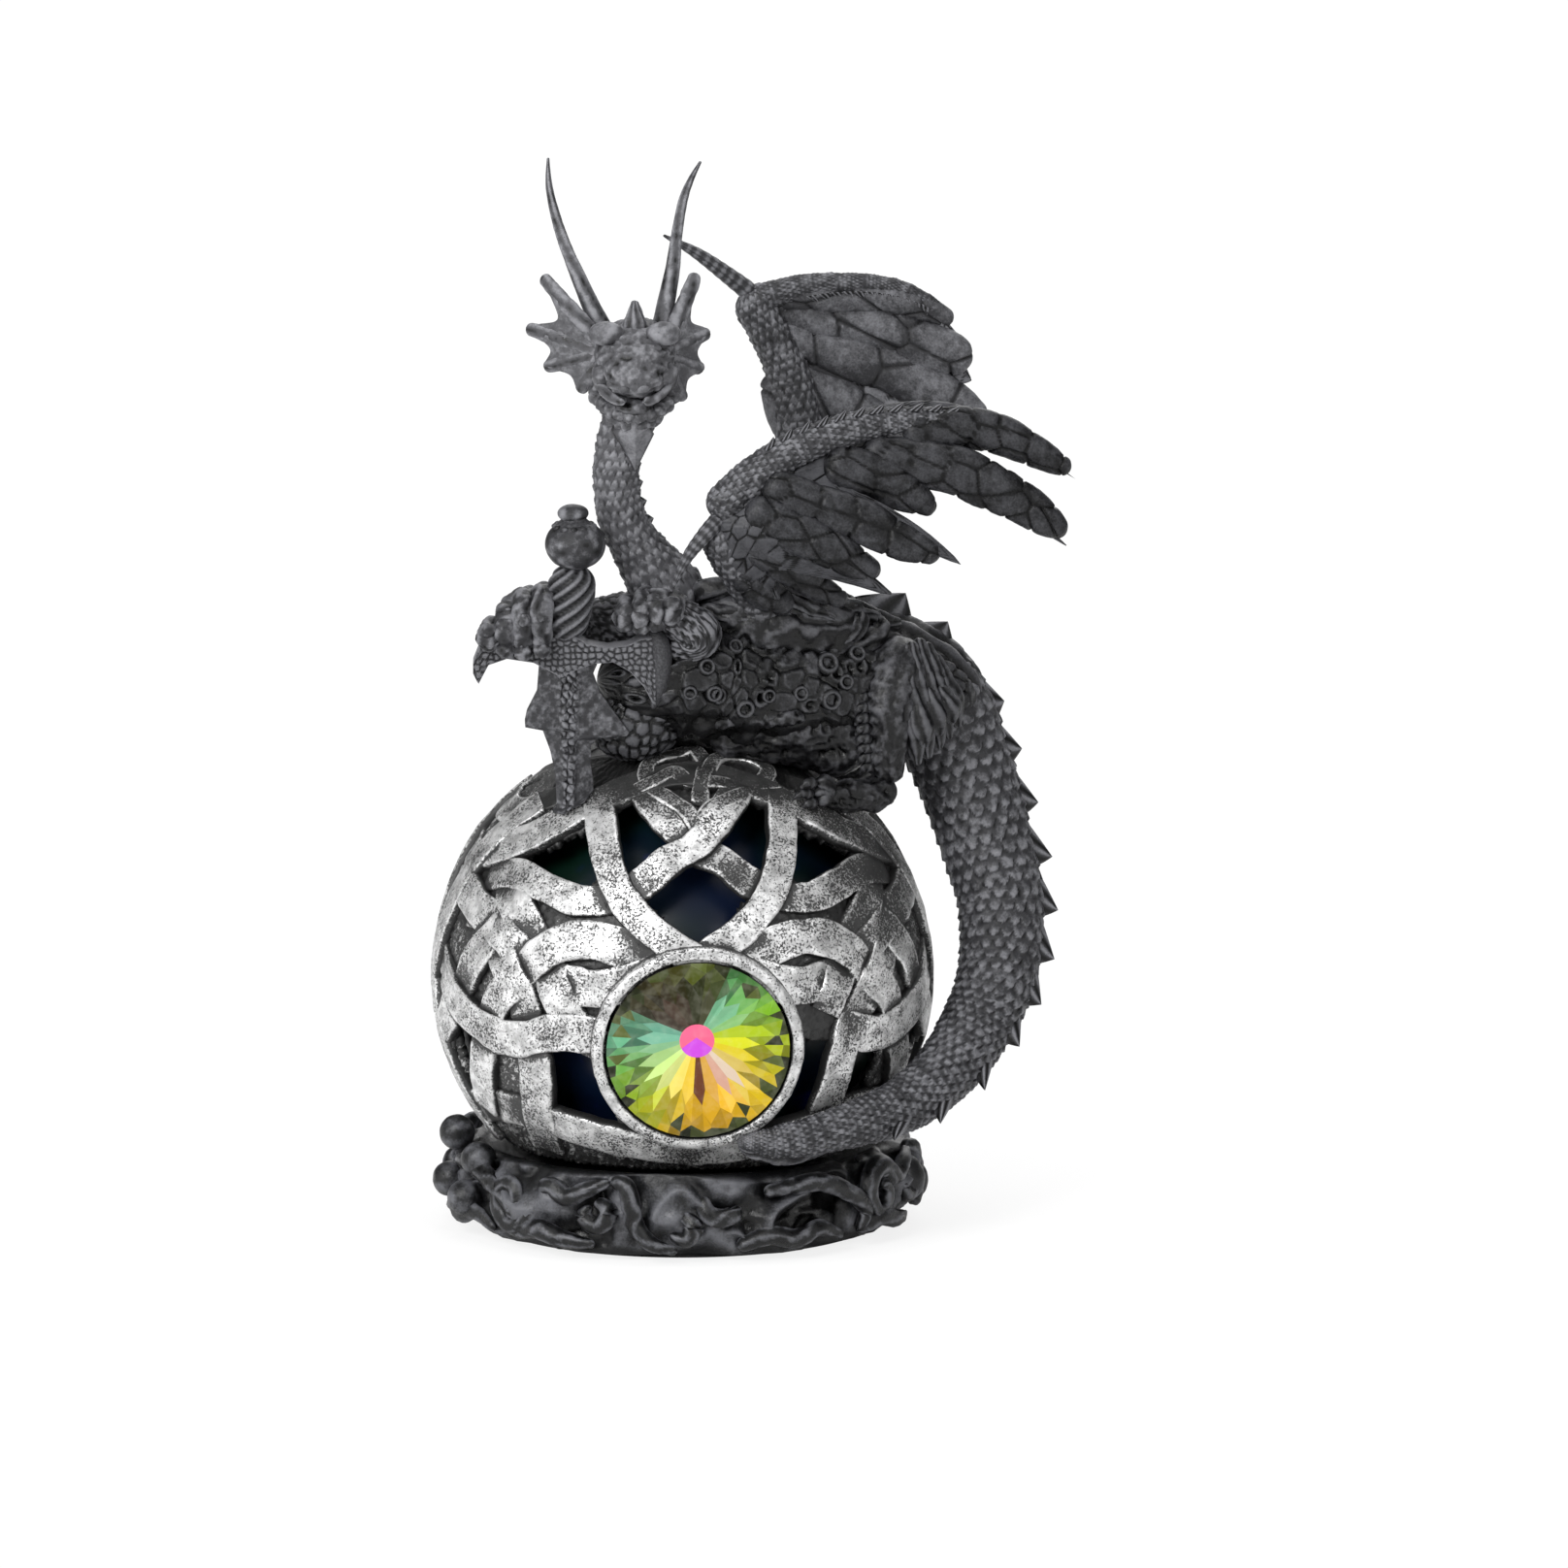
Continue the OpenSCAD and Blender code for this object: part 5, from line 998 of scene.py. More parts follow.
# Rows of a vine: compass angle, height and distance out from the base's radius
VINES = [
    [[-18, 15.3, 0], [-14, 14.8, .6], [-12.5, 11.2, 1], [-11.5, 7.6, 1], [-7.7, 4.1, 1], [-1, 2.4, .6]],
    [[-38, 12.6, 0], [-34, 13.6, .6], [-29.6, 11.8, .8], [-24, 13.6, .8], [-18, 15.3, .2]],
    [[-22, 11.5, 0], [-18, 9.5, 1], [-21, 7.0, 1], [-25, 8.4, .8], [-23, 10.4, .4]],
    [[5, 13, 0], [6.4, 9.9, .8], [9.2, 8.8, 1], [13, 9.4, .8], [14, 11, .2]],
    [[21, 13, 0], [30, 14.2, .8], [37, 14.1, 1], [46, 11, 1], [52, 7.3, 1], [50, 3.3, .4]],
    [[0, 9.6, 0], [3, 7.4, .8], [1, 4.9, .8], [-3, 5.6, .4]],
    [[14, 3, 0], [22, 5, 1], [29, 4, 1.2], [36, 5.4, 1], [44, 3, .4]],
    [[-46, 3, 0], [-38, 5, 1], [-30, 3.6, 1], [-22, 3.2, .6]],
]


def pearls():
    """Pearls on the wall of the base, smooth ones to the left and rough ones round the back."""
    clay = Clay()
    for az, out, z in PEARLS:
        clay.lay(*ball(on_base(az, z, out), (3.4, 3.4, 3.4), 28, 44, 0.07))
    for az, size in ROUGH_PEARLS:
        clay.lay(*ball(on_base(az, 8.5 + 2 * np.sin(az), 0.4), (size, size, size * 1.2), 24, 36, 0.25, 3.0))
    clay.cast("base_pearls", BASE_RESIN, "black_resin")


def scrolls_and_vines():
    """Rolled scrolls and the vines on the wall of the base, repeated in other places round the back."""
    clay = Clay()
    for az, wind in SCROLLS:
        i = np.linspace(0, 7.5, 26)
        size = 5.0 * (1 - i / 9.5)
        ang = np.radians(wind * 62 * i)
        wide = 2.3 - 0.16 * i
        swing = np.degrees(size * np.cos(ang) / BASE_R)
        mid = on_base(az + swing, 9.6 + size * np.sin(ang) * 1.15, 0.3 + 0.2 * i)
        out = on_base(az, 0, 0) * [1, 1, 0] / BASE_R
        clay.lay(*tube(np.c_[mid, wide, wide], 22, 0.5, out, carve=wrinkled(5, 0.16)))
    for turn in (0, 96, 182, 262):
        for rows in VINES:
            rows = np.asarray(rows, float)
            taper = np.interp(np.linspace(0, 1, len(rows)), [0, .3, .75, 1], [1.2, 1.9, 1.6, .8])
            route = np.c_[on_base(rows[:, 0] + turn, rows[:, 1], rows[:, 2] + 0.2), taper, taper]
            clay.lay(*tube(route, 18, 0.5, (0.1, 0.2, 1.0), carve=wrinkled(4, 0.15)))
    clay.cast("base_vines", BASE_RESIN, "black_resin")


def felt():
    """A flat ring with a soft round edge, its face covered in fine fluff."""
    a = turns(260)[None]
    r, z = np.array(FELT).T[..., None]
    grid = np.stack(np.broadcast_arrays(r * np.cos(a), r * np.sin(a), z), -1)
    clay = Clay()
    clay.torus(grid, 0.5)
    material = moulded("felt", grey(0.006), grey(0.02), 0.9, 2600.0)
    clay.cast("felt_ring", material, "felt", "base_felt")


# Dragon

def flank(run, a, wide, grid):
    """Carving of the trunk: many-sided plates on the flank, rough stone below, long folds over the back."""
    near, edge, tag = cells(a / TAU * 22 + 0.25 * lumps(grid, 7.0, 1), run / 3.9, 22, 3.0, 1.0)
    plate = 1 - (1 - soft_step(edge, 0.02, 0.2)) ** 2
    rim = np.exp(-((edge - 0.3) / 0.1) ** 2)
    ring = np.exp(-((near - 0.3) / 0.1) ** 2) - 1.0 * np.exp(-(near / 0.18) ** 2)
    h = np.where(tag > 0.8, 0.25 * plate + 0.75 * ring, plate * (0.5 + 0.2 * tag + 0.25 * rim))
    deg = np.degrees(a)
    under = soft_step(deg + 9 * lumps(grid, 5.0, 2), 192, 212)
    fold = np.sin(13 * a + 3.0 * lumps(grid, 6.0, 2))
    back = soft_step(np.sin(a), 0.62, 0.82)
    rough = lumps(grid, 1.1, 2)
    coarse = lumps(grid, 4.0, 3)
    side = (1 - under) * (1 - back)
    height = 1.1 * h * side + 0.8 * coarse * under + 0.7 * fold * back + 0.1 * rough
    relief = ((0.8 * h + 0.2 * rough * plate) * side + (0.16 + 0.34 * coarse) * under
              + (0.4 + 0.4 * fold) * back)
    return height, np.clip(relief, 0, 1)


def leg_skin(run, a, wide, grid):
    """Carving of a hind leg: faint muscle lines above, slanted rolls of skin lower down, a fine grain."""
    slant = np.sin(run * TAU / 2.0 + 2.6 * np.cos(a - 0.9) + 1.6 * lumps(grid, 3.0, 2))
    line = np.sin(9 * a + 3.0 * lumps(grid, 4.0, 2))
    low = soft_step(run, 5.0, 9.0) * (1 - soft_step(run, 23.0, 26.0)) * soft_step(np.cos(a - 0.6), -0.6, 0.4)
    fine, broad = lumps(grid, 0.9, 2), lumps(grid, 5.0, 2)
    h = 0.55 * low * slant + 0.4 * (1 - low) * line
    return 0.45 * h + 0.5 * broad + 0.18 * fine, np.clip(0.56 + 0.34 * h + 0.12 * broad + 0.3 * fine, 0, 1)


def stony(run, a, wide, grid):
    """Carving of rough broken stone: coarse lumps and sharp small ones."""
    coarse, fine = lumps(grid, 4.2, 2), 1 - 2 * np.abs(lumps(grid, 1.8, 2))
    return 1.1 * coarse + 0.45 * fine, np.clip(0.34 + 0.32 * coarse + 0.38 * fine, 0, 1)


def on_skin(grid, x, z):
    """The front point of a grid nearest to a place in the front view, and the outward direction there."""
    flat = grid - ORB_TOP
    far = np.hypot(flat[..., 0] - x, flat[..., 2] - z) + 0.05 * flat[..., 1]
    i, j = np.unravel_index(np.argmin(far[1:-1]), far[1:-1].shape)
    i, k = i + 1, grid.shape[1]
    out = unit(np.cross(grid[i, (j + 1) % k] - grid[i, j - 1], grid[i + 1, j] - grid[i - 1, j]))
    return grid[i, j], out


def boss(clay, mid, out, wide):
    """A round boss with a rolled rim and a pit: a profile of radius and height turned round its own axis."""
    r = wide * np.array([1.35, 1.15, 1.0, 0.85, 0.68, 0.52, 0.4, 0.26, 0.1])[:, None, None]
    h = wide * np.array([-0.5, 0.0, 0.3, 0.42, 0.34, 0.08, -0.15, -0.24, -0.26])[:, None, None]
    u = unit(np.cross(out, [0.3, 0.1, 1.0]))
    v = np.cross(out, u)
    a = turns(32)[None, :, None]
    grid = mid + (u * np.cos(a) + v * np.sin(a)) * r + out * h
    relief = np.array([0.0, 0.2, 0.6, 0.8, 0.6, 0.1, 0.0, 0.0, 0.0])[:, None] + 0 * a[..., 0]
    clay.lay(grid + 0.12 * lumps(grid, 1.0, 1)[..., None] * out, relief)


def fin(root, tip, along_way, thick, clay):
    """A pinched fin: its outline runs from a long root up to a hooked tip, and its section is a thin lens
    with fine rays."""
    s = np.linspace(-1, 1, 22)[:, None]
    t = np.linspace(0, 1, 14)[None]
    reach = tip - root
    spine = root + along_way * (s * (1 - t ** 1.25))[..., None] + reach * t[..., None]
    side = unit(np.cross(reach, along_way))
    ray = np.sin(9 * s * (1 - 0.6 * t))
    half = thick * (1 - t) ** 0.7 * np.sqrt(np.clip(1 - s * s, 0, 1)) + 0.08
    half = half + 0.14 * ray * (1 - t) ** 0.5
    tone = 0.45 + 0.4 * ray
    clay.slab(spine + side * half[..., None], spine - side * half[..., None], tone, tone)


# Stations of the tail: compass angle, height angle, distance off the orb and share of its full width
TAIL = [[99, 54, 16.5, .78], [99.5, 46, 12.5, 1.04], [99, 36.5, 9, 1], [96, 24, 6.4, .92], [92, 11, 5.8, .84],
        [87, -.5, 4.4, .77], [79, -11, 2, .68], [61, -21, .7, .55], [42, -25, .6, .42], [24, -28, .6, .3],
        [14, -29, .8, .1]]
# Rows of the tail's leaf: compass angle, height angle, distance from the orb's middle and two half widths
TAIL_LEAF = [[44, -26, 52.2, 2.6, 1.8], [36, -27.5, 51.4, 4.4, 1.8], [28, -30, 50.8, 5.0, 1.6],
             [20, -30.5, 50.2, 3.2, 1.2], [14.5, -30, 49.4, .5, .4]]


def tail_at(s):
    """Middle and half width of the tail at a share of its length, from its stations round the orb."""
    p = along(TAIL, s)
    wide = np.maximum(p[..., 3], 0.06) * TAIL_R
    return on_orb(p[..., 0], p[..., 1], ORB_R + p[..., 2] + wide), wide


def from_orb(p):
    """Directions from the orb's middle."""
    return unit(p - ORB_MID)


def tail():
    """The scaled tail round the orb with its leaf-shaped end, and the fins along the tail and the rump."""
    mid, wide = tail_at(np.linspace(0, 1, 60))
    clay = Clay()
    grid, relief = tube(np.c_[mid, wide, wide], 180, 0.42, from_orb, (0.4, 0.6), scaled(19, 0.34, 0.7, 0.14))
    clay.lay(off_orb(grid), relief)
    az, el, far, wide, thick = np.array(TAIL_LEAF).T
    leaf = np.c_[on_orb(az, el, far), wide, thick]
    clay.lay(*tube(leaf, 60, 0.4, from_orb, carve=wrinkled(7, 0.3)))
    clay.cast("dragon_tail", HALF_LIT_RESIN, "black_resin", "tail")
    clay = Clay()
    for s in np.arange(0.14, 0.76, 0.06):
        (a, r), (b, _) = tail_at(np.array(s)), tail_at(np.array(s + 0.04))
        out = from_orb(a)
        fin(a + out * r * 0.8, b + out * (r + 3.0), unit(b - a) * 5.6 * r / 8, 0.3 * r, clay)
    for x, z in ((38, 19), (46, 13.5)):
        root = ORB_TOP + [x, 8, z]
        fin(root, root + [4.4, 0, 4.8], unit(np.array([1.0, 0.1, -0.7])) * 7, 2.4, clay)
    clay.cast("back_fins", HALF_LIT_RESIN, "black_resin")


def limb(clay, places, widths, sides, carve, up=(0.0, 1.0, 0.05), gap=0.42):
    """A carved limb through places from the top of the orb, kept off the orb's surface."""
    grid, relief = tube(way(places, *widths), sides, gap, up, carve=carve)
    clay.lay(off_orb(grid), relief)


def claw(clay, root, bend, tip, wide):
    """A curved claw that thins to its point."""
    places = [root, 0.6 * np.asarray(root) + 0.4 * np.asarray(bend), bend, tip]
    limb(clay, places, [wide, wide * .95, wide * .7, .22], 18, ribbed(1.1, 0.06), gap=0.3)


# Rows of a limb: a place from the top of the orb and one or two half widths
TRUNK = [[-16, -14, 11, 5.6, 5.6], [-9, -13, 11, 9.5, 9], [-3, -11, 12, 13.6, 12.6], [5, -7, 10.5, 15, 14],
         [17, -3, 8.5, 15, 14.4], [29, 2, 8.5, 15, 13.5], [41, 6, 7.5, 13.6, 11.5], [49, 8, 2.5, 11, 9.4],
         [53, 8, -3, 7, 6]]
SHOULDER = [[2, -9.5, 22, 6.2], [12, -10.5, 22.5, 7.6], [22, -8.5, 21, 7.6], [33, -4, 18, 6.2]]
BELLY = [[2, -11, 3, 6.6], [14, -9, 1.5, 7.6], [26, -6, -0.5, 7.6], [36, -4, -4.5, 6.2]]

# Round bosses on the trunk: x and z in the front view and a half width
BOSSES = [[27, 14, 2.0], [11.6, 7.4, 1.7], [6, 10.4, 1.5], [9.9, 18.4, 1.4], [32.5, 15.2, 1.6],
          [28.5, 7.6, 1.9], [20.4, 18.4, 1.4], [24.2, 17.6, 1.3], [16, 9.2, 1.3], [22.6, 9.6, 1.4],
          [31.2, 11, 1.4], [4.4, 15, 1.5], [1.4, 11, 1.3], [26.6, 18.6, 1.3]]
FOLDS = [
    [[6, -12, 23.2, 1.4], [9.6, -13.8, 26, 1.6], [15.5, -15, 27.4, 1.6], [22.6, -15, 25.6, 1.4],
     [29, -13, 22.6, .5]],
    [[7.8, -13, 27, 1.4], [13, -14.5, 29, 1.6], [20.2, -14.4, 27.7, 1.5], [26, -13, 25.8, .5]],
    [[24.9, -11, 20.6, .9], [29, -10.5, 19, 1.4], [32.6, -9.5, 20, 1.5], [33.5, -7.5, 22, 1.2],
     [30.8, -6, 23.2, .5]],
    [[28.4, -9.5, 18, .9], [33.2, -9, 17.4, 1.4], [37, -7.5, 18.6, 1.5], [37.6, -5.5, 20.5, 1.1],
     [35.5, -4, 21.6, .5]],
    [[17, -11.6, 27.6, 1.8], [24, -10.6, 27.4, 1.8], [31, -8, 24.6, 1.5], [37.6, -4.6, 21.6, .5]],
    [[22, -9, 25.4, 1.9], [29, -8, 24.6, 1.9], [36, -4.5, 21.4, 1.5], [41.4, 0, 19.4, .6]],
    [[2, -13.6, 22, 1.4], [5, -15.6, 24.4, 1.5], [10, -16.6, 24.4, 1.4], [15, -16.4, 22.8, .5]],
    [[2, -13, 27.4, 1.6], [5, -15, 28.8, 1.7], [9, -15.6, 29.8, 1.4], [13, -15, 30.6, .5]],
]

LEG_WIDE = [6.5, 5.9, 4.9, 4.1, 3.5, 3.0]
# Hind legs: places down the leg, places along the foot, and the side that faces front (-1) or back (1)
LEGS = [
    ([[41.4, -1, 15], [40.4, -6.5, 11.5], [39.4, -9.5, 6.5], [39, -10.4, 0.6], [39, -9.4, -5.4],
      [39.4, -8, -9.6]],
     [[39.6, -8, -9.8], [35, -12, -11.6], [30.4, -15.6, -11.4], [27.4, -18.4, -10.4]], -1),
    ([[40, 13, 15], [39.4, 18.5, 11.5], [38.6, 21.5, 6.5], [37.6, 22.4, 0.6], [36.6, 21.6, -5.4],
      [35.6, 20.4, -10]],
     [[35.8, 20.4, -10.4], [31.4, 23.4, -13.2], [27.6, 26.2, -13.4], [25, 28.4, -13.6]], 1),
]

# Leaves on the thigh: root and tip
TUFTS = [[42.4, -9.6, 15.0, 44.6, -10.0, -6.0], [43.2, -8.4, 17.6, 46.6, -8.6, -5.0],
         [44.6, -7.2, 18.0, 48.8, -7.2, -3.4], [46.0, -6.0, 17.0, 50.6, -5.8, -1.8],
         [47.4, -5.0, 14.6, 52.2, -4.4, 0.2], [44.0, -10.4, 8.5, 46.0, -10.4, -2.5],
         [46.4, -9.2, 9.0, 48.6, -8.8, -0.5], [48.6, -7.8, 9.0, 51.2, -6.8, 1.6]]
# Forelegs: places and half widths down the leg, the seed of its pebbles, then the paw: x, top and foot of
# each finger, and the middle and half widths of the hand
FORELEGS = [
    ([[-1, -13, 17], [-1, -17, 19], [3, -22, 22], [-4, -22, 26.5]], [5.6, 5.3, 4.1, 3.4], 5.0,
     [(-10.6, 29, 22.6), (-7.6, 30, 22.2), (-4.7, 30.4, 22.8), (-1.9, 30, 24)],
     ([-5.4, -19.5, 26], (5.0, 4.2, 4.0))),
    ([[-6, -8, 20], [-9, -10, 22], [-20, -12, 21], [-28, -17, 26]], [5.6, 5.3, 4.7, 3.6], 8.0,
     [(-26.4, 31.4, 17.9), (-29.8, 30.4, 17.4), (-33.2, 28, 17.9), (-36.4, 24.8, 19.2)],
     ([-29, -18.5, 25.6], (5.6, 4.4, 4.2))),
]


def fist(clay, fingers, hand):
    """A clenched paw: each finger rises from the hand, bends over its knuckle and ends in a rounded pad."""
    for x, high, low in fingers:
        mid = 0.5 * (high + low)
        places = [[x + 1.2, -17, high - 4], [x + 0.4, -21.5, high - 2.2], [x, -26, high - 3.4],
                  [x - 0.1, -27.8, mid], [x, -26.2, low + 1.8]]
        limb(clay, places, [2.0, 2.15, 2.25, 2.1, 1.7], 44, wrinkled(3, 0.3, 2.0), (1, 0, 0.05), 0.3)
        for dy, dz, r in ((-24, high - 2.0, 1.5), (-27.6, mid + 1.6, 1.6), (-27.2, low + 2.0, 1.5)):
            clay.lay(*ball(ORB_TOP + [x, dy - 0.6, dz - 0.3], (r * 1.15, r, r), 18, 26, 0.25, 1.0))
    mid, size = hand
    clay.lay(*ball(ORB_TOP + mid, size, 30, 46, 0.7, 2.2))


def hind_leg(clay, leg, foot, side):
    """A leg down to a clawed foot, with a comb of curved teeth along its front edge."""
    leg, foot = np.asarray(leg, float), np.asarray(foot, float)
    m = np.array([1, -side, 1])
    limb(clay, leg, LEG_WIDE, 120, leg_skin, gap=0.34)
    limb(clay, foot, [3.0, 3.1, 2.7, 2.0], 80, stony, gap=0.34)
    for z in np.linspace(13.0, -6.5, 11):
        place = np.array([np.interp(-z, -leg[:, 2], leg[:, k]) for k in range(3)])
        wide = np.interp(-z, -leg[:, 2], LEG_WIDE)
        root = place + wide * np.array([-0.8, -0.5, 0]) * m
        claw(clay, root, root + np.array([-1.8, -.7, .5]) * m, root + np.array([-3.0, -.6, -1.2]) * m, 1.2)
    for dx, dz, bend in ((-3.4, 3.6, 1.0), (-4.4, .6, .6), (-3.2, -2.0, .2)):
        a = foot[-1] + np.array([0.8, 0.6, 0]) * m
        b = foot[-1] + np.array([dx * 0.6, -1.6, dz * 0.7 + 0.4]) * m
        limb(clay, [a, 0.5 * (a + b) + [0, 0, bend], b], [1.9, 1.7, 1.5], 34, wrinkled(3, 0.3), gap=0.3)
        claw(clay, b, b + np.array([dx * 0.5, -1.4, 0.3]) * m, b + np.array([dx * 0.9, -1.8, -0.8]) * m, 1.15)


def trunk():
    """The trunk, its shoulder, belly and chest, with bosses and two flat swellings low on its front."""
    clay = Clay()
    body, shoulder, belly = (np.asarray(rows, float) for rows in (TRUNK, SHOULDER, BELLY))
    limb(clay, body[:, :3], body[:, 3:], 220, flank, (0, 0, 1), 0.4)
    limb(clay, shoulder[:, :3], shoulder[:, 3], 120, wrinkled(9, 0.45, 2.4), (0, 0, 1), 0.4)
    limb(clay, belly[:, :3], belly[:, 3], 150, stony, (0, 0, 1), 0.36)
    chest = [[-9, -13, -5], [-9, -13, 3.5], [-9, -13, 11]]
    limb(clay, chest, [[6, 5.4], [8.6, 7.8], [6.4, 6]], 130, pebbled(2.4, 0.9, 21.0, 0.8), gap=0.36)
    skin, _ = tube(way(body[:, :3], *body[:, 3:]), 120, 0.8, (0, 0, 1))
    for x, z, wide in BOSSES:
        mid, out = on_skin(skin, x, z)
        boss(clay, mid + 0.6 * out, out, wide)
    for mid in ([7.2, -17.4, 4.4], [18, -16.6, 4.5]):
        clay.lay(*ball(ORB_TOP + mid, (5.5, 2.6, 2.0), 34, 56, 0.35, 1.0))
    clay.cast("dragon_trunk", SHADED_BLACK_RESIN, "black_resin", "torso")


def folds():
    """Long folds of skin over the flank and shoulder."""
    clay = Clay()
    for rows in FOLDS:
        rows = np.asarray(rows, float)
        route = np.c_[ORB_TOP + rows[:, :3], rows[:, 3] * 1.25, rows[:, 3]]
        clay.lay(*tube(route, 34, 0.35, (0, -1, 0.4), carve=wrinkled(5, 0.3)))
    clay.cast("flank_folds", SHADED_BLACK_RESIN, "black_resin")


def hind_legs():
    """Both hind legs and the leaves that hang on the near thigh."""
    clay = Clay()
    for leg, foot, side in LEGS:
        hind_leg(clay, leg, foot, side)
    for x, y, z, ex, ey, ez in TUFTS:
        upper = [0.6 * x + 0.4 * ex, 0.6 * y + 0.4 * ey - 1.0, 0.65 * z + 0.35 * ez]
        lower = [0.25 * x + 0.75 * ex, 0.3 * y + 0.7 * ey - 1.0, 0.35 * z + 0.65 * ez]
        widths = [1.0, 1.0], [1.9, 1.5], [2.4, 1.7], [0.5, 0.5]
        route = way([[x, y, z], upper, lower, [ex, ey, ez]], *widths)
        grid, relief = tube(route, 34, 0.36, (0.2, -1.0, 0.1), carve=wrinkled(5, 0.3, 0.5, 0.62))
        clay.lay(off_orb(grid), relief)
    clay.cast("hind_legs", SHADED_BLACK_RESIN, "black_resin")


def forelegs():
    """Both forelegs with the paws that hold the sword."""
    clay = Clay()
    for places, widths, seed, fingers, hand in FORELEGS:
        limb(clay, places, widths, 80, pebbled(1.7, 0.45, seed, 0.7))
        fist(clay, fingers, hand)
    clay.cast("forelegs", HALF_LIT_RESIN, "black_resin")


def web(clay, fingers, cuts, thick, puff, along_cells, across_cells, seed, deep):
    """Wing skin between fingers that leave one wrist: neighbouring finger curves are blended, the free edge
    is scalloped between them, and both faces swell between the fingers and carry pillow cells with
    grooves."""
    spans = len(fingers) - 1
    lines = [along(f, np.linspace(0, 1, 40)) for f in fingers]
    reach = max(np.linalg.norm(np.diff(line, axis=0), axis=1).sum() for line in lines)
    t = np.linspace(0, spans, spans * 30 + 1)
    i = np.minimum(t.astype(int), spans - 1)
    u = t - i
    s = np.linspace(0.02, 1, int(reach / 0.6))[:, None]
    r = s * (1 - np.asarray(cuts)[i] * s * np.sin(np.pi * u))
    curves = np.stack([along(f, r) for f in fingers])
    col = np.arange(len(t))
    this, after = curves[i, :, col].transpose(1, 0, 2), curves[i + 1, :, col].transpose(1, 0, 2)
    sheet = (1 - u)[:, None] * this + u[:, None] * after
    _, edge, _ = cells(r / r.max() * along_cells + 0 * t, t * across_cells + 0 * s, None, seed, 0.8)
    pillow = 1 - (1 - soft_step(edge, 0.0, 0.16)) ** 2
    rib = np.exp(-((np.minimum(u, 1 - u)) / 0.1) ** 2)
    swell = puff * np.sin(np.pi * u) ** 0.8 * np.sin(np.pi * np.clip(s, 0, 1)) ** 0.5 + 0.5 * puff * rib
    to_tip = np.clip((1.001 - s) / 0.05, 0, 1)
    to_side = np.clip((np.minimum(t, spans - t) + 0.004) / 0.12, 0, 1)
    rim = np.sqrt(1 - (1 - to_tip) ** 2) * np.sqrt(1 - (1 - to_side) ** 2)
    rough = lumps(sheet, 1.3, 2)
    half = (thick * (1 - 0.45 * s) / 2 + swell + deep * (pillow - 0.6)) * rim + 0.1 * rough * rim + 0.04
    relief = np.clip(0.5 + min(deep / 0.4, 1.0) * (0.75 * pillow - 0.4) + 0.2 * rough, 0, 1)
    front, back = raised(sheet, half, False), raised(sheet, -half, False)
    clay.slab(front, back, relief, relief)


# Places along the fingers of each wing, from the top of the orb
NEAR_FINGERS = [
    [[17.5, -21, 57], [36, -14, 63.6], [54.6, -9, 62.4], [74.4, -10, 49]],
    [[19, -23, 51.4], [38, -18, 54.4], [56, -14, 49], [72.6, -14, 37]],
    [[16, -26, 47], [29, -25, 46], [42, -25, 41.6], [52.6, -25, 35.4]],
    [[12, -27, 42.6], [20, -27, 39.6], [30, -26, 35], [39.6, -24, 29.6]],
    [[8.6, -24, 36], [11, -20, 30], [16, -16, 25], [24, -12, 20]],
]
FAR_FINGERS = [
    [[26, 24, 80], [40, 26.5, 78], [48, 27.5, 74.5], [52.4, 28, 70]],
    [[26, 25, 76], [41, 28, 71], [50, 29, 66], [55, 29, 61]],
    [[21, 23, 70], [31, 25, 62], [41, 26, 54], [50, 26, 46]],
    [[18, 23, 68], [21, 22, 58], [23, 20, 48], [31, 18, 38]],
]
# Puffy lobes and the ridge along the leading edge: places and a half width
NEAR_LOBES = [
    [[41.6, -17, 59, 3.2], [51, -15, 59.9, 3.5], [59.6, -13, 58.2, 3.3], [66.4, -11.5, 54.7, 2.7],
     [71, -10.5, 52, 1.9], [73.4, -10, 50.8, .9]],
    [[33.7, -19, 55.1, 3.7], [49.6, -18, 52.7, 4.0], [57.5, -17, 49.3, 4.1], [63.8, -16, 45.9, 3.5],
     [69, -15, 41.9, 2.7], [72.4, -14, 39.2, 1.3]],
    [[26.9, -22, 54.6, 3.5], [35.3, -21, 51.7, 3.7], [41.6, -20, 48.8, 3.5], [45.9, -19.5, 46, 2.2],
     [48, -19, 45.2, .8]],
    [[15.3, -25, 50.9, 3.2], [24.8, -25, 47.1, 3.4], [33.7, -25, 43.9, 3.6], [40.6, -25, 40.1, 3.2],
     [45.9, -25, 38, 2.1], [48.6, -25, 36.8, .8]],
    [[12.1, -26, 46.7, 2.9], [20.5, -26.5, 42.5, 3.4], [27.9, -26, 38.7, 3.4], [33.2, -25, 35.5, 2.6],
     [37.4, -24, 33.6, .9]],
    [[8.9, -24, 43.7, 3.2], [15.3, -24, 38.8, 3.4], [21.6, -22, 33.6, 3.2], [26.9, -19, 29.3, 2.1],
     [31, -17, 26.8, .8]],
    [[9, -23, 40, 3], [12, -21, 34, 3.4], [16, -18, 28.5, 3], [21, -15.5, 25.5, 1.6]],
]
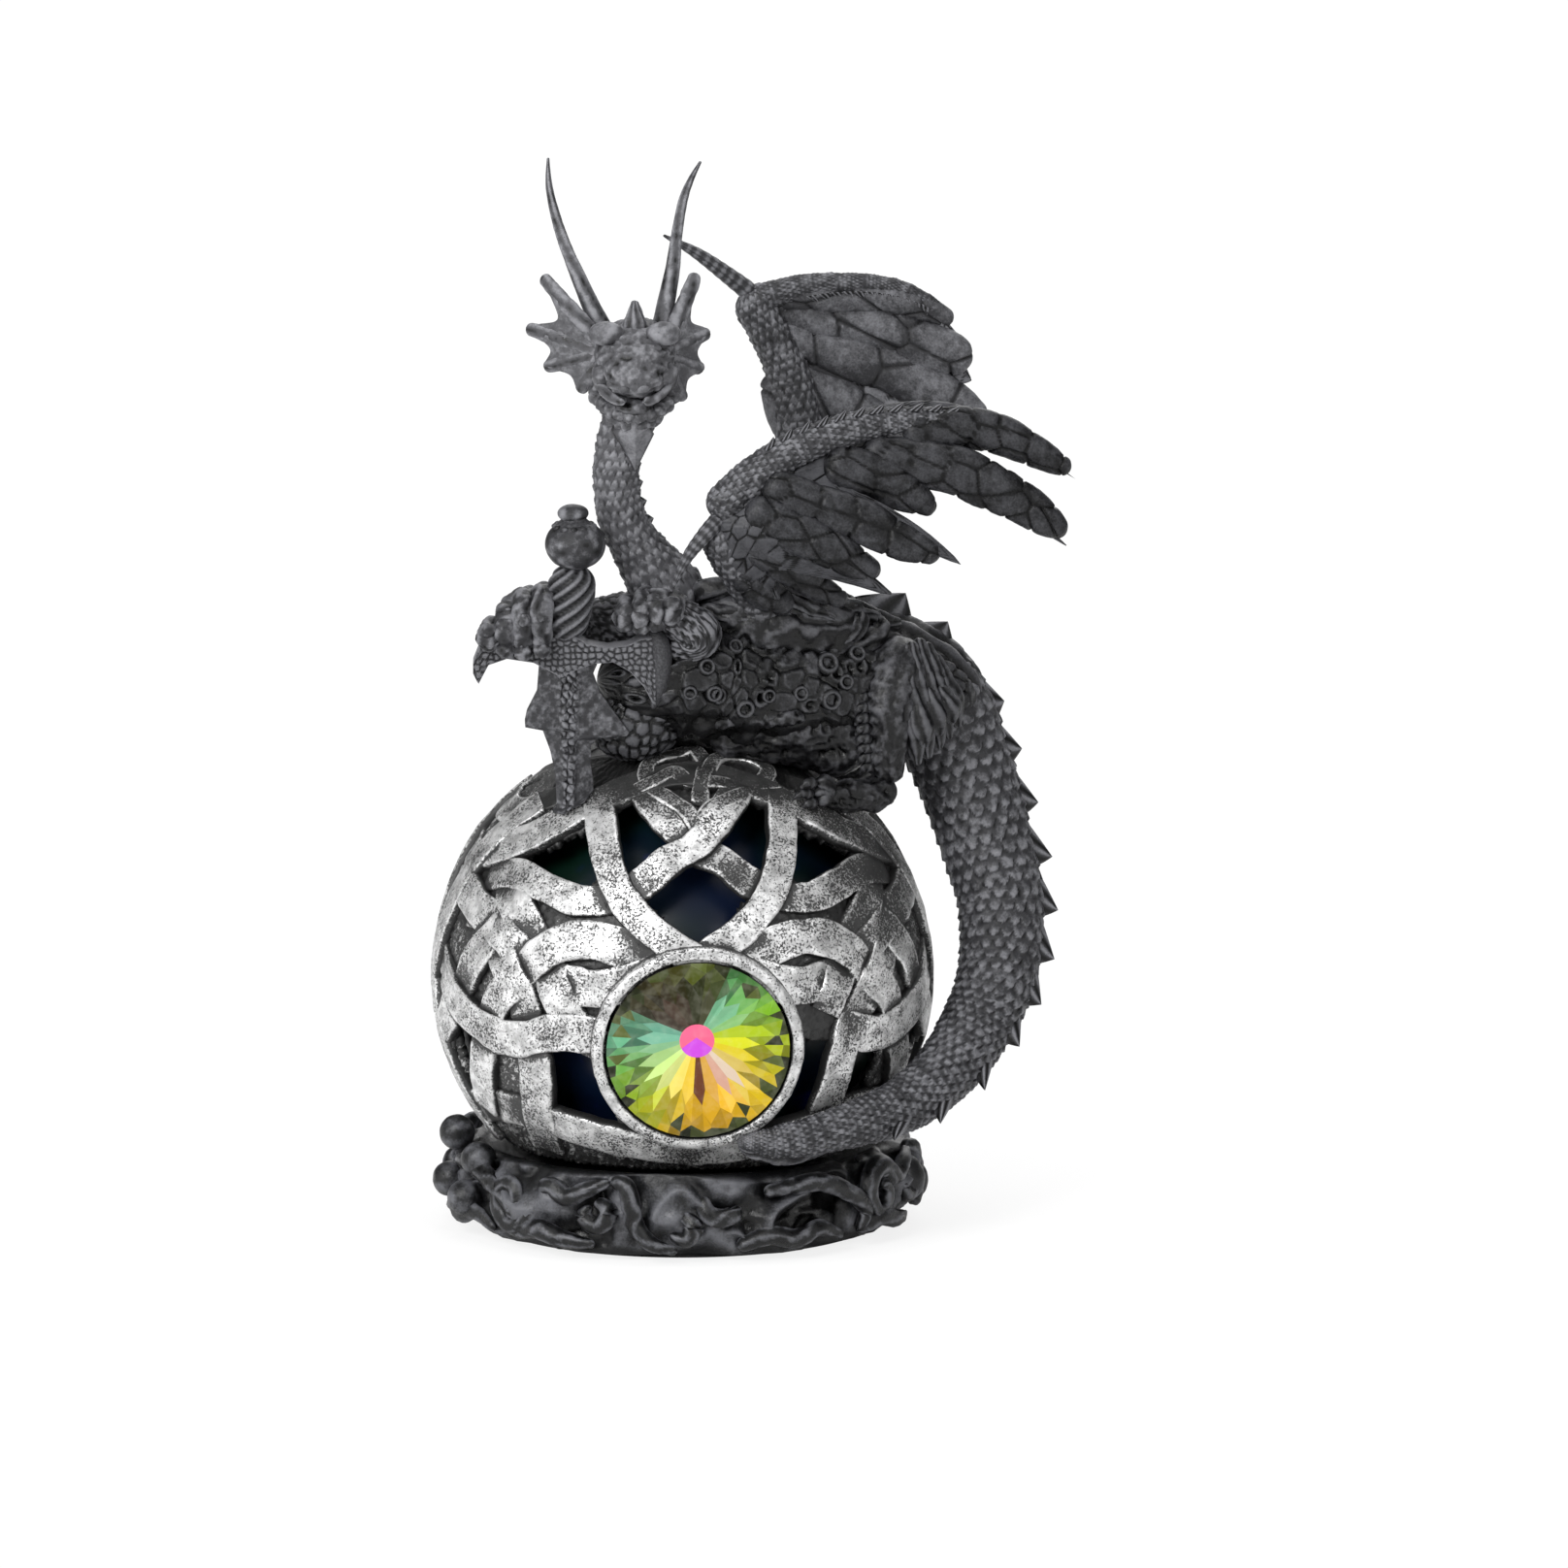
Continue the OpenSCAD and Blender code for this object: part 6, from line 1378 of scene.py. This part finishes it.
FAR_LOBES = [
    [[14.2, 22, 78.3, 2.1], [25.8, 24, 77.9, 2.4], [36.4, 26, 77.7, 2.7], [44.8, 27, 75.7, 2.4],
     [51.4, 28, 72.6, 1.2]],
    [[16.9, 23, 75.6, 2.4], [27.9, 25, 73.1, 2.8], [37.4, 26, 71.6, 3.4], [45.9, 27, 68.2, 4.0],
     [52, 27.5, 65.9, 3.4], [55, 28, 64.7, 1.6]],
    [[16.9, 23, 71.6, 2.9], [25.3, 24, 67.1, 3.8], [35.3, 25.5, 64.9, 4.2], [43.8, 26.5, 61.5, 3.9],
     [51, 27, 57.9, 3.3], [57.6, 27, 53.8, 1.5]],
    [[16.9, 22.5, 68, 2.9], [22.1, 23, 61.9, 3.9], [29, 24, 57.4, 4.4], [36.4, 25, 53, 3.9],
     [43.8, 25, 47.6, 2.4]],
    [[17, 21.5, 64, 2.6], [20.5, 21.5, 55, 3.6], [25, 21, 48.5, 4.0], [30, 20, 42, 3.4], [35, 19, 38, 1.6]],
]
NEAR_LEAD = [[5.8, -24, 44.4, 3.5], [11.6, -23.5, 50.4, 3.5], [19.5, -22.5, 56.1, 3.3], [29, -20, 59.6, 3.1],
             [39, -17, 61.4, 2.6], [49.6, -14.5, 61.2, 2.2], [56.4, -12, 59.2, 1.4]]
FAR_LEAD = [[12.1, 22, 77.2, 2.9], [22, 23.2, 80, 2.2], [33, 25, 80.6, 1.8], [42, 26.4, 79, 1.5],
            [49, 27.6, 75.4, 1.0]]
NEAR_ARM = [[15, -10, 22], [14, -15, 29], [9, -21, 37]]
FAR_ARM = [[15, 8, 18], [22, 18, 40], [20.5, 21.5, 62]]
# How deep the free edge is cut in between neighbouring fingers
NEAR_CUTS, FAR_CUTS = (0.5, 0.55, 0.4, 0.4), (0.06, 0.2, 0.3)
# Claws at the wrists: places from the wrist, half widths and the pitch of the rings
NEAR_CLAW = ([[1.6, .6, 1.4], [-1.6, -2.6, -1.6], [-5, -3.4, -6], [-8, -3, -12.4]], [1.7, 1.5, 1.05, .25],
             1.6)
FAR_CLAW = ([[1.6, .4, -1], [-2.2, -.6, 2.2], [-9, -3, 7.6], [-15.6, -5, 11.6]], [1.9, 1.7, 1.15, .25], 2.0)


def lobe(clay, rows, thick, cell, seed):
    """A puffy wing finger through rows of a place and a half width, thinner across the wing."""
    rows = np.asarray(rows, float)
    w = np.maximum(rows[:, 3] * 1.12, 1.5)
    route = np.c_[ORB_TOP + rows[:, :3], w, np.minimum(thick, 0.6 * w + 0.3)]
    clay.lay(*tube(route, 74, 0.42, (0.0, -1.0, 0.15), carve=pillows(cell, seed)))


def wing(name, fingers, lobes, wrist, arm, lead, cuts, thick, cell, paint, above):
    """One wing: a thin skin, puffy fingers over it, the scaled arm and a scaled ridge with small spines
    above it (above is 1) or below it (-1)."""
    curves = [np.concatenate([[wrist], ORB_TOP + np.asarray(f, float)]) for f in fingers]
    clay = Clay()
    web(clay, curves, cuts, 1.4, 0.3, 11, 1.3, 11.0, 0.4)
    for k, rows in enumerate(lobes):
        lobe(clay, rows, thick, cell, 50.0 + 3 * k)
    clay.cast(name + "_skin", paint, "black_resin", name)
    clay = Clay()
    limb(clay, [*arm, wrist - ORB_TOP], [6.2, 4.9, 4.0, 3.6], 90, scaled(16, 0.42, 0.45, 0.16), (1, 0.2, 0.1))
    lead = np.asarray(lead, float)
    wide = lead[:, 3]
    route = np.c_[ORB_TOP + lead[:, :3], wide, wide * 0.85]
    clay.lay(*tube(route, 100, 0.36, (0, -1, 0.15), carve=scaled(17, 0.44, 0.45, 0.16)))
    for s in np.linspace(0.3, 0.9, 12):
        p, q = along(route, s), along(route, min(s + 0.05, 1.0))
        step = q[:3] - p[:3]
        rise = unit(np.cross(unit(step), [0.0, 1.0, 0.0])) * above
        root = p[:3] + rise * p[3] * 0.8 + [0, -1.2, 0]
        fin(root, root + rise * 1.5 + step * 0.6, unit(step) * 1.5, 0.7, clay)
    clay.cast(name + "_arm", HALF_LIT_RESIN, "black_resin")


def wings():
    """Both wings, then the claws at their wrists."""
    wing("wing_near", NEAR_FINGERS, NEAR_LOBES, NEAR_WRIST, NEAR_ARM, NEAR_LEAD, NEAR_CUTS, 2.3, 5.0,
         SHADED_WING_RESIN, 1.0)
    wing("wing_far", FAR_FINGERS, FAR_LOBES, FAR_WRIST, FAR_ARM, FAR_LEAD, FAR_CUTS, 2.8, 8.4, HALF_LIT_RESIN,
         -1.0)
    claws = ("near", NEAR_WRIST, NEAR_CLAW), ("far", FAR_WRIST, FAR_CLAW)
    for side, wrist, (places, widths, pitch) in claws:
        clay = Clay()
        limb(clay, wrist - ORB_TOP + np.array(places), widths, 24, ribbed(pitch, 0.07), gap=0.3)
        clay.cast("wing_claw_" + side + "_piece", HALF_LIT_RESIN, "black_resin", "wing_claw_" + side)


# Places and half widths: neck and fins from the top of the orb, the rest from the middle of the head
NECK = [[0, -8, 22], [-3.6, -11, 29], [-8, -13.6, 36], [-11.4, -16, 43], [-12.4, -17.4, 51], [-11.4, -18, 59],
        [-9.4, -17.4, 66], [-8.8, -16.5, 71]]
NECK_WIDE = [8.2, 6.6, 4.8, 4.3, 4.1, 4.1, 4.3, 4.6]
NECK_FINS = [[-6, -12.4, 33, 5.3], [-8.4, -13.8, 37, 4.7], [-10.4, -15.2, 41, 4.4], [-11.6, -16.2, 44.6, 4.3],
             [-12.2, -17, 48.4, 4.2], [-12.4, -17.4, 52, 4.1], [-12, -17.8, 55.8, 4.1],
             [-11.4, -18, 59.4, 4.1]]
CHIN = [[7.2, -1.4, -6.4, 1.5], [6.9, -3.0, -7.6, 1.6], [5.7, -5.0, -8.4, 1.7], [4.2, -6.8, -9.2, 1.7],
        [2.6, -7.8, -9.8, 1.7], [0.9, -8.2, -10.0, 1.6], [5.2, -2.4, -9.6, 1.6], [3.9, -4.4, -10.8, 1.6],
        [2.6, -5.6, -11.6, 1.5], [1.0, -6.4, -12.0, 1.5], [3.4, -1.8, -12.0, 1.5], [2.4, -3.6, -13.0, 1.4]]
HORNS = {"left": [[-5.4, 4, 3.0, 2.0], [-7.9, 4.4, 8, 1.7], [-10.6, 6.5, 13.8, 1.45],
                  [-13.2, 9.2, 19.6, 1.15], [-15, 12, 24.8, .9], [-16.2, 14.6, 29.9, .6],
                  [-16.4, 17, 34.9, .2]],
         "right": [[4.8, 4, 3.0, 2.0], [5.7, 4.4, 8.2, 1.7], [7.1, 6.5, 15.4, 1.4], [7.9, 9.2, 21.6, 1.1],
                   [9.1, 12, 27.6, .85], [10.6, 14.6, 31.2, .55], [12.4, 17, 34.2, .2]]}
# Ear fans: the root and the tip of each rib
FANS = [([-5, 1, 0], [[-17.4, 6, 14.3], [-20.5, 6, 4.3], [-17.2, 4, -2.9], [-10.6, 1, -7.2]]),
        ([5, 1, 0], [[11.7, 6, 14.7], [14.1, 6, 3.6], [13.0, 4, -3.4], [9.3, 1, -8.9]])]
# Balls on both sides of the head: middle, half widths, rows, sides, roughness and grain
CHEEKS = [([3.0, -7.0, 2.6], (2.0, 1.6, 0.9), 20, 30, 0.12, 2.0),
          ([4.6, -7.4, 1.4], (0.9, 0.7, 0.7), 16, 22, 0.0, 2.0),
          ([5.6, -5.4, -2.6], (2.4, 2.8, 2.6), 28, 40, 0.3, 1.3),
          ([3.4, -8.6, -3.8], (2.0, 2.0, 1.5), 24, 36, 0.25, 1.1),
          ([1.6, -12.0, -4.2], (1.2, 1.1, 0.8), 18, 26, 0.1, 2.0)]


def neck():
    """The scaled neck with fins down its back."""
    clay = Clay()
    limb(clay, NECK, NECK_WIDE, 170, scaled(17, 0.46, 0.5, 0.25), (0.8, 0.5, 0.0), 0.32)
    for x, y, z, r in NECK_FINS:
        root = ORB_TOP + [x, y, z]
        out = np.array([0.9, 0.3, 0.0])
        fin(root + out * r * 0.75, root + out * (r + 1.3) + [0, 0, 1.2], np.array([0.0, 0.0, 2.4]), 1.2, clay)
    clay.cast("dragon_neck", LIT_HEAD_RESIN, "black_resin", "neck_head")


def face(run, a, wide, grid):
    """Carving of the face: flat wrinkles and fine roughness."""
    wrinkle = 1 - 2.2 * np.abs(lumps(grid * [0.5, 0.5, 1.4], 1.7, 2))
    rough = lumps(grid, 0.8, 2)
    return 0.3 * wrinkle + 0.16 * rough, np.clip(0.42 + 0.26 * wrinkle + 0.28 * rough, 0, 1)


def chin_plate(clay):
    """A shield under the chin, widest at a quarter of its length, with a ridge down its middle."""
    s = np.linspace(0, 1, 40)[:, None]
    t = np.linspace(-1, 1, 30)[None]
    ridge = 1.3 * (1 - np.abs(t))
    wide = np.interp(s, [0, .28, 1], [1.6, 3.6, .25])
    y, z = -7.0 - ridge + 5.2 * s ** 1.2, -11.0 - 10.4 * s
    plate = HEAD + np.stack(np.broadcast_arrays(wide * t + 0.1, y, z), -1)
    thick = np.array([-0.25, 1.0, 0.0]) * (6.0 - 2.0 * s + ridge)[..., None]
    rim = soft_step(np.abs(t), 0.8, 1.0)
    clay.slab(plate, plate + thick, 0.72 - 0.4 * rim + 0.15 * lumps(plate, 1.2, 2), 0.1)


def head():
    """Skull and jaw, brows, eyes, cheeks, lips and a pebbled chin, then a crest and the chin plate."""
    h = HEAD - ORB_TOP
    clay = Clay()
    skull = np.array([[0, 7, 0], [0, 2, 1], [0, -3, .6], [0, -8, -2.0], [0, -12.5, -5.0]])
    skull_wide = [[4.5, 4.5], [7, 5.8], [7.4, 5.4], [5.8, 4.6], [3.4, 2.4]]
    limb(clay, h + skull, skull_wide, 150, face, (0, 0, 1), 0.25)
    jaw = np.array([[0, 2, -6], [0, -5, -8.2], [0, -10.5, -8.6]])
    limb(clay, h + jaw, [[5.4, 3.4], [4.6, 2.5], [2.6, 1.4]], 100, face, (0, 0, 1), 0.28)
    lip = np.array([[7.0, -1, -2.4], [6.6, -5, -4.4], [4.4, -9, -6.2], [1.8, -12, -6.8]])
    for side in (-1, 1):
        m = np.array([side, 1, 1])
        brow, relief = ball(HEAD + m * [5.3, -4.8, 5.0], (3.4, 3.0, 2.3), 28, 44, 0.08, 1.6)
        clay.lay(brow, relief + 0.15)
        for mid, *ball_size in CHEEKS:
            clay.lay(*ball(HEAD + m * mid, *ball_size))
        limb(clay, h + lip * m, [1.3, 1.2, 1.0, .7], 30, wrinkled(3, 0.16), gap=0.3)
        for x, y, z, r in CHIN:
            clay.lay(*ball(HEAD + m * [x, y, z], (r, r, r * 0.85), 18, 26, 0.35, 0.9))
    crest = np.array([[0, -3, 4.4], [0, -3.2, 6.8], [0, -2.6, 8.8], [0, -2, 10.9]])
    limb(clay, h + crest, [[2.6, 1.6], [2.1, 1.3], [1.3, .9], [.4, .4]], 34, wrinkled(7, 0.25, 0.2), gap=0.25)
    chin_plate(clay)
    clay.cast("dragon_head", LIT_HEAD_RESIN, "black_resin")


def fans_and_horns():
    """Ribbed fans behind the ears, and the two horns."""
    clay = Clay()
    for root, tips in FANS:
        root = HEAD + root
        curves = [root + (HEAD + np.asarray(tip) - root) * np.linspace(0, 1, 4)[:, None] for tip in tips]
        web(clay, curves, (0.32, 0.22, 0.2), 2.0, 0.35, 9, 2.2, 31.0, 0.08)
        for c in curves:
            wide = np.array([1.9, 1.7, 1.5, 1.15])
            clay.lay(*tube(np.c_[c, wide, wide * 0.8], 34, 0.28, (0, 1, 0.1), carve=wrinkled(3, 0.16, 1.0)))
    clay.cast("ear_fans", LIT_HEAD_RESIN, "black_resin")
    for name, rows in HORNS.items():
        rows = np.asarray(rows)
        clay = Clay()
        limb(clay, HEAD - ORB_TOP + rows[:, :3], rows[:, 3], 40, wrinkled(4, 0.07, 0.2), gap=0.3)
        clay.cast("horn_" + name + "_piece", LIT_HEAD_RESIN, "black_resin", "horn_" + name)


# Sword

SWORD_FOOT = on_orb(-45.0, 51.0, 47.0)
SWORD_LEAN = 3.0
# Outlines in the sword's frame: z over x for the guard's edges, x over z for the blade's sides
GUARD_TOP = [[-18.6, -17, -12, -6, -4.4, 1, 3.2, 6.9, 10.7, 13.4, 16],
             [27.6, 32, 34.6, 35, 34.6, 33.5, 31.9, 31.1, 31.7, 33.3, 34]]
GUARD_FOOT = [[-18.6, -17.4, -15.5, -12, -7, -1.7, .5, 4.2, 8, 11.2, 13.9, 15.5, 16],
              [26.4, 23.6, 27.4, 28.6, 27.8, 24.8, 26.1, 27.7, 28.1, 26.1, 22.9, 19.6, 19.4]]
# Crescent at the guard's end: x, z and two half widths
GUARD_END = np.array([[15.2, 34.6, .8, 1.8], [16.6, 32, 1.8, 2.6], [17.2, 28, 1.9, 2.4],
                      [16.7, 23.4, 1.6, 2.0], [15.4, 18.8, .4, .5]])
BLADE_LEFT = [[-3, .8, 6.3, 10.7, 14.6, 15.2, 16.5, 18.4, 22.2, 27.5],
              [-2.6, -2.7, -3, -3.9, -5.3, -8.6, -8.7, -8.3, -6.4, -6]]
BLADE_RIGHT = [[-3, 4.7, 8, 11.8, 13.0, 13.5, 14.2, 18.4, 22.2, 25.6, 27.5],
               [4.2, 4.2, 3.7, 3.8, 4.8, 10.5, 11.0, 8.0, 5.4, 4.2, 5.0]]
# Grip and collar: z, x and a half width; beads, pommel and button: height and half widths
GRIP = np.array([[32.0, -1.9, 4.6], [36, -1.2, 4.4], [41, 0, 4.2], [46.8, 0.9, 4.3]])
BEAD_RING, BEAD_Z, BEAD = 3.5, 54.1, (0.8, 0.8, 0.6)
POMMEL_Z, POMMEL = 50.6, (5.75, 5.75, 4.85)
BUTTON_Z, BUTTON = 56.6, (2.95, 2.95, 1.7)
COLLAR = np.array([[53.6, 0.7, 3.9], [54.8, 0.7, 3.1], [55.4, 0.7, 2.4], [56.0, 0.7, 2.3]])


def in_sword(x, y, z):
    """A place in the sword's own frame, whose top leans to the front."""
    x, y, z = np.broadcast_arrays(np.asarray(x, float), np.asarray(y, float), np.asarray(z, float))
    c, s = np.cos(np.radians(SWORD_LEAN)), np.sin(np.radians(SWORD_LEAN))
    return SWORD_FOOT + np.stack([x, y * c - z * s, y * s + z * c], -1)


def guard(clay):
    """The guard: upper and lower outlines over its width, a raised rim along both, pebbles between them and a
    crescent blade at its right end."""
    x = np.linspace(-18.4, 16.0, 130)[:, None]
    t = np.linspace(-1, 1, 60)[None]
    top, foot = np.interp(x, *GUARD_TOP), np.interp(x, *GUARD_FOOT)
    z = (top + foot) / 2 + (top - foot) / 2 * t
    _, edge, _ = cells(x / 1.2 + 0 * t, z / 1.2, None, 41.0, 0.6)
    pebble = soft_step(edge, 0.02, 0.4)
    rim = soft_step(np.abs(t), 0.8, 0.9)
    depth = (1.9 + 0.4 * pebble * (1 - rim) + 0.7 * rim) * (1 - np.abs(t) ** 14) + 0.3
    relief = 0.25 + 0.5 * pebble * (1 - rim) + 0.6 * rim
    clay.slab(in_sword(x, -depth, z), in_sword(x, depth, z), relief, relief)
    mid = in_sword(GUARD_END[:, 0], -0.6, GUARD_END[:, 1])
    clay.lay(*tube(np.c_[mid, GUARD_END[:, 2:]], 40, 0.3, (0, 1, 0)))


def blade():
    """Left and right outlines over height, with a bevelled section and a carved strip down the middle."""
    clay = Clay()
    z = np.linspace(-2.4, 27.5, 140)[:, None]
    t = np.linspace(-1, 1, 84)[None]
    left, right = np.interp(z, *BLADE_LEFT), np.interp(z, *BLADE_RIGHT)
    x = (left + right) / 2 + (right - left) / 2 * t
    half = np.interp(z, [0, 13, 24], [1.1, 1.6, 2.2])
    strip = np.exp(-((x + 0.4) / half) ** 6)
    _, edge, _ = cells((x + 20) / 1.3, z / 1.5 + 0 * x, None, 44.0, 0.8)
    knot = soft_step(edge, 0.02, 0.3) * 0.6 + 0.5 * np.abs(np.sin(1.6 * z + 2.0 * x))
    rough = lumps(in_sword(x, 0 * x, z + 0 * t), 0.9, 2)
    depth = 0.7 + 1.0 * (1 - np.abs(t) ** 1.6) + strip * (0.1 + 0.6 * knot) + 0.08 * rough
    relief = 0.5 + 0.25 * rough + strip * (0.6 * knot - 0.35)
    clay.slab(off_orb(in_sword(x, -depth, z)), off_orb(in_sword(x, depth * 0.9, z)), relief, relief)
    clay.cast("sword_blade", HALF_LIT_RESIN, "black_resin", "sword", sharp=50)


def rope(run, a, wide, grid):
    """Carving of a twisted rope: nine strands that wind round the grip, with beads in the grooves."""
    w = np.cos(9 * a - 2.0 * run)
    bead = np.cos(run * TAU / 0.8) * soft_step(-w, 0.2, 0.8)
    height = 0.4 * power(w, 0.6) + 0.12 * bead + 0.06 * lumps(grid, 1.0, 2)
    return height, np.clip(0.5 + 0.32 * w + 0.15 * bead, 0, 1)


def hilt():
    """The guard, a rope-twisted grip, a pommel ball, a beaded collar and a button."""
    clay = Clay()
    guard(clay)
    z, x, wide = GRIP.T
    clay.lay(*tube(np.c_[in_sword(x, 0, z), wide, wide], 120, 0.25, (0, 1, 0), carve=rope))
    clay.lay(*ball(in_sword(0.9, 0, POMMEL_Z), POMMEL, 40, 60, 0.06, 1.5))
    for a in turns(12):
        mid = in_sword(0.7 + BEAD_RING * np.cos(a), BEAD_RING * np.sin(a), BEAD_Z)
        clay.lay(*ball(mid, BEAD, 10, 14))
    z, x, wide = COLLAR.T
    clay.lay(*tube(np.c_[in_sword(x, 0, z), wide, wide], 40, 0.25, (0, 1, 0), (0, 0)))
    clay.lay(*ball(in_sword(0.5, 0, BUTTON_Z), BUTTON, 22, 36, 0.05, 1.5))
    clay.cast("sword_hilt", HALF_LIT_RESIN, "black_resin")


# Light unit and globe keep their CAD shapes and get finishes

def metal(name, low, high, rough):
    """A moulded finish turned to metal."""
    material = moulded(name, low, high, rough, 1800.0)
    material.node_tree.nodes["Principled BSDF"].inputs["Metallic"].default_value = 0.9
    return material


def fit_finishes():
    """A finish for each node that keeps its CAD shape."""
    white = moulded("white_plastic", grey(0.7), grey(0.8), 0.4)
    black = moulded("black_plastic", grey(0.012), grey(0.03), 0.45)
    board = moulded("board", (0.01, 0.09, 0.035, 1), (0.02, 0.14, 0.05, 1), 0.35)
    lens = moulded("lamp_lens", (0.7, 0.75, 0.8, 1), (0.85, 0.88, 0.9, 1), 0.15)
    steel = metal("cell_steel", grey(0.45), grey(0.62), 0.3)
    brass = metal("contact_brass", (0.5, 0.34, 0.1, 1), (0.65, 0.45, 0.16, 1), 0.28)
    wear = {"inner_globe": globe_glass(), "light_housing": white, "light_floor": white, "battery_door": white,
            "switch_body": black, "switch_slider": black, "led_board": board, "led_lamp": lens,
            "coin_cells": steel, "floor_screws": steel, "door_spring": brass}
    for name, material in wear.items():
        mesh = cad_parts[name].data
        mesh.materials.clear()
        mesh.materials.append(material)


# Stage

# Lamps: name, place and size in metres, power in watts
LAMPS = [
    ("key", (-0.57, -0.97, 0.75), 0.6, 14.8),
    ("side", (-1.0, -0.4, 0.35), 0.7, 3.4),
    ("fill", (0.7, -0.9, 0.5), 0.7, 4.2),
    ("top", (0.1, 0.0, 1.1), 0.7, 6.0),
    ("rear", (0.2, 0.9, 0.6), 0.7, 4.0),
]
LAMP_AIM = Vector((0.0, 0.0, 0.09))
SURROUND = 0.24
FLOOR_LOW = -0.0002
FLOOR_CORNERS = [(-4, -3, FLOOR_LOW), (4, -3, FLOOR_LOW), (4, 6, FLOOR_LOW), (-4, 6, FLOOR_LOW)]
CAMERA_AIM = Vector((0.0193, 0.0, 0.0838))
CAMERA_RISE = 11.0
CAMERA_FAR = 5.0
CAMERA_FIELD = 0.2973
SENSOR = 36.0


def surround(scene):
    """A white surround: full white for the camera, dimmer as a light."""
    world = bpy.data.worlds.new("surround")
    scene.world = world
    world.use_nodes = True
    b = Bench(world.node_tree)
    path = b.add("ShaderNodeLightPath").outputs
    ground = world.node_tree.nodes["Background"]
    ground.inputs["Color"].default_value = (1, 1, 1, 1)
    strength = b.math("ADD", SURROUND, b.math("MULTIPLY", path["Is Camera Ray"], 1.0 - SURROUND))
    b.tree.links.new(strength, ground.inputs["Strength"])


def pale_floor():
    """A pale floor that fades to white for the camera away from the part."""
    material, b, shader = finish("pale_floor", Base_Color=(0.86, 0.86, 0.86, 1), Roughness=0.8,
                                 Specular_IOR_Level=0.0)
    path = b.add("ShaderNodeLightPath").outputs
    place = b.add("ShaderNodeTexCoord").outputs["Object"]
    far = b.add("ShaderNodeVectorMath", {0: place}, operation="LENGTH").outputs["Value"]
    share = b.math("MULTIPLY", path["Is Camera Ray"], b.ease(far, 0.06, 0.16, 0.8, 1.0))
    white = b.add("ShaderNodeEmission", {"Color": (1, 1, 1, 1), "Strength": 1.04}).outputs[0]
    both = b.add("ShaderNodeMixShader", {0: share, 1: shader.outputs[0], 2: white})
    b.tree.links.new(both.outputs[0], material.node_tree.nodes["Material Output"].inputs["Surface"])
    return material


def stage():
    """The surround, the floor, soft lamps and the camera."""
    scene = bpy.context.scene
    scene.view_settings.view_transform = "Standard"
    surround(scene)
    mesh = bpy.data.meshes.new("floor")
    mesh.from_pydata(FLOOR_CORNERS, [], [(0, 1, 2, 3)])
    mesh.materials.append(pale_floor())
    floor = bpy.data.objects.new("floor", mesh)
    scene.collection.objects.link(floor)
    for name, place, size, watts in LAMPS:
        lamp = bpy.data.lights.new(name, "AREA")
        lamp.size, lamp.energy = size, watts
        item = bpy.data.objects.new(name, lamp)
        item.location = place
        item.rotation_euler = (LAMP_AIM - Vector(place)).to_track_quat("-Z", "Y").to_euler()
        scene.collection.objects.link(item)
    camera = bpy.data.cameras.new("camera")
    camera.sensor_width = SENSOR
    camera.lens = SENSOR * CAMERA_FAR / CAMERA_FIELD
    camera.clip_start, camera.clip_end = 0.1, 50.0
    item = bpy.data.objects.new("camera", camera)
    rise = np.radians(CAMERA_RISE)
    item.location = CAMERA_AIM + Vector((0.0, -np.cos(rise), np.sin(rise))) * CAMERA_FAR
    item.rotation_euler = (CAMERA_AIM - item.location).to_track_quat("-Z", "Y").to_euler()
    scene.collection.objects.link(item)
    scene.camera = item


stage()
orb()
gem_ring()
gem()
base()
pearls()
scrolls_and_vines()
felt()
trunk()
folds()
hind_legs()
forelegs()
tail()
wings()
neck()
head()
fans_and_horns()
blade()
hilt()
fit_finishes()
